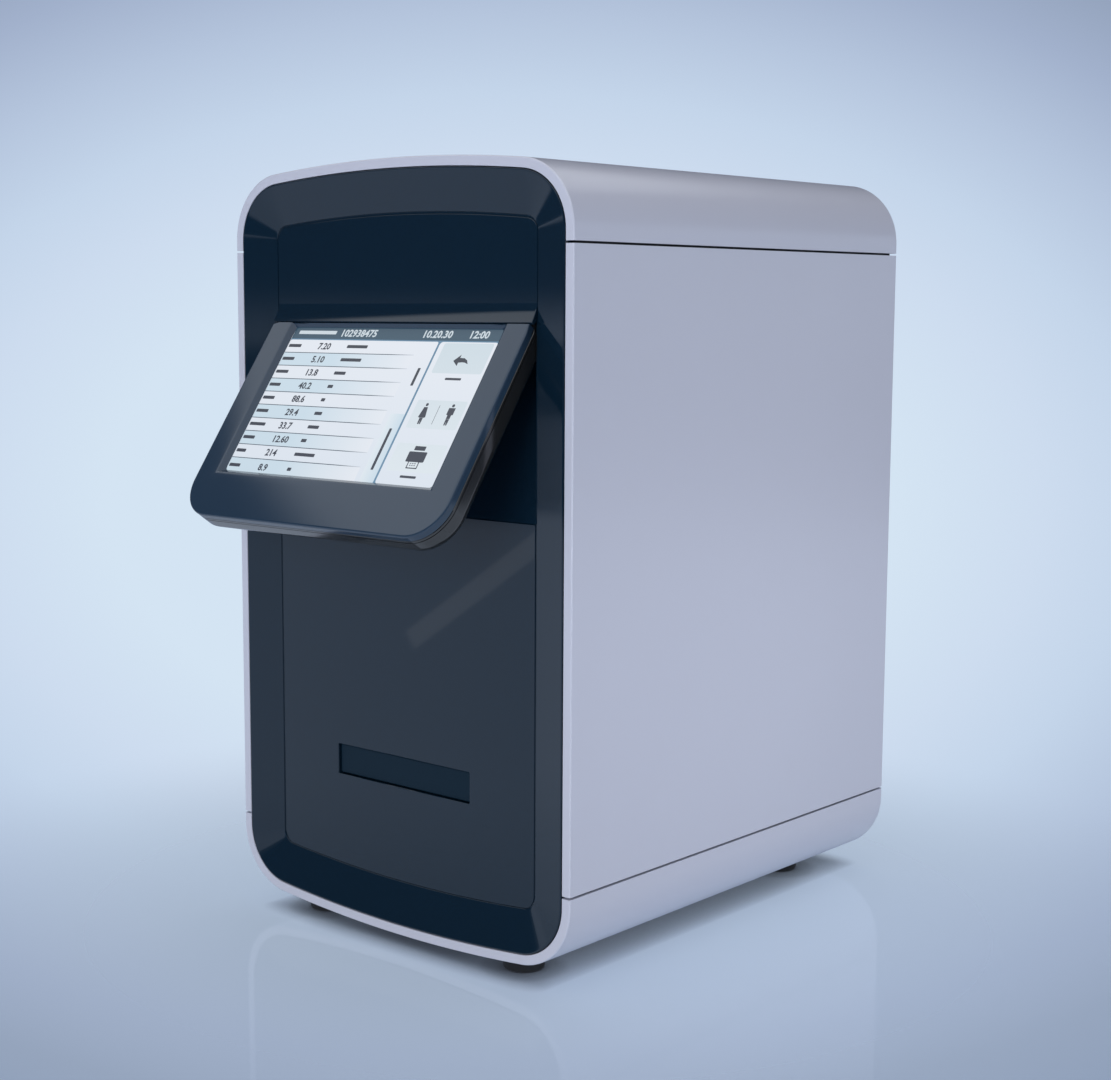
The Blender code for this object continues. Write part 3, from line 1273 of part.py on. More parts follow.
def make_press(parent, finishes):
    """Bridge over the drawer, lead-screw motor on top, rod and head that squeeze the cartridge."""
    half = PRESS_SPAN / 2
    low, top = BED_TOP + FIT, PRESS_TOP
    outline = [
        (-half, low),
        (-half + PRESS_WALL, low),
        (-half + PRESS_WALL, top - PRESS_WALL),
        (half - PRESS_WALL, top - PRESS_WALL),
        (half - PRESS_WALL, low),
        (half, low),
        (half, top),
        (-half, top),
    ]
    bm = bmesh.new()
    prism(bm, outline, "Y", PRESS_FRONT, PRESS_REAR)
    bridge = add("press_bridge", bm, finishes["aluminium"], parent)
    middle = (PRESS_FRONT + PRESS_REAR) / 2
    bore = bmesh.new()
    start, end = -PRESS_WALL - OVERRUN, OVERRUN
    cylinder(bore, PRESS_ROD_RADIUS + FIT, (0, middle, top), "Z", start, end, BORE_SEGMENTS)
    combine(bridge, bore, "DIFFERENCE")
    motor = bmesh.new()
    start = top + FIT
    cavity = PRESS_TRAVEL + PRESS_WALL
    profile = [
        (0, cavity),
        (PRESS_ROD_RADIUS + FIT, cavity),
        (PRESS_ROD_RADIUS + FIT, 0),
        (PRESS_MOTOR_RADIUS, 0),
        (PRESS_MOTOR_RADIUS, PRESS_MOTOR_HEIGHT),
        (0, PRESS_MOTOR_HEIGHT),
    ]
    turned(motor, profile, (0, middle, start), "Z", ROUND_SEGMENTS)
    add("press_motor", motor, finishes["steel"], parent, smooth_below=35)
    head = bmesh.new()
    wide = PRESS_HEAD_WIDTH / 2
    deep = (PRESS_REAR - PRESS_FRONT) / 2
    high = PRESS_HEAD_LOW + PRESS_HEAD_HEIGHT
    box(head, (-wide, middle - deep, PRESS_HEAD_LOW), (wide, middle + deep, high))
    presser = add("press_head", head, finishes["acetal"], parent, smooth_below=35)
    parts = bmesh.new()
    foot, tip = high - OVERRUN, top + FIT + PRESS_TRAVEL
    cylinder(parts, PRESS_ROD_RADIUS, (0, middle, 0), "Z", foot, tip, BORE_SEGMENTS)
    for place in (-1, 0, 1):
        centre = (place * PRESS_PAD_PITCH, middle, PRESS_HEAD_LOW)
        cylinder(parts, PRESS_PAD_RADIUS, centre, "Z", -PRESS_PAD_HEIGHT, OVERRUN, BORE_SEGMENTS)
    combine(presser, parts, "UNION")


def make_post(parent, finishes):
    """Microscope post: an upright with a foot, two ribs and a bracket for the focus motor."""
    half = POST_WIDTH / 2
    low = CHASSIS_TOP + FIT
    front, rear = POST_FRONT, POST_FRONT + POST_WALL
    outline = [
        (front, low),
        (rear + POST_RIB_DEPTH, low),
        (rear + POST_RIB_DEPTH, low + POST_WALL),
        (rear, low + POST_WALL),
        (rear, POST_TOP),
        (front, POST_TOP),
    ]
    bm = bmesh.new()
    prism(bm, outline, "X", -half, half)
    post = add("microscope_post", bm, finishes["aluminium"], parent)
    ribs = bmesh.new()
    slope = [
        (rear - POST_WALL / 2, low + POST_WALL / 2),
        (rear + POST_RIB_DEPTH, low + POST_WALL / 2),
        (rear + POST_RIB_DEPTH, low + POST_WALL),
        (rear - POST_WALL / 2, low + POST_RIB_HEIGHT),
    ]
    for start in (-half, half - POST_RIB_WALL):
        prism(ribs, slope, "X", start, start + POST_RIB_WALL)
    combine(post, ribs, "UNION")
    bracket = bmesh.new()
    reach = focus_screw_setback() - FOCUS_MOTOR_SIDE / 2
    side = SCREW_OFFSET + FOCUS_MOTOR_SIDE / 2
    low_corner = (SCREW_OFFSET - FOCUS_MOTOR_SIDE / 2, reach, FOCUS_BRACKET_LOW)
    box(bracket, low_corner, (side, front + POST_WALL / 2, FOCUS_BRACKET_LOW + FOCUS_BRACKET_WALL))
    combine(post, bracket, "UNION", "bracket")
    bore = bmesh.new()
    centre = (SCREW_OFFSET, focus_screw_setback(), FOCUS_BRACKET_LOW)
    end = FOCUS_BRACKET_WALL + OVERRUN
    cylinder(bore, SCREW_RADIUS + FIT, centre, "Z", -OVERRUN, end, BORE_SEGMENTS)
    combine(post, bore, "DIFFERENCE")


def focus_screw_setback():
    """Y of the focus screw, in the middle of the carriage."""
    return POST_FRONT - FIT - FOCUS_RAIL_WALL - FIT - CARRIAGE_DEPTH / 2 + FOCUS_RAIL_WALL / 2


def make_focus(parent, finishes):
    """Focus rail on the post, carriage with its arm, screw and motor."""
    rail = bmesh.new()
    half = FOCUS_RAIL_WIDTH / 2
    rear = POST_FRONT - FIT
    front = rear - FOCUS_RAIL_WALL
    box(rail, (-half, front, FOCUS_RAIL_LOW), (half, rear, FOCUS_RAIL_HIGH))
    add("focus_rail", rail, finishes["steel"], parent)
    block = bmesh.new()
    wide = CARRIAGE_WIDTH / 2
    back = rear - FOCUS_RAIL_WALL / 2
    face = back - CARRIAGE_DEPTH
    box(block, (-wide, face, CARRIAGE_LOW), (wide, back, CARRIAGE_LOW + CARRIAGE_HEIGHT))
    carriage = add("focus_carriage", block, finishes["aluminium"], parent, smooth_below=35)
    arm = bmesh.new()
    arm_half = ARM_WIDTH / 2
    box(arm, (-arm_half, OPTIC_FRONT, ARM_LOW), (arm_half, face + OVERRUN, ARM_LOW + ARM_HEIGHT))
    combine(carriage, arm, "UNION", "arm")
    clamp = bmesh.new()
    cylinder(clamp, ARM_RING_RADIUS, (0, OPTIC_FRONT, ARM_LOW), "Z", 0, ARM_HEIGHT, ROUND_SEGMENTS)
    combine(carriage, clamp, "UNION")
    cuts = bmesh.new()
    low, high = CARRIAGE_LOW - OVERRUN, CARRIAGE_LOW + CARRIAGE_HEIGHT + OVERRUN
    box(cuts, (-half - FIT, front - FIT, low), (half + FIT, back + OVERRUN, high))
    cylinder(cuts, TUBE_RADIUS + FIT, (0, OPTIC_FRONT, 0), "Z", low, high, ROUND_SEGMENTS)
    screw = (SCREW_OFFSET, focus_screw_setback(), 0)
    cylinder(cuts, SCREW_RADIUS + FIT, screw, "Z", low, high, BORE_SEGMENTS)
    combine(carriage, cuts, "DIFFERENCE")


def make_focus_drive(parent, finishes):
    """Lead screw on its own axis and the motor above the post's bracket."""
    y = focus_screw_setback()
    axle = bpy.data.objects.new("focus_screw_axis", None)
    bpy.context.scene.collection.objects.link(axle)
    axle.parent = parent
    axle.location = (SCREW_OFFSET, y, SCREW_LOW)
    shaft = bmesh.new()
    base = FOCUS_BRACKET_LOW + FOCUS_BRACKET_WALL + FIT
    cylinder(shaft, SCREW_RADIUS, (0, 0, 0), "Z", 0, base - SCREW_LOW + FIT, BORE_SEGMENTS)
    add("focus_screw", shaft, finishes["steel"], axle, smooth_below=35)
    motor = bmesh.new()
    half = FOCUS_MOTOR_SIDE / 2
    box(
        motor,
        (SCREW_OFFSET - half, y - half, base),
        (SCREW_OFFSET + half, y + half, base + FOCUS_MOTOR_HEIGHT),
    )
    body = add("focus_motor", motor, finishes["steel"], parent)
    bore = bmesh.new()
    cylinder(bore, SCREW_RADIUS + FIT, (SCREW_OFFSET, y, base), "Z", -OVERRUN, 2 * FIT, BORE_SEGMENTS)
    combine(body, bore, "DIFFERENCE")


def make_optics(parent, finishes):
    """Tube in the arm's ring, objective below it, camera above."""
    tube = bmesh.new()
    profile = [
        (0, TUBE_LOW),
        (TUBE_RADIUS, TUBE_LOW),
        (TUBE_RADIUS, TUBE_HIGH - TUBE_COLLAR_HEIGHT),
        (TUBE_COLLAR, TUBE_HIGH - TUBE_COLLAR_HEIGHT),
        (TUBE_COLLAR, TUBE_HIGH),
        (0, TUBE_HIGH),
    ]
    turned(tube, profile, (0, OPTIC_FRONT, 0), "Z", ROUND_SEGMENTS)
    add("microscope_tube", tube, finishes["satin"], parent, smooth_below=35)
    objective = bmesh.new()
    profile = [
        (0, OBJECTIVE_TIP + LENS_WALL),
        (LENS_RADIUS + FIT, OBJECTIVE_TIP + LENS_WALL),
        (LENS_RADIUS + FIT, OBJECTIVE_TIP),
        (OBJECTIVE_TIP_RADIUS, OBJECTIVE_TIP),
        (OBJECTIVE_RADIUS, OBJECTIVE_TIP + OBJECTIVE_CONE),
        (OBJECTIVE_RADIUS, TUBE_LOW - FIT),
        (0, TUBE_LOW - FIT),
    ]
    turned(objective, profile, (0, OPTIC_FRONT, 0), "Z", ROUND_SEGMENTS)
    add("objective", objective, finishes["steel"], parent, smooth_below=35)
    camera = bmesh.new()
    half = CAMERA_SIDE / 2
    low = TUBE_HIGH + FIT
    box(camera, (-half, OPTIC_FRONT - half, low), (half, OPTIC_FRONT + half, low + CAMERA_HEIGHT))
    housing = add("camera", camera, finishes["satin"], parent)
    bevelled(housing, CAMERA_CHAMFER)


def make_lamp(parent, finishes):
    """Finned lamp under the drawer's window, on a stand, with its lens."""
    top = BED_TOP - 2 * BED_WALL
    low = top - LAMP_HEIGHT
    pitch = LAMP_HEIGHT / (2 * LAMP_FINS + 1)
    seat = CHASSIS_TOP + FIT
    foot = seat + BED_WALL
    profile = [(0, seat), (LAMP_RADIUS, seat), (LAMP_RADIUS, foot)]
    profile += [(LAMP_STAND_RADIUS, foot), (LAMP_STAND_RADIUS, low)]
    for fin in range(LAMP_FINS + 1):
        start = low + 2 * fin * pitch
        profile += [(LAMP_RADIUS, start), (LAMP_RADIUS, start + pitch)]
        if fin < LAMP_FINS:
            core = LAMP_RADIUS - LAMP_FIN_DEPTH
            profile += [(core, start + pitch), (core, start + 2 * pitch)]
    bore, floor = LAMP_LENS_RADIUS + FIT, top - LENS_WALL
    profile += [(bore, top), (bore, floor), (0, floor)]
    bm = bmesh.new()
    turned(bm, profile, (0, OPTIC_FRONT, 0), "Z", ROUND_SEGMENTS)
    add("lamp_housing", bm, finishes["aluminium"], parent, smooth_below=35)
    lens = bmesh.new()
    seat, crown = floor + FIT, top + LENS_WALL
    dome = [(0, seat), (LAMP_LENS_RADIUS, seat), (LAMP_LENS_RADIUS, top)]
    dome += [(LAMP_LENS_RADIUS / 2, crown), (0, crown)]
    turned(lens, dome, (0, OPTIC_FRONT, 0), "Z", ROUND_SEGMENTS)
    add("lamp_lens", lens, finishes["glass"], parent, smooth_below=35)


def make_main_board(parent, finishes):
    """Bracket from the chassis with pressed-in standoffs, and the board with its chips."""
    plate_outer = BOARD_INNER - FIT - STANDOFF_LENGTH
    plate_inner = plate_outer - BRACKET_WALL
    low = CHASSIS_TOP + FIT
    outline = [
        (-plate_outer, low),
        (-plate_outer + BRACKET_FOOT, low),
        (-plate_outer + BRACKET_FOOT, low + BRACKET_WALL),
        (-plate_inner, low + BRACKET_WALL),
        (-plate_inner, BOARD_HIGH),
        (-plate_outer, BOARD_HIGH),
    ]
    bm = bmesh.new()
    prism(bm, outline, "Y", BOARD_FRONT, BRACKET_REAR)
    bracket = add("board_bracket", bm, finishes["aluminium"], parent)
    posts = bmesh.new()
    for y in (BOARD_FRONT + STANDOFF_MARGIN, BRACKET_REAR - STANDOFF_MARGIN):
        for z in (BOARD_LOW + STANDOFF_MARGIN, BOARD_HIGH - STANDOFF_MARGIN):
            centre = (-plate_outer, y, z)
            cylinder(posts, STANDOFF_RADIUS, centre, "X", -STANDOFF_LENGTH, BRACKET_WALL / 2, HEX_SIDES)
    combine(bracket, posts, "UNION", "standoffs")
    board = bmesh.new()
    box(board, (-BOARD_OUTER, BOARD_FRONT, BOARD_LOW), (-BOARD_INNER, BOARD_REAR, BOARD_HIGH))
    circuit = add("main_board", board, finishes["board"], parent)
    chips = bmesh.new()
    outer = -BOARD_OUTER - CHIP_WALL
    inner = -BOARD_OUTER + BOARD_WALL / 2
    middle = (BOARD_FRONT + BOARD_REAR) / 2
    height = (BOARD_LOW + BOARD_HIGH) / 2
    sink = HEATSINK_SIDE / 2
    far = outer - HEATSINK_WALL
    box(chips, (far, middle - sink, height - sink), (inner, middle + sink, height + sink))
    for along in (-1, 1):
        y = middle + along * (HEATSINK_SIDE + CHIP_SIDE)
        half = CHIP_SIDE / 2
        box(chips, (outer, y - half, height - half), (inner, y + half, height + half))
    combine(circuit, chips, "UNION")


def port_box(bm, start, width, z, height, front, rear):
    """Adds a box that stands in from the board by a width, centred at a height."""
    box(bm, (start, front, z - height / 2), (start + width, rear, z + height / 2))


def make_ports(parent, finishes):
    """Two upright sockets with tongues and a network socket, on the board's inner face."""
    start = -BOARD_INNER + FIT
    rear = REAR_OUTER + PORT_OVERHANG
    for name, z in (("usb_port_lower", USB_LOW), ("usb_port_upper", USB_LOW + USB_PITCH)):
        shell, hollows = bmesh.new(), bmesh.new()
        front = rear - USB_LENGTH
        port_box(shell, start, USB_WIDTH, z, USB_HEIGHT, front, rear)
        socket = add(name, shell, finishes["steel"], parent)
        height = USB_HEIGHT - 2 * USB_SHELL
        gap = (USB_WIDTH - 2 * USB_SHELL - USB_TONGUE) / 2
        for near in (start + USB_SHELL, start + USB_SHELL + gap + USB_TONGUE):
            port_box(hollows, near, gap, z, height, front + USB_SHELL, rear + OVERRUN)
        combine(socket, hollows, "DIFFERENCE")
    shell, hollow = bmesh.new(), bmesh.new()
    port_box(shell, start, LAN_WIDTH, LAN_HEIGHT_AT, LAN_HEIGHT, rear - LAN_LENGTH, rear)
    socket = add("network_port", shell, finishes["steel"], parent)
    width, height = LAN_WIDTH - 2 * LAN_SHELL, LAN_HEIGHT - 2 * LAN_SHELL
    port_box(hollow, start + LAN_SHELL, width, LAN_HEIGHT_AT, height, rear - LAN_DEPTH, rear + OVERRUN)
    combine(socket, hollow, "DIFFERENCE")


def make_supply(parent, finishes):
    """Power supply: a ventilated can on the chassis round a board with its transformer."""
    low = CHASSIS_TOP + FIT
    high = low + SUPPLY_HEIGHT
    board_low = low + SUPPLY_WALL
    bm = bmesh.new()
    outline = [
        (SUPPLY_LEFT, low),
        (SUPPLY_RIGHT, low),
        (SUPPLY_RIGHT, high),
        (SUPPLY_LEFT, high),
        (SUPPLY_LEFT, high - SUPPLY_WALL),
        (SUPPLY_RIGHT - SUPPLY_WALL, high - SUPPLY_WALL),
        (SUPPLY_RIGHT - SUPPLY_WALL, board_low),
        (SUPPLY_LEFT, board_low),
    ]
    prism(bm, outline, "Y", SUPPLY_FRONT, SUPPLY_REAR)
    can = add("supply_cover", bm, finishes["steel"], parent)
    slots = bmesh.new()
    middle = (SUPPLY_LEFT + SUPPLY_RIGHT) / 2
    inset = SUPPLY_SLOT_PITCH
    for place in range(SUPPLY_SLOTS):
        y = SUPPLY_FRONT + SUPPLY_SLOT_PITCH * (place + 1)
        box(
            slots,
            (SUPPLY_LEFT + inset, y, high - 2 * SUPPLY_WALL),
            (middle + inset, y + SUPPLY_SLOT_WIDTH, high + OVERRUN),
        )
    combine(can, slots, "DIFFERENCE")
    board = bmesh.new()
    start = board_low + FIT
    right = SUPPLY_RIGHT - SUPPLY_WALL - FIT
    box(board, (SUPPLY_LEFT, SUPPLY_FRONT, start), (right, SUPPLY_REAR, start + SUPPLY_BOARD_WALL))
    circuit = add("supply_board", board, finishes["board"], parent)
    cores = bmesh.new()
    base = start + SUPPLY_BOARD_WALL / 2
    half = SUPPLY_CORE_SIDE / 2
    y = (SUPPLY_FRONT + SUPPLY_REAR) / 2
    low, high = (middle - half, y - half, base), (middle + half, y + half, base + SUPPLY_CORE_HEIGHT)
    box(cores, low, high)
    radius = SUPPLY_CAPACITOR_RADIUS
    for hand in (-1, 1):
        centre = (middle + hand * (half + SUPPLY_CORE_GAP + radius), y, base)
        cylinder(cores, radius, centre, "Z", 0, SUPPLY_CORE_HEIGHT, BORE_SEGMENTS)
    combine(circuit, cores, "UNION")


def inlet_cavity():
    """(x, z) outline of the inlet's socket, with its two lower corners cut."""
    half, high = INLET_CAVITY_WIDTH / 2, INLET_CAVITY_HEIGHT / 2
    cut = INLET_CAVITY_CORNER
    outline = [(half, high), (-half, high), (-half, -high + cut)]
    outline += [(-half + cut, -high), (half - cut, -high), (half, -high + cut)]
    return [(INLET_X + x, INLET_Z + z) for x, z in outline]


def make_rear_panel(parent, finishes):
    """Rear panel with vents, the openings for fan, inlet, switch and ports, and its screws."""
    bm = bmesh.new()
    prism(bm, full_outline(CASE_WALL + REAR_FIT), "Y", REAR_INNER, REAR_OUTER)
    panel = add("rear_panel", bm, finishes["case"], parent)
    start, end = REAR_INNER - OVERRUN, REAR_OUTER + OVERRUN
    cuts = bmesh.new()
    for row in range(VENT_ROWS):
        z = VENT_LOW + row * VENT_PITCH
        box(cuts, (VENT_LEFT, start, z), (VENT_LEFT + VENT_WIDTH, end, z + VENT_HEIGHT))
    centre = (FAN_X, 0, FAN_Z)
    cylinder(cuts, FAN_BORE, centre, "Y", start, end, GUARD_SEGMENTS)
    for x, z in fan_screw_places():
        cylinder(cuts, FAN_SCREW_RADIUS + FIT, (x, 0, z), "Y", start, end, BORE_SEGMENTS)
    half, high = INLET_BODY_WIDTH / 2 + FIT, INLET_BODY_HEIGHT / 2 + FIT
    box(cuts, (INLET_X - half, start, INLET_Z - high), (INLET_X + half, end, INLET_Z + high))
    for hand in (-1, 1):
        spot = (INLET_X + hand * INLET_SCREW_OFFSET, 0, INLET_Z)
        cylinder(cuts, CASE_SCREW_RADIUS + FIT, spot, "Y", start, end, BORE_SEGMENTS)
    half, high = SWITCH_WIDTH / 2 + FIT, SWITCH_HEIGHT / 2 + FIT
    box(cuts, (SWITCH_X - half, start, INLET_Z - high), (SWITCH_X + half, end, INLET_Z + high))
    left = -BOARD_INNER
    for z in (USB_LOW, USB_LOW + USB_PITCH):
        port_box(cuts, left, USB_WIDTH + 2 * FIT, z, USB_HEIGHT + 2 * FIT, start, end)
    port_box(cuts, left, LAN_WIDTH + 2 * FIT, LAN_HEIGHT_AT, LAN_HEIGHT + 2 * FIT, start, end)
    combine(panel, cuts, "DIFFERENCE")
    screws = bmesh.new()
    for x, z in rear_screw_places():
        pan_screw(screws, (x, REAR_OUTER, z), "Y", REAR_WALL)
    combine(panel, screws, "UNION", "screws")


def make_inlet(parent, finishes):
    """Power inlet with its socket and the three pins moulded into it."""
    bm = bmesh.new()
    half, high = INLET_FLANGE_WIDTH / 2, INLET_FLANGE_HEIGHT / 2
    seat = REAR_OUTER + FIT
    rear = seat + INLET_FLANGE_WALL
    box(bm, (INLET_X - half, seat, INLET_Z - high), (INLET_X + half, rear, INLET_Z + high))
    inlet = add("power_inlet", bm, finishes["satin"], parent)
    body = bmesh.new()
    half, high = INLET_BODY_WIDTH / 2, INLET_BODY_HEIGHT / 2
    front = seat - INLET_BODY_DEPTH
    middle = seat + INLET_FLANGE_WALL / 2
    box(body, (INLET_X - half, front, INLET_Z - high), (INLET_X + half, middle, INLET_Z + high))
    combine(inlet, body, "UNION")
    hollow = bmesh.new()
    prism(hollow, inlet_cavity(), "Y", rear - INLET_CAVITY_DEPTH, rear + OVERRUN)
    for hand in (-1, 1):
        spot = (INLET_X + hand * INLET_SCREW_OFFSET, seat, INLET_Z)
        end = INLET_FLANGE_WALL + OVERRUN
        cylinder(hollow, CASE_SCREW_RADIUS + FIT, spot, "Y", -OVERRUN, end, BORE_SEGMENTS)
    combine(inlet, hollow, "DIFFERENCE")
    pins = bmesh.new()
    floor = rear - INLET_CAVITY_DEPTH - INLET_PIN_WALL
    wall, tall = INLET_PIN_WALL / 2, INLET_PIN_HEIGHT / 2
    places = [(-INLET_PIN_PITCH, -INLET_PIN_DROP), (0, INLET_PIN_RISE), (INLET_PIN_PITCH, -INLET_PIN_DROP)]
    for x, z in places:
        centre_x, centre_z = INLET_X + x, INLET_Z + z
        low = (centre_x - wall, floor, centre_z - tall)
        box(pins, low, (centre_x + wall, floor + INLET_PIN_LENGTH, centre_z + tall))
    combine(inlet, pins, "UNION", "pins")


def make_switch(parent, finishes):
    """Rocker switch: a frame through the rear panel and the rocker on its own pivot."""
    seat = REAR_OUTER + FIT
    bm = bmesh.new()
    half, high = SWITCH_WIDTH / 2 + SWITCH_FLANGE, SWITCH_HEIGHT / 2 + SWITCH_FLANGE
    rear = seat + SWITCH_FLANGE_WALL
    box(bm, (SWITCH_X - half, seat, INLET_Z - high), (SWITCH_X + half, rear, INLET_Z + high))
    frame = add("switch_frame", bm, finishes["satin"], parent)
    body = bmesh.new()
    half, high = SWITCH_WIDTH / 2, SWITCH_HEIGHT / 2
    front = seat - SWITCH_DEPTH
    middle = seat + SWITCH_FLANGE_WALL / 2
    box(body, (SWITCH_X - half, front, INLET_Z - high), (SWITCH_X + half, middle, INLET_Z + high))
    combine(frame, body, "UNION")
    hollow = bmesh.new()
    inner, tall = half - SWITCH_WALL, high - SWITCH_WALL
    low = (SWITCH_X - inner, front + SWITCH_WALL, INLET_Z - tall)
    box(hollow, low, (SWITCH_X + inner, rear + OVERRUN, INLET_Z + tall))
    combine(frame, hollow, "DIFFERENCE")
    sockets = bmesh.new()
    axis_y = rear - ROCKER_AXIS_DEPTH
    reach = inner + SWITCH_WALL / 2
    centre = (SWITCH_X, axis_y, INLET_Z)
    cylinder(sockets, ROCKER_PIN_RADIUS + FIT, centre, "X", -reach, reach, BORE_SEGMENTS)
    combine(frame, sockets, "DIFFERENCE", "sockets")
    pivot = bpy.data.objects.new("rocker_axis", None)
    bpy.context.scene.collection.objects.link(pivot)
    pivot.parent = parent
    pivot.location = (SWITCH_X, axis_y, INLET_Z)
    pivot.rotation_euler = (ROCKER_TRAVEL / 2, 0, 0)
    make_rocker(pivot, inner - ROCKER_GAP, tall, finishes)


def make_rocker(pivot, half, tall, finishes):
    """The rocker: a shallow V face over a belly that turns inside the frame, and its pivot pins."""
    reach = tall / math.cos(ROCKER_TRAVEL / 2) - 2 * ROCKER_GAP
    face = ROCKER_AXIS_DEPTH + ROCKER_RISE
    dip = ROCKER_AXIS_DEPTH - ROCKER_GAP
    belly = ROCKER_AXIS_DEPTH
    outline = [(face, reach - ROCKER_GAP), (dip, 0), (face, -reach + ROCKER_GAP)]
    outline += [(0, -reach), (-belly, -belly), (-belly, belly), (0, reach)]
    bm = bmesh.new()
    prism(bm, outline, "X", -half, half)
    rocker = add("power_rocker", bm, finishes["satin"], pivot)
    pins = bmesh.new()
    end = half + ROCKER_GAP + SWITCH_WALL / 2 - ROCKER_GAP / 2
    cylinder(pins, ROCKER_PIN_RADIUS, (0, 0, 0), "X", -end, end, BORE_SEGMENTS)
    combine(rocker, pins, "UNION")


def fan_screw_places():
    """(x, z) of the fan's four screws."""
    steps = (-FAN_SCREW_OFFSET, FAN_SCREW_OFFSET)
    return [(FAN_X + across, FAN_Z + up) for across in steps for up in steps]


def make_fan(parent, finishes):
    """Fan frame behind the rear panel, its rotor on its own axis, wire guard and screws."""
    half = FAN_SIDE / 2
    rear = FAN_FRONT + FAN_DEPTH
    bm = bmesh.new()
    box(bm, (FAN_X - half, FAN_FRONT, FAN_Z - half), (FAN_X + half, rear, FAN_Z + half))
    frame = add("fan_frame", bm, finishes["satin"], parent)
    bores = bmesh.new()
    centre = (FAN_X, FAN_FRONT, FAN_Z)
    cylinder(bores, FAN_BORE, centre, "Y", -OVERRUN, FAN_DEPTH + OVERRUN, GUARD_SEGMENTS)
    for x, z in fan_screw_places():
        spot = (x, FAN_FRONT, z)
        cylinder(bores, FAN_SCREW_RADIUS + FIT, spot, "Y", -OVERRUN, FAN_DEPTH + OVERRUN, BORE_SEGMENTS)
    combine(frame, bores, "DIFFERENCE")
    hub = bmesh.new()
    strut = FAN_STRUT / 2
    for angle in (math.pi / 4, 3 * math.pi / 4):
        arm = bmesh.new()
        reach = FAN_BORE + OVERRUN
        box(arm, (-reach, 0, -strut), (reach, FAN_STRUT / 2, strut))
        turn = Matrix.Translation(centre) @ Matrix.Rotation(angle, 4, "Y")
        bmesh.ops.transform(arm, matrix=turn, verts=arm.verts)
        combine(frame, arm, "UNION", f"strut_{round(math.degrees(angle))}")
    cylinder(hub, FAN_HUB, centre, "Y", 0, FAN_STRUT, ROUND_SEGMENTS)
    start, end = FAN_STRUT - OVERRUN, FAN_DEPTH - FAN_STRUT
    cylinder(hub, SHAFT_RADIUS, centre, "Y", start, end, BORE_SEGMENTS)
    combine(frame, hub, "UNION", "hub")
    make_rotor(parent, finishes)
    make_guard(parent, finishes)


def make_rotor(parent, finishes):
    """Rotor with seven twisted blades on the fan's spindle."""
    spindle = bpy.data.objects.new("fan_axis", None)
    bpy.context.scene.collection.objects.link(spindle)
    spindle.parent = parent
    start = FAN_STRUT + FIT
    spindle.location = (FAN_X, FAN_FRONT + start, FAN_Z)
    bm = bmesh.new()
    bore = SHAFT_RADIUS + FIT
    cover = FAN_ROTOR_DEPTH - FAN_BLADE_WALL
    profile = [
        (0, cover),
        (bore, cover),
        (bore, 0),
        (FAN_HUB, 0),
        (FAN_HUB, FAN_ROTOR_DEPTH - OVERRUN),
        (FAN_HUB - OVERRUN, FAN_ROTOR_DEPTH),
        (0, FAN_ROTOR_DEPTH),
    ]
    turned(bm, profile, (0, 0, 0), "Y", 3 * FAN_BLADES)
    rotor = add("fan_rotor", bm, finishes["satin"], spindle, smooth_below=35)
    blades = bmesh.new()
    for blade in range(FAN_BLADES):
        skin(blades, blade_sections(math.tau * blade / FAN_BLADES), closed=False)
    combine(rotor, blades, "UNION")


def blade_sections(turn):
    """Sections of one blade from inside the hub to its tip, each a thin slanted strip."""
    sections = []
    middle = FAN_ROTOR_DEPTH / 2
    for step in range(FAN_BLADE_STEPS + 1):
        share = step / FAN_BLADE_STEPS
        radius = FAN_HUB - OVERRUN + (FAN_BLADE_TIP - FAN_HUB + OVERRUN) * share
        angle = turn + FAN_BLADE_SWEEP * share
        chord = FAN_ROTOR_DEPTH / 2 - OVERRUN
        half_turn = chord * math.tan(math.pi / 2 - FAN_BLADE_PITCH) / FAN_BLADE_TIP
        thick = FAN_BLADE_WALL / 2 / radius
        corners = ((-1, -thick), (-1, thick), (1, thick), (1, -thick))
        sections.append(
            [
                (
                    radius * math.cos(angle + end * half_turn + side),
                    middle + end * chord,
                    radius * math.sin(angle + end * half_turn + side),
                )
                for end, side in corners
            ]
        )
    return sections


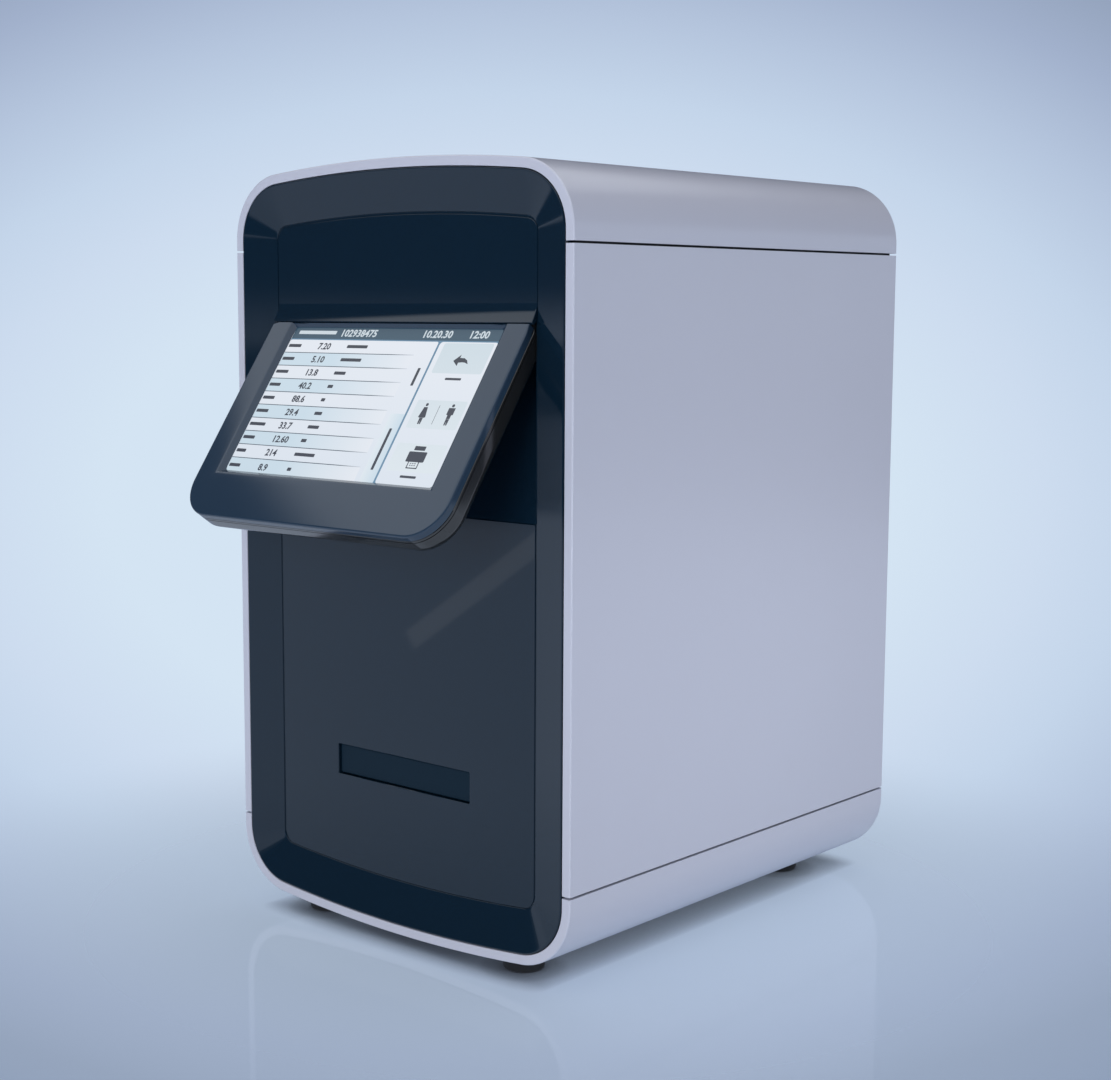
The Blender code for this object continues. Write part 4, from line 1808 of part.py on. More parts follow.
def make_guard(parent, finishes):
    """Flat wire guard over the rear panel's fan opening, with the four screws that hold the fan."""
    seat = REAR_OUTER + FIT
    bm = bmesh.new()
    wire = GUARD_WIRE
    ring(bm, GUARD_FIRST - wire, GUARD_FIRST, (FAN_X, seat, FAN_Z), "Y", 0, wire, GUARD_SEGMENTS)
    guard = add("fan_guard", bm, finishes["steel"], parent, smooth_below=35)
    rings = bmesh.new()
    for place in range(1, GUARD_RINGS):
        radius = GUARD_FIRST + place * GUARD_PITCH
        ring(rings, radius - wire, radius, (FAN_X, seat, FAN_Z), "Y", 0, wire, GUARD_SEGMENTS)
    combine(guard, rings, "UNION")
    reach = FAN_SCREW_OFFSET * math.sqrt(2)
    for angle in (math.pi / 4, 3 * math.pi / 4):
        arm = bmesh.new()
        half = GUARD_ARM / 2
        box(arm, (-reach, 0, -half), (reach, GUARD_ARM_WALL, half))
        turn = Matrix.Translation((FAN_X, seat, FAN_Z)) @ Matrix.Rotation(angle, 4, "Y")
        bmesh.ops.transform(arm, matrix=turn, verts=arm.verts)
        combine(guard, arm, "UNION", f"arm_{round(math.degrees(angle))}")
    screws = bmesh.new()
    for x, z in fan_screw_places():
        bolt = [
            (0, -FAN_SCREW_LENGTH),
            (FAN_SCREW_RADIUS, -FAN_SCREW_LENGTH),
            (FAN_SCREW_RADIUS, 0),
            (FAN_SCREW_HEAD, 0),
            (FAN_SCREW_HEAD, FAN_SCREW_HEAD_WALL),
            (0, FAN_SCREW_HEAD_WALL),
        ]
        turned(screws, bolt, (x, seat, z), "Y", SCREW_SEGMENTS)
    combine(guard, screws, "UNION", "screws")


def clear_scene():
    """Removes what the scene holds."""
    for obj in list(bpy.data.objects):
        bpy.data.objects.remove(obj, do_unlink=True)


def main():
    """Builds the analyser round its case frame and its tilt axis."""
    clear_scene()
    finishes = make_finishes()
    case = bpy.data.objects.new("case_frame", None)
    tilt = bpy.data.objects.new("tilt_axis", None)
    for empty in (case, tilt):
        bpy.context.scene.collection.objects.link(empty)
    case.location = (0, -ORIGIN_SETBACK, 0)
    tilt.parent = case
    tilt.location = (0, AXIS_SETBACK, AXIS_HEIGHT)
    tilt.rotation_euler = (-TILT_ANGLE, 0, 0)
    make_cover(case, finishes)
    make_tray(case, finishes)
    make_side("left_side_panel", left_panel_path, -1, case, finishes)
    make_side("right_side_panel", right_panel_path, 1, case, finishes)
    make_feet(case, finishes)
    make_frame(case, finishes)
    make_upper_fascia(case, finishes)
    make_lower_fascia(case, finishes)
    make_bezel(tilt, finishes)
    make_touch_glass(tilt, finishes)
    make_housing(tilt, finishes)
    make_display_inside(tilt, finishes)
    make_hinges(tilt, case, finishes)
    make_chassis(case, finishes)
    make_bed(case, finishes)
    make_rails(case, finishes)
    make_drawer(case, finishes)
    make_drawer_drive(case, finishes)
    make_press(case, finishes)
    make_post(case, finishes)
    make_focus(case, finishes)
    make_focus_drive(case, finishes)
    make_optics(case, finishes)
    make_lamp(case, finishes)
    make_main_board(case, finishes)
    make_ports(case, finishes)
    make_supply(case, finishes)
    make_rear_panel(case, finishes)
    make_inlet(case, finishes)
    make_switch(case, finishes)
    make_fan(case, finishes)


main()
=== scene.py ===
"""Dresses the benchtop blood analyser: shells, glossy front, tilting display, drawer and rear.

Lengths are in metres. Places on the case are given across (x), back from the front rim (y) and up
(z); places on the display are given across, below its face (depth) and down it.
"""

import json
import logging
import math
from collections.abc import Callable
from dataclasses import dataclass, field
from enum import Enum

import bmesh
import bpy
import numpy as np
from bpy.types import ColorRamp, ID, Material, Mesh, Node, NodeSocket, NodeTree, Object
from mathutils import Matrix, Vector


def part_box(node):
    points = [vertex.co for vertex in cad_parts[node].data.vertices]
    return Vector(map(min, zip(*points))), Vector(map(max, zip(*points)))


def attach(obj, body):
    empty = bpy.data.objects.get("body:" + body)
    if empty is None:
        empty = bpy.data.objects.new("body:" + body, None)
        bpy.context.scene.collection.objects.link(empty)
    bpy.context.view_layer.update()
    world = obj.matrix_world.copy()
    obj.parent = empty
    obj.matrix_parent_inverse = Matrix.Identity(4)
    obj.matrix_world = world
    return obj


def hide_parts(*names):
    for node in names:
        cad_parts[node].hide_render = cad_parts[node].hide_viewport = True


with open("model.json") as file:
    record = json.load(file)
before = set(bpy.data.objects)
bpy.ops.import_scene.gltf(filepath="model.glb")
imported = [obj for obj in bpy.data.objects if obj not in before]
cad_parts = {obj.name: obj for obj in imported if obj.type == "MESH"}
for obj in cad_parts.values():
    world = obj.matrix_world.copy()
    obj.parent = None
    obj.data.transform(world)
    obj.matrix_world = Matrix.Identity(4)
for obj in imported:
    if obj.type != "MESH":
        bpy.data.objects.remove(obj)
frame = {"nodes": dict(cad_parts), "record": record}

LOG = logging.getLogger("analyser")
MM = 0.001
SMOOTH = 30.0
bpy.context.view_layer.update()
RIM_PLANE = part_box("top_cover")[0].y
WELD = 0.002 * MM
QUARTER = math.pi / 2
LEAST_TURN = math.radians(0.08)
LEAST_LENGTH = 1e-9
LEAST_ANGLE = 1e-6

Colour = tuple[float, float, float]
Flat = tuple[float, float]
Box = tuple[float, float, float, float]
Run = tuple[np.ndarray, np.ndarray]


def linear(red: float, green: float, blue: float) -> Colour:
    """Turns display values from 0 to 255 into linear light.

    Args:
        red: Red display value.
        green: Green display value.
        blue: Blue display value.

    Returns:
        The colour in linear light.
    """
    share = np.array([red, green, blue]) / 255
    low, high = share / 12.92, ((share + 0.055) / 1.055) ** 2.4
    return tuple(float(value) for value in np.where(share <= 0.04045, low, high))


def linked(name: str, data: ID) -> Object:
    """Makes an object of its data and puts it into the scene.

    Args:
        name: The object's name.
        data: Its mesh, curve, light or camera.

    Returns:
        The object.
    """
    item = bpy.data.objects.new(name, data)
    bpy.context.scene.collection.objects.link(item)
    return item


def unit(vectors: np.ndarray) -> np.ndarray:
    """The same directions, each of length one."""
    return vectors / np.linalg.norm(vectors, axis=-1, keepdims=True)


def coat(piece: Object, material: Material) -> None:
    """Gives a piece one material in place of those that it has."""
    piece.data.materials.clear()
    piece.data.materials.append(material)


# Shader maths


def maths(operation: str, swapped: bool = False) -> Callable[..., "Value"]:
    """Makes a method of Value that adds one Math node.

    Args:
        operation: The Math node's operation.
        swapped: Whether the value is the second operand.

    Returns:
        The method, which takes the further operands and returns the result.
    """

    def method(self: "Value", *others: "Value | float") -> "Value":
        """Adds the node.

        Args:
            others: The further operands.

        Returns:
            The result.
        """
        node = self.tree.nodes.new("ShaderNodeMath")
        node.operation = operation
        for place, item in enumerate((*others, self) if swapped else (self, *others)):
            if isinstance(item, Value):
                self.tree.links.new(item.socket, node.inputs[place])
            else:
                node.inputs[place].default_value = item
        return Value(self.tree, node.outputs[0])

    return method


@dataclass(frozen=True)
class Value:
    """A socket that takes part in arithmetic; each operation adds one Math node."""

    tree: NodeTree
    socket: NodeSocket

    __add__, __radd__ = maths("ADD"), maths("ADD", swapped=True)
    __sub__, __rsub__ = maths("SUBTRACT"), maths("SUBTRACT", swapped=True)
    __mul__, __rmul__ = maths("MULTIPLY"), maths("MULTIPLY", swapped=True)
    __truediv__, __pow__ = maths("DIVIDE"), maths("POWER")
    __abs__, part = maths("ABSOLUTE"), maths("FRACT")
    above, below = maths("GREATER_THAN"), maths("LESS_THAN")
    largest, least = maths("MAXIMUM"), maths("MINIMUM")

    def held(self) -> "Value":
        """Kept between 0 and 1."""
        return self.largest(0.0).least(1.0)

    def rising(self, start: "Value | float", reach: float) -> "Value":
        """Grows evenly from 0 at a start to 1 a reach beyond it."""
        return ((self - start) / reach).held()


Source = Value | NodeSocket | float | Colour


class Graph:
    """A node tree in the making."""

    def __init__(self, tree: NodeTree) -> None:
        """Keeps the tree that the nodes go into."""
        self.tree = tree

    def node(
        self, kind: str, settings: dict | None = None, inputs: dict | None = None
    ) -> Node:
        """Adds a node.

        Args:
            kind: The node's type.
            settings: Its own settings, set first; "stops" are a ramp's places and colours.
            inputs: Values, or sockets to link, by the name or number of its socket.

        Returns:
            The node.
        """
        node = self.tree.nodes.new(kind)
        for name, setting in (settings or {}).items():
            if name == "stops":
                self.set_stops(node.color_ramp, setting)
            else:
                setattr(node, name, setting)
        for name, item in (inputs or {}).items():
            self.feed(node.inputs[name], item)
        return node

    def feed(self, entry: NodeSocket, item: Source) -> None:
        """Sets or links a socket.

        Args:
            entry: The socket that takes the item.
            item: A number, a vector or colour, a value or a socket.
        """
        source = item.socket if isinstance(item, Value) else item
        if isinstance(source, NodeSocket):
            self.tree.links.new(source, entry)
        elif entry.type == "RGBA" and len(source) == 3:
            entry.default_value = (*source, 1.0)
        else:
            entry.default_value = source

    def set_stops(self, ramp: ColorRamp, stops: tuple[tuple[float, Colour], ...]) -> None:
        """Gives a colour ramp its stops.

        Args:
            ramp: The ramp.
            stops: Its places and colours.
        """
        while len(ramp.elements) < len(stops):
            ramp.elements.new(1.0)
        for stop, (place, colour) in zip(ramp.elements, stops):
            stop.position = place
            stop.color = (*colour, 1.0)

    def along(self, direction: NodeSocket, axis: Colour) -> Value:
        """How far a vector reaches along an axis: their dot product."""
        node = self.node(
            "ShaderNodeVectorMath", {"operation": "DOT_PRODUCT"}, {0: direction, 1: axis}
        )
        return Value(self.tree, node.outputs["Value"])

    def ray(self, kind: str) -> Value:
        """One where the ray is of the given kind."""
        return Value(self.tree, self.node("ShaderNodeLightPath").outputs[f"Is {kind} Ray"])

    def seen(self) -> Value:
        """One where the ray comes from the camera, straight, mirrored or through a lens."""
        return self.ray("Camera").largest(self.ray("Glossy")).largest(self.ray("Transmission"))

    def blend(self, share: Value, first: Node, second: Node) -> Node:
        """Mixes two shaders, the second showing by the share."""
        inputs = {0: share, 1: first.outputs[0], 2: second.outputs[0]}
        return self.node("ShaderNodeMixShader", inputs=inputs)

    def mixed(
        self, share: Value, first: "Colour | NodeSocket", second: Colour
    ) -> NodeSocket:
        """Mixes two colours.

        Args:
            share: How much of the second shows.
            first: Colour, or its socket, where the share is nothing.
            second: Colour where the share is one.

        Returns:
            The mixed colour's socket.
        """
        node = self.node("ShaderNodeMix", {"data_type": "RGBA"})
        entries = {socket.identifier: socket for socket in node.inputs}
        for name, item in (("Factor_Float", share), ("A_Color", first), ("B_Color", second)):
            self.feed(entries[name], item)
        return {socket.identifier: socket for socket in node.outputs}["Result_Color"]


class Recipe(Graph):
    """One material in the making: a Principled shader and the nodes that vary it."""

    def __init__(self, name: str) -> None:
        """Starts a material.

        Args:
            name: The material's name.
        """
        self.material = bpy.data.materials.new(name)
        self.material.use_nodes = True
        super().__init__(self.material.node_tree)
        self.surface = self.tree.nodes["Principled BSDF"]

    def place(self) -> NodeSocket:
        """The point on the piece, in metres."""
        return self.node("ShaderNodeTexCoord").outputs["Object"]

    def axes(self) -> tuple[Value, Value, Value]:
        """The point's three coordinates."""
        parts = self.node("ShaderNodeSeparateXYZ", inputs={"Vector": self.place()})
        return tuple(Value(self.tree, socket) for socket in parts.outputs)

    def noise(self, scale: float, detail: float = 2.0, stretch: Colour = (1.0, 1.0, 1.0)) -> Value:
        """Soft noise over the piece.

        Args:
            scale: Cells to a metre.
            detail: Octaves of finer noise.
            stretch: How many times finer it is along each axis.

        Returns:
            Noise from 0 to 1.
        """
        turned = self.node("ShaderNodeMapping", inputs={"Vector": self.place(), "Scale": stretch})
        inputs = {"Vector": turned.outputs[0], "Scale": scale, "Detail": detail}
        return Value(self.tree, self.node("ShaderNodeTexNoise", inputs=inputs).outputs[0])

    def cells(self, scale: float) -> Value:
        """Distance to the nearest of scattered points, from 0 to 1."""
        node = self.node("ShaderNodeTexVoronoi", inputs={"Vector": self.place(), "Scale": scale})
        return Value(self.tree, node.outputs["Distance"])

    def bump(self, height: Value, depth: float) -> None:
        """Roughens the surface by a height from 0 to 1 times a depth in metres."""
        inputs = {"Height": height, "Distance": depth, "Strength": 1.0}
        self.put("Normal", self.node("ShaderNodeBump", inputs=inputs).outputs[0])

    def put(self, name: str, item: Source) -> None:
        """Sets or links a socket of the shader."""
        self.feed(self.surface.inputs[name], item)


# Finishes


@dataclass(frozen=True)
class Look:
    """What the finishes share: a name, and two colours that soft noise mixes.

    Fields that end in scale are cells of noise to a metre.
    """

    name: str
    colour: Colour
    shade: Colour

    def clouded(self, scale: float, detail: float = 2.0) -> Recipe:
        """Starts the material, its base colour clouded between the two colours.

        Args:
            scale: Cells of noise to a metre.
            detail: Octaves of finer noise.

        Returns:
            The material in the making.
        """
        recipe = Recipe(self.name)
        cloud = recipe.noise(scale, detail)
        recipe.put("Base Color", recipe.mixed(cloud, self.colour, self.shade))
        return recipe


@dataclass(frozen=True)
class Paint(Look):
    """Sprayed paint: a faint orange peel, a fine tooth and slightly uneven sheen."""

    roughness: float = 0.24
    unevenness: float = 0.05
    coat: float = 0.15
    coat_roughness: float = 0.15
    peel: float = 0.004 * MM
    peel_scale: float = 420.0
    tooth_scale: float = 1900.0

    def make(self) -> Material:
        """Builds the material.

        Returns:
            The material.
        """
        recipe = self.clouded(scale=9.0, detail=3.0)
        sheen = recipe.noise(scale=60.0, detail=4.0) - 0.5
        recipe.put("Roughness", self.roughness + self.unevenness * sheen)
        recipe.put("Coat Weight", self.coat)
        recipe.put("Coat Roughness", self.coat_roughness)
        peel = 0.6 * recipe.noise(self.peel_scale) + 0.4 * recipe.noise(self.tooth_scale)
        recipe.bump(peel, self.peel)
        return recipe.material


@dataclass(frozen=True)
class Gloss(Look):
    """Polished black moulding: near-black plastic under a clear lacquer with faint wipe marks."""

    roughness: float = 0.06
    coat: float = 0.1
    specular: float = 0.5
    coat_roughness: float = 0.06
    wiping: float = 0.03
    ripple: float = 0.002 * MM

    def make(self) -> Material:
        """Builds the material.

        Returns:
            The material.
        """
        recipe = self.clouded(scale=14.0)
        wipes = recipe.noise(scale=38.0, detail=5.0, stretch=(1.0, 1.0, 0.25)) - 0.4
        recipe.put("Roughness", self.roughness + self.wiping * wipes)
        recipe.put("Specular IOR Level", self.specular)
        recipe.put("Coat Weight", self.coat)
        recipe.put("Coat Roughness", self.coat_roughness)
        recipe.bump(recipe.noise(scale=55.0, detail=1.0), self.ripple)
        return recipe.material


@dataclass(frozen=True)
class Satin(Look):
    """Fine spark-textured moulding."""

    roughness: float = 0.42
    grain_scale: float = 1500.0
    depth: float = 0.01 * MM
    specular: float = 0.5
    unevenness: float = 0.12

    def make(self) -> Material:
        """Builds the material.

        Returns:
            The material.
        """
        recipe = self.clouded(scale=22.0, detail=3.0)
        recipe.put("Specular IOR Level", self.specular)
        sheen = recipe.noise(scale=90.0, detail=3.0) - 0.5
        recipe.put("Roughness", self.roughness + self.unevenness * sheen)
        pits = recipe.cells(self.grain_scale)
        recipe.bump(0.7 * pits + 0.3 * recipe.noise(3.0 * self.grain_scale), self.depth)
        return recipe.material


@dataclass(frozen=True)
class Metal(Look):
    """Bare or plated metal with a drawn grain and cloudy sheen."""

    roughness: float = 0.34
    stretch: Colour = (1.0, 0.04, 1.0)
    grain_scale: float = 900.0
    unevenness: float = 0.16
    depth: float = 0.004 * MM

    def make(self) -> Material:
        """Builds the material.

        Returns:
            The material.
        """
        recipe = self.clouded(scale=35.0, detail=4.0)
        drawn = recipe.noise(self.grain_scale, detail=3.0, stretch=self.stretch)
        recipe.put("Metallic", 1.0)
        recipe.put("Roughness", self.roughness + self.unevenness * (drawn - 0.5))
        recipe.bump(drawn, self.depth)
        return recipe.material


@dataclass(frozen=True)
class CircuitBoard(Look):
    """Solder mask (its colour) with a net of copper tracks (its shade) under it."""

    name: str = "solder_mask"
    colour: Colour = (0.008, 0.085, 0.032)
    shade: Colour = (0.03, 0.22, 0.08)
    pitch: float = 2.54 * MM
    width: float = 0.16
    bend: float = 3.0 * MM
    depth: float = 0.03 * MM
    roughness: float = 0.32
    unevenness: float = 0.1

    def make(self) -> Material:
        """Builds the material.

        Returns:
            The material.
        """
        recipe = Recipe(self.name)
        _, y, z = recipe.axes()
        bend = self.bend * (recipe.noise(scale=60.0, detail=0.0).above(0.5))
        rows, lanes = (
            abs(((place + bend) / self.pitch).part() - 0.5).below(self.width) for place in (z, y)
        )
        choice = recipe.noise(scale=45.0, detail=0.0).above(0.52)
        tracks = rows * choice + lanes * (1 - choice)
        recipe.put("Base Color", recipe.mixed(tracks, self.colour, self.shade))
        recipe.put("Roughness", self.roughness + self.unevenness * recipe.noise(scale=300.0))
        recipe.bump(tracks, self.depth)
        return recipe.material


@dataclass(frozen=True)
class Lit(Look):
    """A lit part of the picture: its own light, under a glossy cover.

    From start to end along an axis (0 across, 2 up) the shade turns into the colour, a little
    unevenly.
    """

    strength: float = 0.86
    axis: int = 2
    start: float = 0.19
    end: float = 0.27
    unevenness: float = 0.04
    roughness: float = 0.28
    unlit: Colour = (0.02, 0.02, 0.02)

    def make(self) -> Material:
        """Builds the material.

        Returns:
            The material.
        """
        recipe = Recipe(self.name)
        share = (recipe.axes()[self.axis] - self.start) / (self.end - self.start)
        share = (share + self.unevenness * (recipe.noise(scale=160.0) - 0.5)).held()
        recipe.put("Emission Color", recipe.mixed(share, self.shade, self.colour))
        recipe.put("Emission Strength", self.strength)
        recipe.put("Base Color", self.unlit)
        recipe.put("Roughness", self.roughness)
        return recipe.material


@dataclass(frozen=True)
class Clear(Look):
    """Clear moulded lens with faint flow marks."""

    name: str = "clear_lens"
    colour: Colour = (0.92, 0.95, 0.96)
    shade: Colour = (0.86, 0.91, 0.93)
    transmission: float = 0.85
    index: float = 1.49
    roughness: float = 0.05
    unevenness: float = 0.05

    def make(self) -> Material:
        """Builds the material.

        Returns:
            The material.
        """
        recipe = self.clouded(scale=120.0)
        recipe.put("Transmission Weight", self.transmission)
        recipe.put("Roughness", self.roughness + self.unevenness * recipe.noise(scale=200.0))
        recipe.put("IOR", self.index)
        return recipe.material


class Finish(Enum):
    """The finishes of the analyser, each with the record's material slot."""

    CASE = "white_case", Paint("white_paint", (0.585, 0.592, 0.685), (0.565, 0.572, 0.665))
    FRONT = "gloss_black", Gloss(
        "gloss_front", (0.0036, 0.0138, 0.0272), (0.0044, 0.0152, 0.0298), specular=0.46
    )
    BEZEL = "gloss_black", Gloss("gloss_bezel", (0.018, 0.037, 0.066), (0.021, 0.041, 0.071), 0.09)
    HOUSING = "satin_black", Gloss(
        "display_back", (0.012, 0.012, 0.012), (0.015, 0.015, 0.015), 0.12, 0.3, 0.65
    )
    SATIN = "satin_black", Satin("satin_moulding", (0.014, 0.015, 0.017), (0.022, 0.023, 0.026))
    DRAWER = "drawer_grey", Satin(
        "drawer_face", (0.005, 0.017, 0.031), (0.006, 0.019, 0.034), 0.4, specular=0.12
    )
    RUBBER = "black_rubber", Satin(
        "foot_rubber", (0.010, 0.010, 0.011), (0.018, 0.018, 0.019), 0.75, 700.0
    )
    STEEL = "steel", Metal("zinc_plate", (0.56, 0.57, 0.58), (0.47, 0.48, 0.50))
    ALUMINIUM = "aluminium", Metal("anodised_sheet", (0.64, 0.65, 0.67), (0.57, 0.58, 0.60), 0.42)
    BRASS = "brass", Metal("cut_brass", (0.74, 0.56, 0.27), (0.62, 0.45, 0.20), 0.3)
    BOARD = "circuit_board", CircuitBoard()
    ACETAL = "acetal", Satin("acetal", (0.78, 0.78, 0.74), (0.72, 0.72, 0.69), 0.4, 500.0)
    LENS = "clear_lens", Clear()
    PAPER = "screen", Lit("picture_white", linear(236, 241, 249), linear(224, 234, 246))
    BAND = "screen", Lit(
        "picture_band", linear(236, 241, 249), linear(208, 227, 240), axis=0, start=-0.03, end=0.018
    )
    TAB = "screen", Lit(
        "picture_tab", linear(206, 226, 240), linear(232, 241, 248), axis=0, start=0.02, end=0.03
    )
    HEADER = "screen", Lit(
        "picture_header", linear(28, 60, 82), linear(46, 78, 98), start=0.268, end=0.274
    )
    RULE = "screen", Lit("picture_rule", linear(72, 84, 98), linear(62, 78, 96))
    FADE = "screen", Lit(
        "picture_rule_end",
        linear(214, 222, 232),
        linear(84, 96, 110),
        axis=0,
        start=0.005,
        end=0.018,
    )
    EDGE = "screen", Lit("picture_edge", linear(92, 132, 162), linear(108, 148, 178))
    TILE = "screen", Lit("picture_tile", linear(210, 224, 233), linear(236, 244, 250))
    INK = "screen", Lit("picture_ink", linear(44, 48, 60), linear(52, 58, 74))
    CHALK = "screen", Lit("picture_chalk", linear(210, 222, 230), linear(200, 212, 222))

    @property
    def slot(self) -> str:
        """The record's material slot."""
        return self.value[0]

    def material(self) -> Material:
        """The finish's material, made once."""
        look = self.value[1]
        return bpy.data.materials.get(look.name) or look.make()


# Shapes worked out with numpy


def fillet(corners: np.ndarray | list, radii: np.ndarray | list, steps: int = 6) -> np.ndarray:
    """Rounds the corners of a closed outline.

    Each corner's arc has its centre on the bisector, radius / sin(half the corner's angle) away,
    and runs between the two points where it touches the sides; equal steps of angle lie along it.

    Args:
        corners: The outline's corners.
        radii: One radius for each.
        steps: Steps along each arc.

    Returns:
        The points, (steps + 1) for each corner.
    """
    point = np.array(corners, float)
    radius = np.array(radii, float)[:, None]
    before, after = (unit(np.roll(point, turn, 0) - point) for turn in (1, -1))
    half = np.arccos(np.clip((before * after).sum(1, keepdims=True), -1, 1)) / 2
    bisector = before + after
    bisector /= np.maximum(np.linalg.norm(bisector, axis=1, keepdims=True), LEAST_LENGTH)
    centre = point + bisector * radius / np.sin(half)
    start = point + before * radius / np.tan(half) - centre
    end = point + after * radius / np.tan(half) - centre
    turn = np.maximum(math.pi - 2 * half, LEAST_ANGLE)[:, None]
    share = np.linspace(0, 1, steps + 1)[None, :, None]
    swing = np.sin((1 - share) * turn) * start[:, None] + np.sin(share * turn) * end[:, None]
    return (centre[:, None] + swing / np.sin(turn)).reshape(-1, 2)


def quarter(radius: float, steps: int) -> Run:
    """Rounds an outer edge: inset r (1 - cos a) and depth r (1 - sin a), a from 0 to 90 degrees.

    Args:
        radius: The edge's radius.
        steps: Steps along the arc.

    Returns:
        The insets and the depths.
    """
    angle = np.linspace(0, QUARTER, steps + 1)
    return radius * (1 - np.cos(angle)), radius * (1 - np.sin(angle))


def ray_points(outline: np.ndarray, centre: Flat, angles: np.ndarray) -> np.ndarray:
    """Where rays from a point inside cross a convex outline.

    Each ray is crossed with the side whose ends lie on either side of it.

    Args:
        outline: The outline's points.
        centre: The point that the rays start from.
        angles: The rays' directions.

    Returns:
        One point for each ray.
    """
    point = outline - np.array(centre)
    bearing = np.arctan2(point[:, 1], point[:, 0]) % math.tau
    bearing, order = np.unique(np.round(bearing, 9), return_index=True)
    point = point[order]
    place = np.searchsorted(bearing, angles % math.tau, side="right")
    first, last = point[place - 1], point[place % len(point)]
    edge = last - first
    along = np.stack([np.cos(angles), np.sin(angles)], 1)
    across = along[:, 0] * edge[:, 1] - along[:, 1] * edge[:, 0]
    share = -(along[:, 0] * first[:, 1] - along[:, 1] * first[:, 0]) / across
    return np.array(centre) + first + edge * share[:, None]


def bearings(outlines: list[np.ndarray], centre: Flat, fill: int) -> np.ndarray:
    """The directions of every corner of some outlines from a point, with even ones between.

    Args:
        outlines: The outlines.
        centre: The point.
        fill: How many even directions to add.

    Returns:
        The sorted directions, none closer than the least turn.
    """
    points = np.vstack(outlines) - np.array(centre)
    found = np.arctan2(points[:, 1], points[:, 0]) % math.tau
    found = np.sort(np.concatenate([found, np.linspace(0, math.tau, fill, endpoint=False)]))
    return found[np.diff(found, prepend=found[-1] - math.tau) > LEAST_TURN]


def rounded_box(sides: Box, low_round: float, high_round: float, steps: int) -> np.ndarray:
    """A rectangle's outline with round corners, across and up.

    Args:
        sides: Left, low, right and high.
        low_round: Radius of the lower corners.
        high_round: Radius of the upper corners.
        steps: Steps along each corner.

    Returns:
        The outline's points.
    """
    left, low, right, high = sides
    corners = [(right, low), (right, high), (left, high), (left, low)]
    return fillet(corners, [low_round, high_round, high_round, low_round], steps)


def span(hand: int, first: float, last: float) -> list[float]:
    """Two distances out to one hand, the lesser place first."""
    return sorted((hand * first, hand * last))


@dataclass
class Body:
    """Collects grids of points, caps and solids into one mesh."""

    points: list[np.ndarray] = field(default_factory=list)
    faces: list[list[int]] = field(default_factory=list)
    count: int = 0

    def grid(self, points: np.ndarray, wrap: bool = False, ring: bool = False) -> np.ndarray:
        """Adds a grid of quads.

        Args:
            points: The points, as rows of columns of (x, y, z).
            wrap: Whether the last row joins the first.
            ring: Whether the last column joins the first.

        Returns:
            The points' numbers, as rows of columns.
        """
        rows, columns = points.shape[:2]
        numbers = self.count + np.arange(rows * columns).reshape(rows, columns)
        self.points.append(points.reshape(-1, 3))
        self.count += rows * columns
        net = np.vstack([numbers, numbers[:1]]) if wrap else numbers
        net = np.hstack([net, net[:, :1]]) if ring else net
        quads = np.stack([net[:-1, :-1], net[:-1, 1:], net[1:, 1:], net[1:, :-1]], -1)
        self.faces += quads.reshape(-1, 4).tolist()
        return numbers

    def cap(self, numbers: np.ndarray) -> None:
        """Closes a flat loop of points by one face."""
        self.faces.append([int(number) for number in numbers])

    def loft(self, loops: np.ndarray) -> None:
        """Joins closed loops by quads and caps the first and the last.

        Args:
            loops: The loops, as rows of points.
        """
        numbers = self.grid(loops, ring=True)
        self.cap(numbers[0])
        self.cap(numbers[-1])

    def block(self, low: Colour, high: Colour) -> None:
        """Adds a solid box, as a loft of its lower and upper outline.

        Args:
            low: Its lower left near corner.
            high: Its upper right far corner.
        """
        (left, near, under), (right, far, over) = low, high
        across = np.array([(left, near), (right, near), (right, far), (left, far)])
        self.loft(np.array([np.column_stack([across, np.full(4, z)]) for z in (under, over)]))

    def turned(self, profile: np.ndarray, centre: Flat, count: int) -> None:
        """Adds a closed profile spun about an upright axis: radius times cos a and sin a.

        Args:
            profile: Points of (radius, height).
            centre: The axis's place.
            count: Steps round the axis.
        """
        turn = np.linspace(0, math.tau, count, endpoint=False)[None, :]
        radius, height = profile[:, :1], profile[:, 1:]
        parts = [radius * np.cos(turn), radius * np.sin(turn), height + 0 * turn]
        self.grid(np.stack(parts, -1) + np.array([*centre, 0]), wrap=True, ring=True)

    def finish(self, name: str, smooth: float = SMOOTH) -> Object:
        """Makes the object, with doubles merged and faces outward.

        Args:
            name: The object's name.
            smooth: Edges flatter than this many degrees shade smooth.

        Returns:
            The object.
        """
        mesh = bpy.data.meshes.new(name)
        mesh.from_pydata(np.vstack(self.points).tolist(), [], self.faces)
        net = bmesh.new()
        net.from_mesh(mesh)
        bmesh.ops.remove_doubles(net, verts=net.verts, dist=WELD)
        bmesh.ops.dissolve_degenerate(net, edges=net.edges, dist=WELD)
        bmesh.ops.recalc_face_normals(net, faces=net.faces)
        piece = shaded(net, mesh, name, smooth)
        piece.modifiers.new("Level shading", "WEIGHTED_NORMAL").keep_sharp = True
        return piece


def shaded(
    net: bmesh.types.BMesh, mesh: Mesh, name: str, smooth: float
) -> Object:
    """Puts the edited net into its mesh, shades it and makes the object.

    Args:
        net: The net, which is freed.
        mesh: The mesh that takes it.
        name: The object's name.
        smooth: Edges flatter than this many degrees shade smooth.

    Returns:
        The object.
    """
    net.to_mesh(mesh)
    net.free()
    mesh.shade_smooth()
    mesh.set_sharp_from_angle(angle=math.radians(smooth))
    return linked(name, mesh)


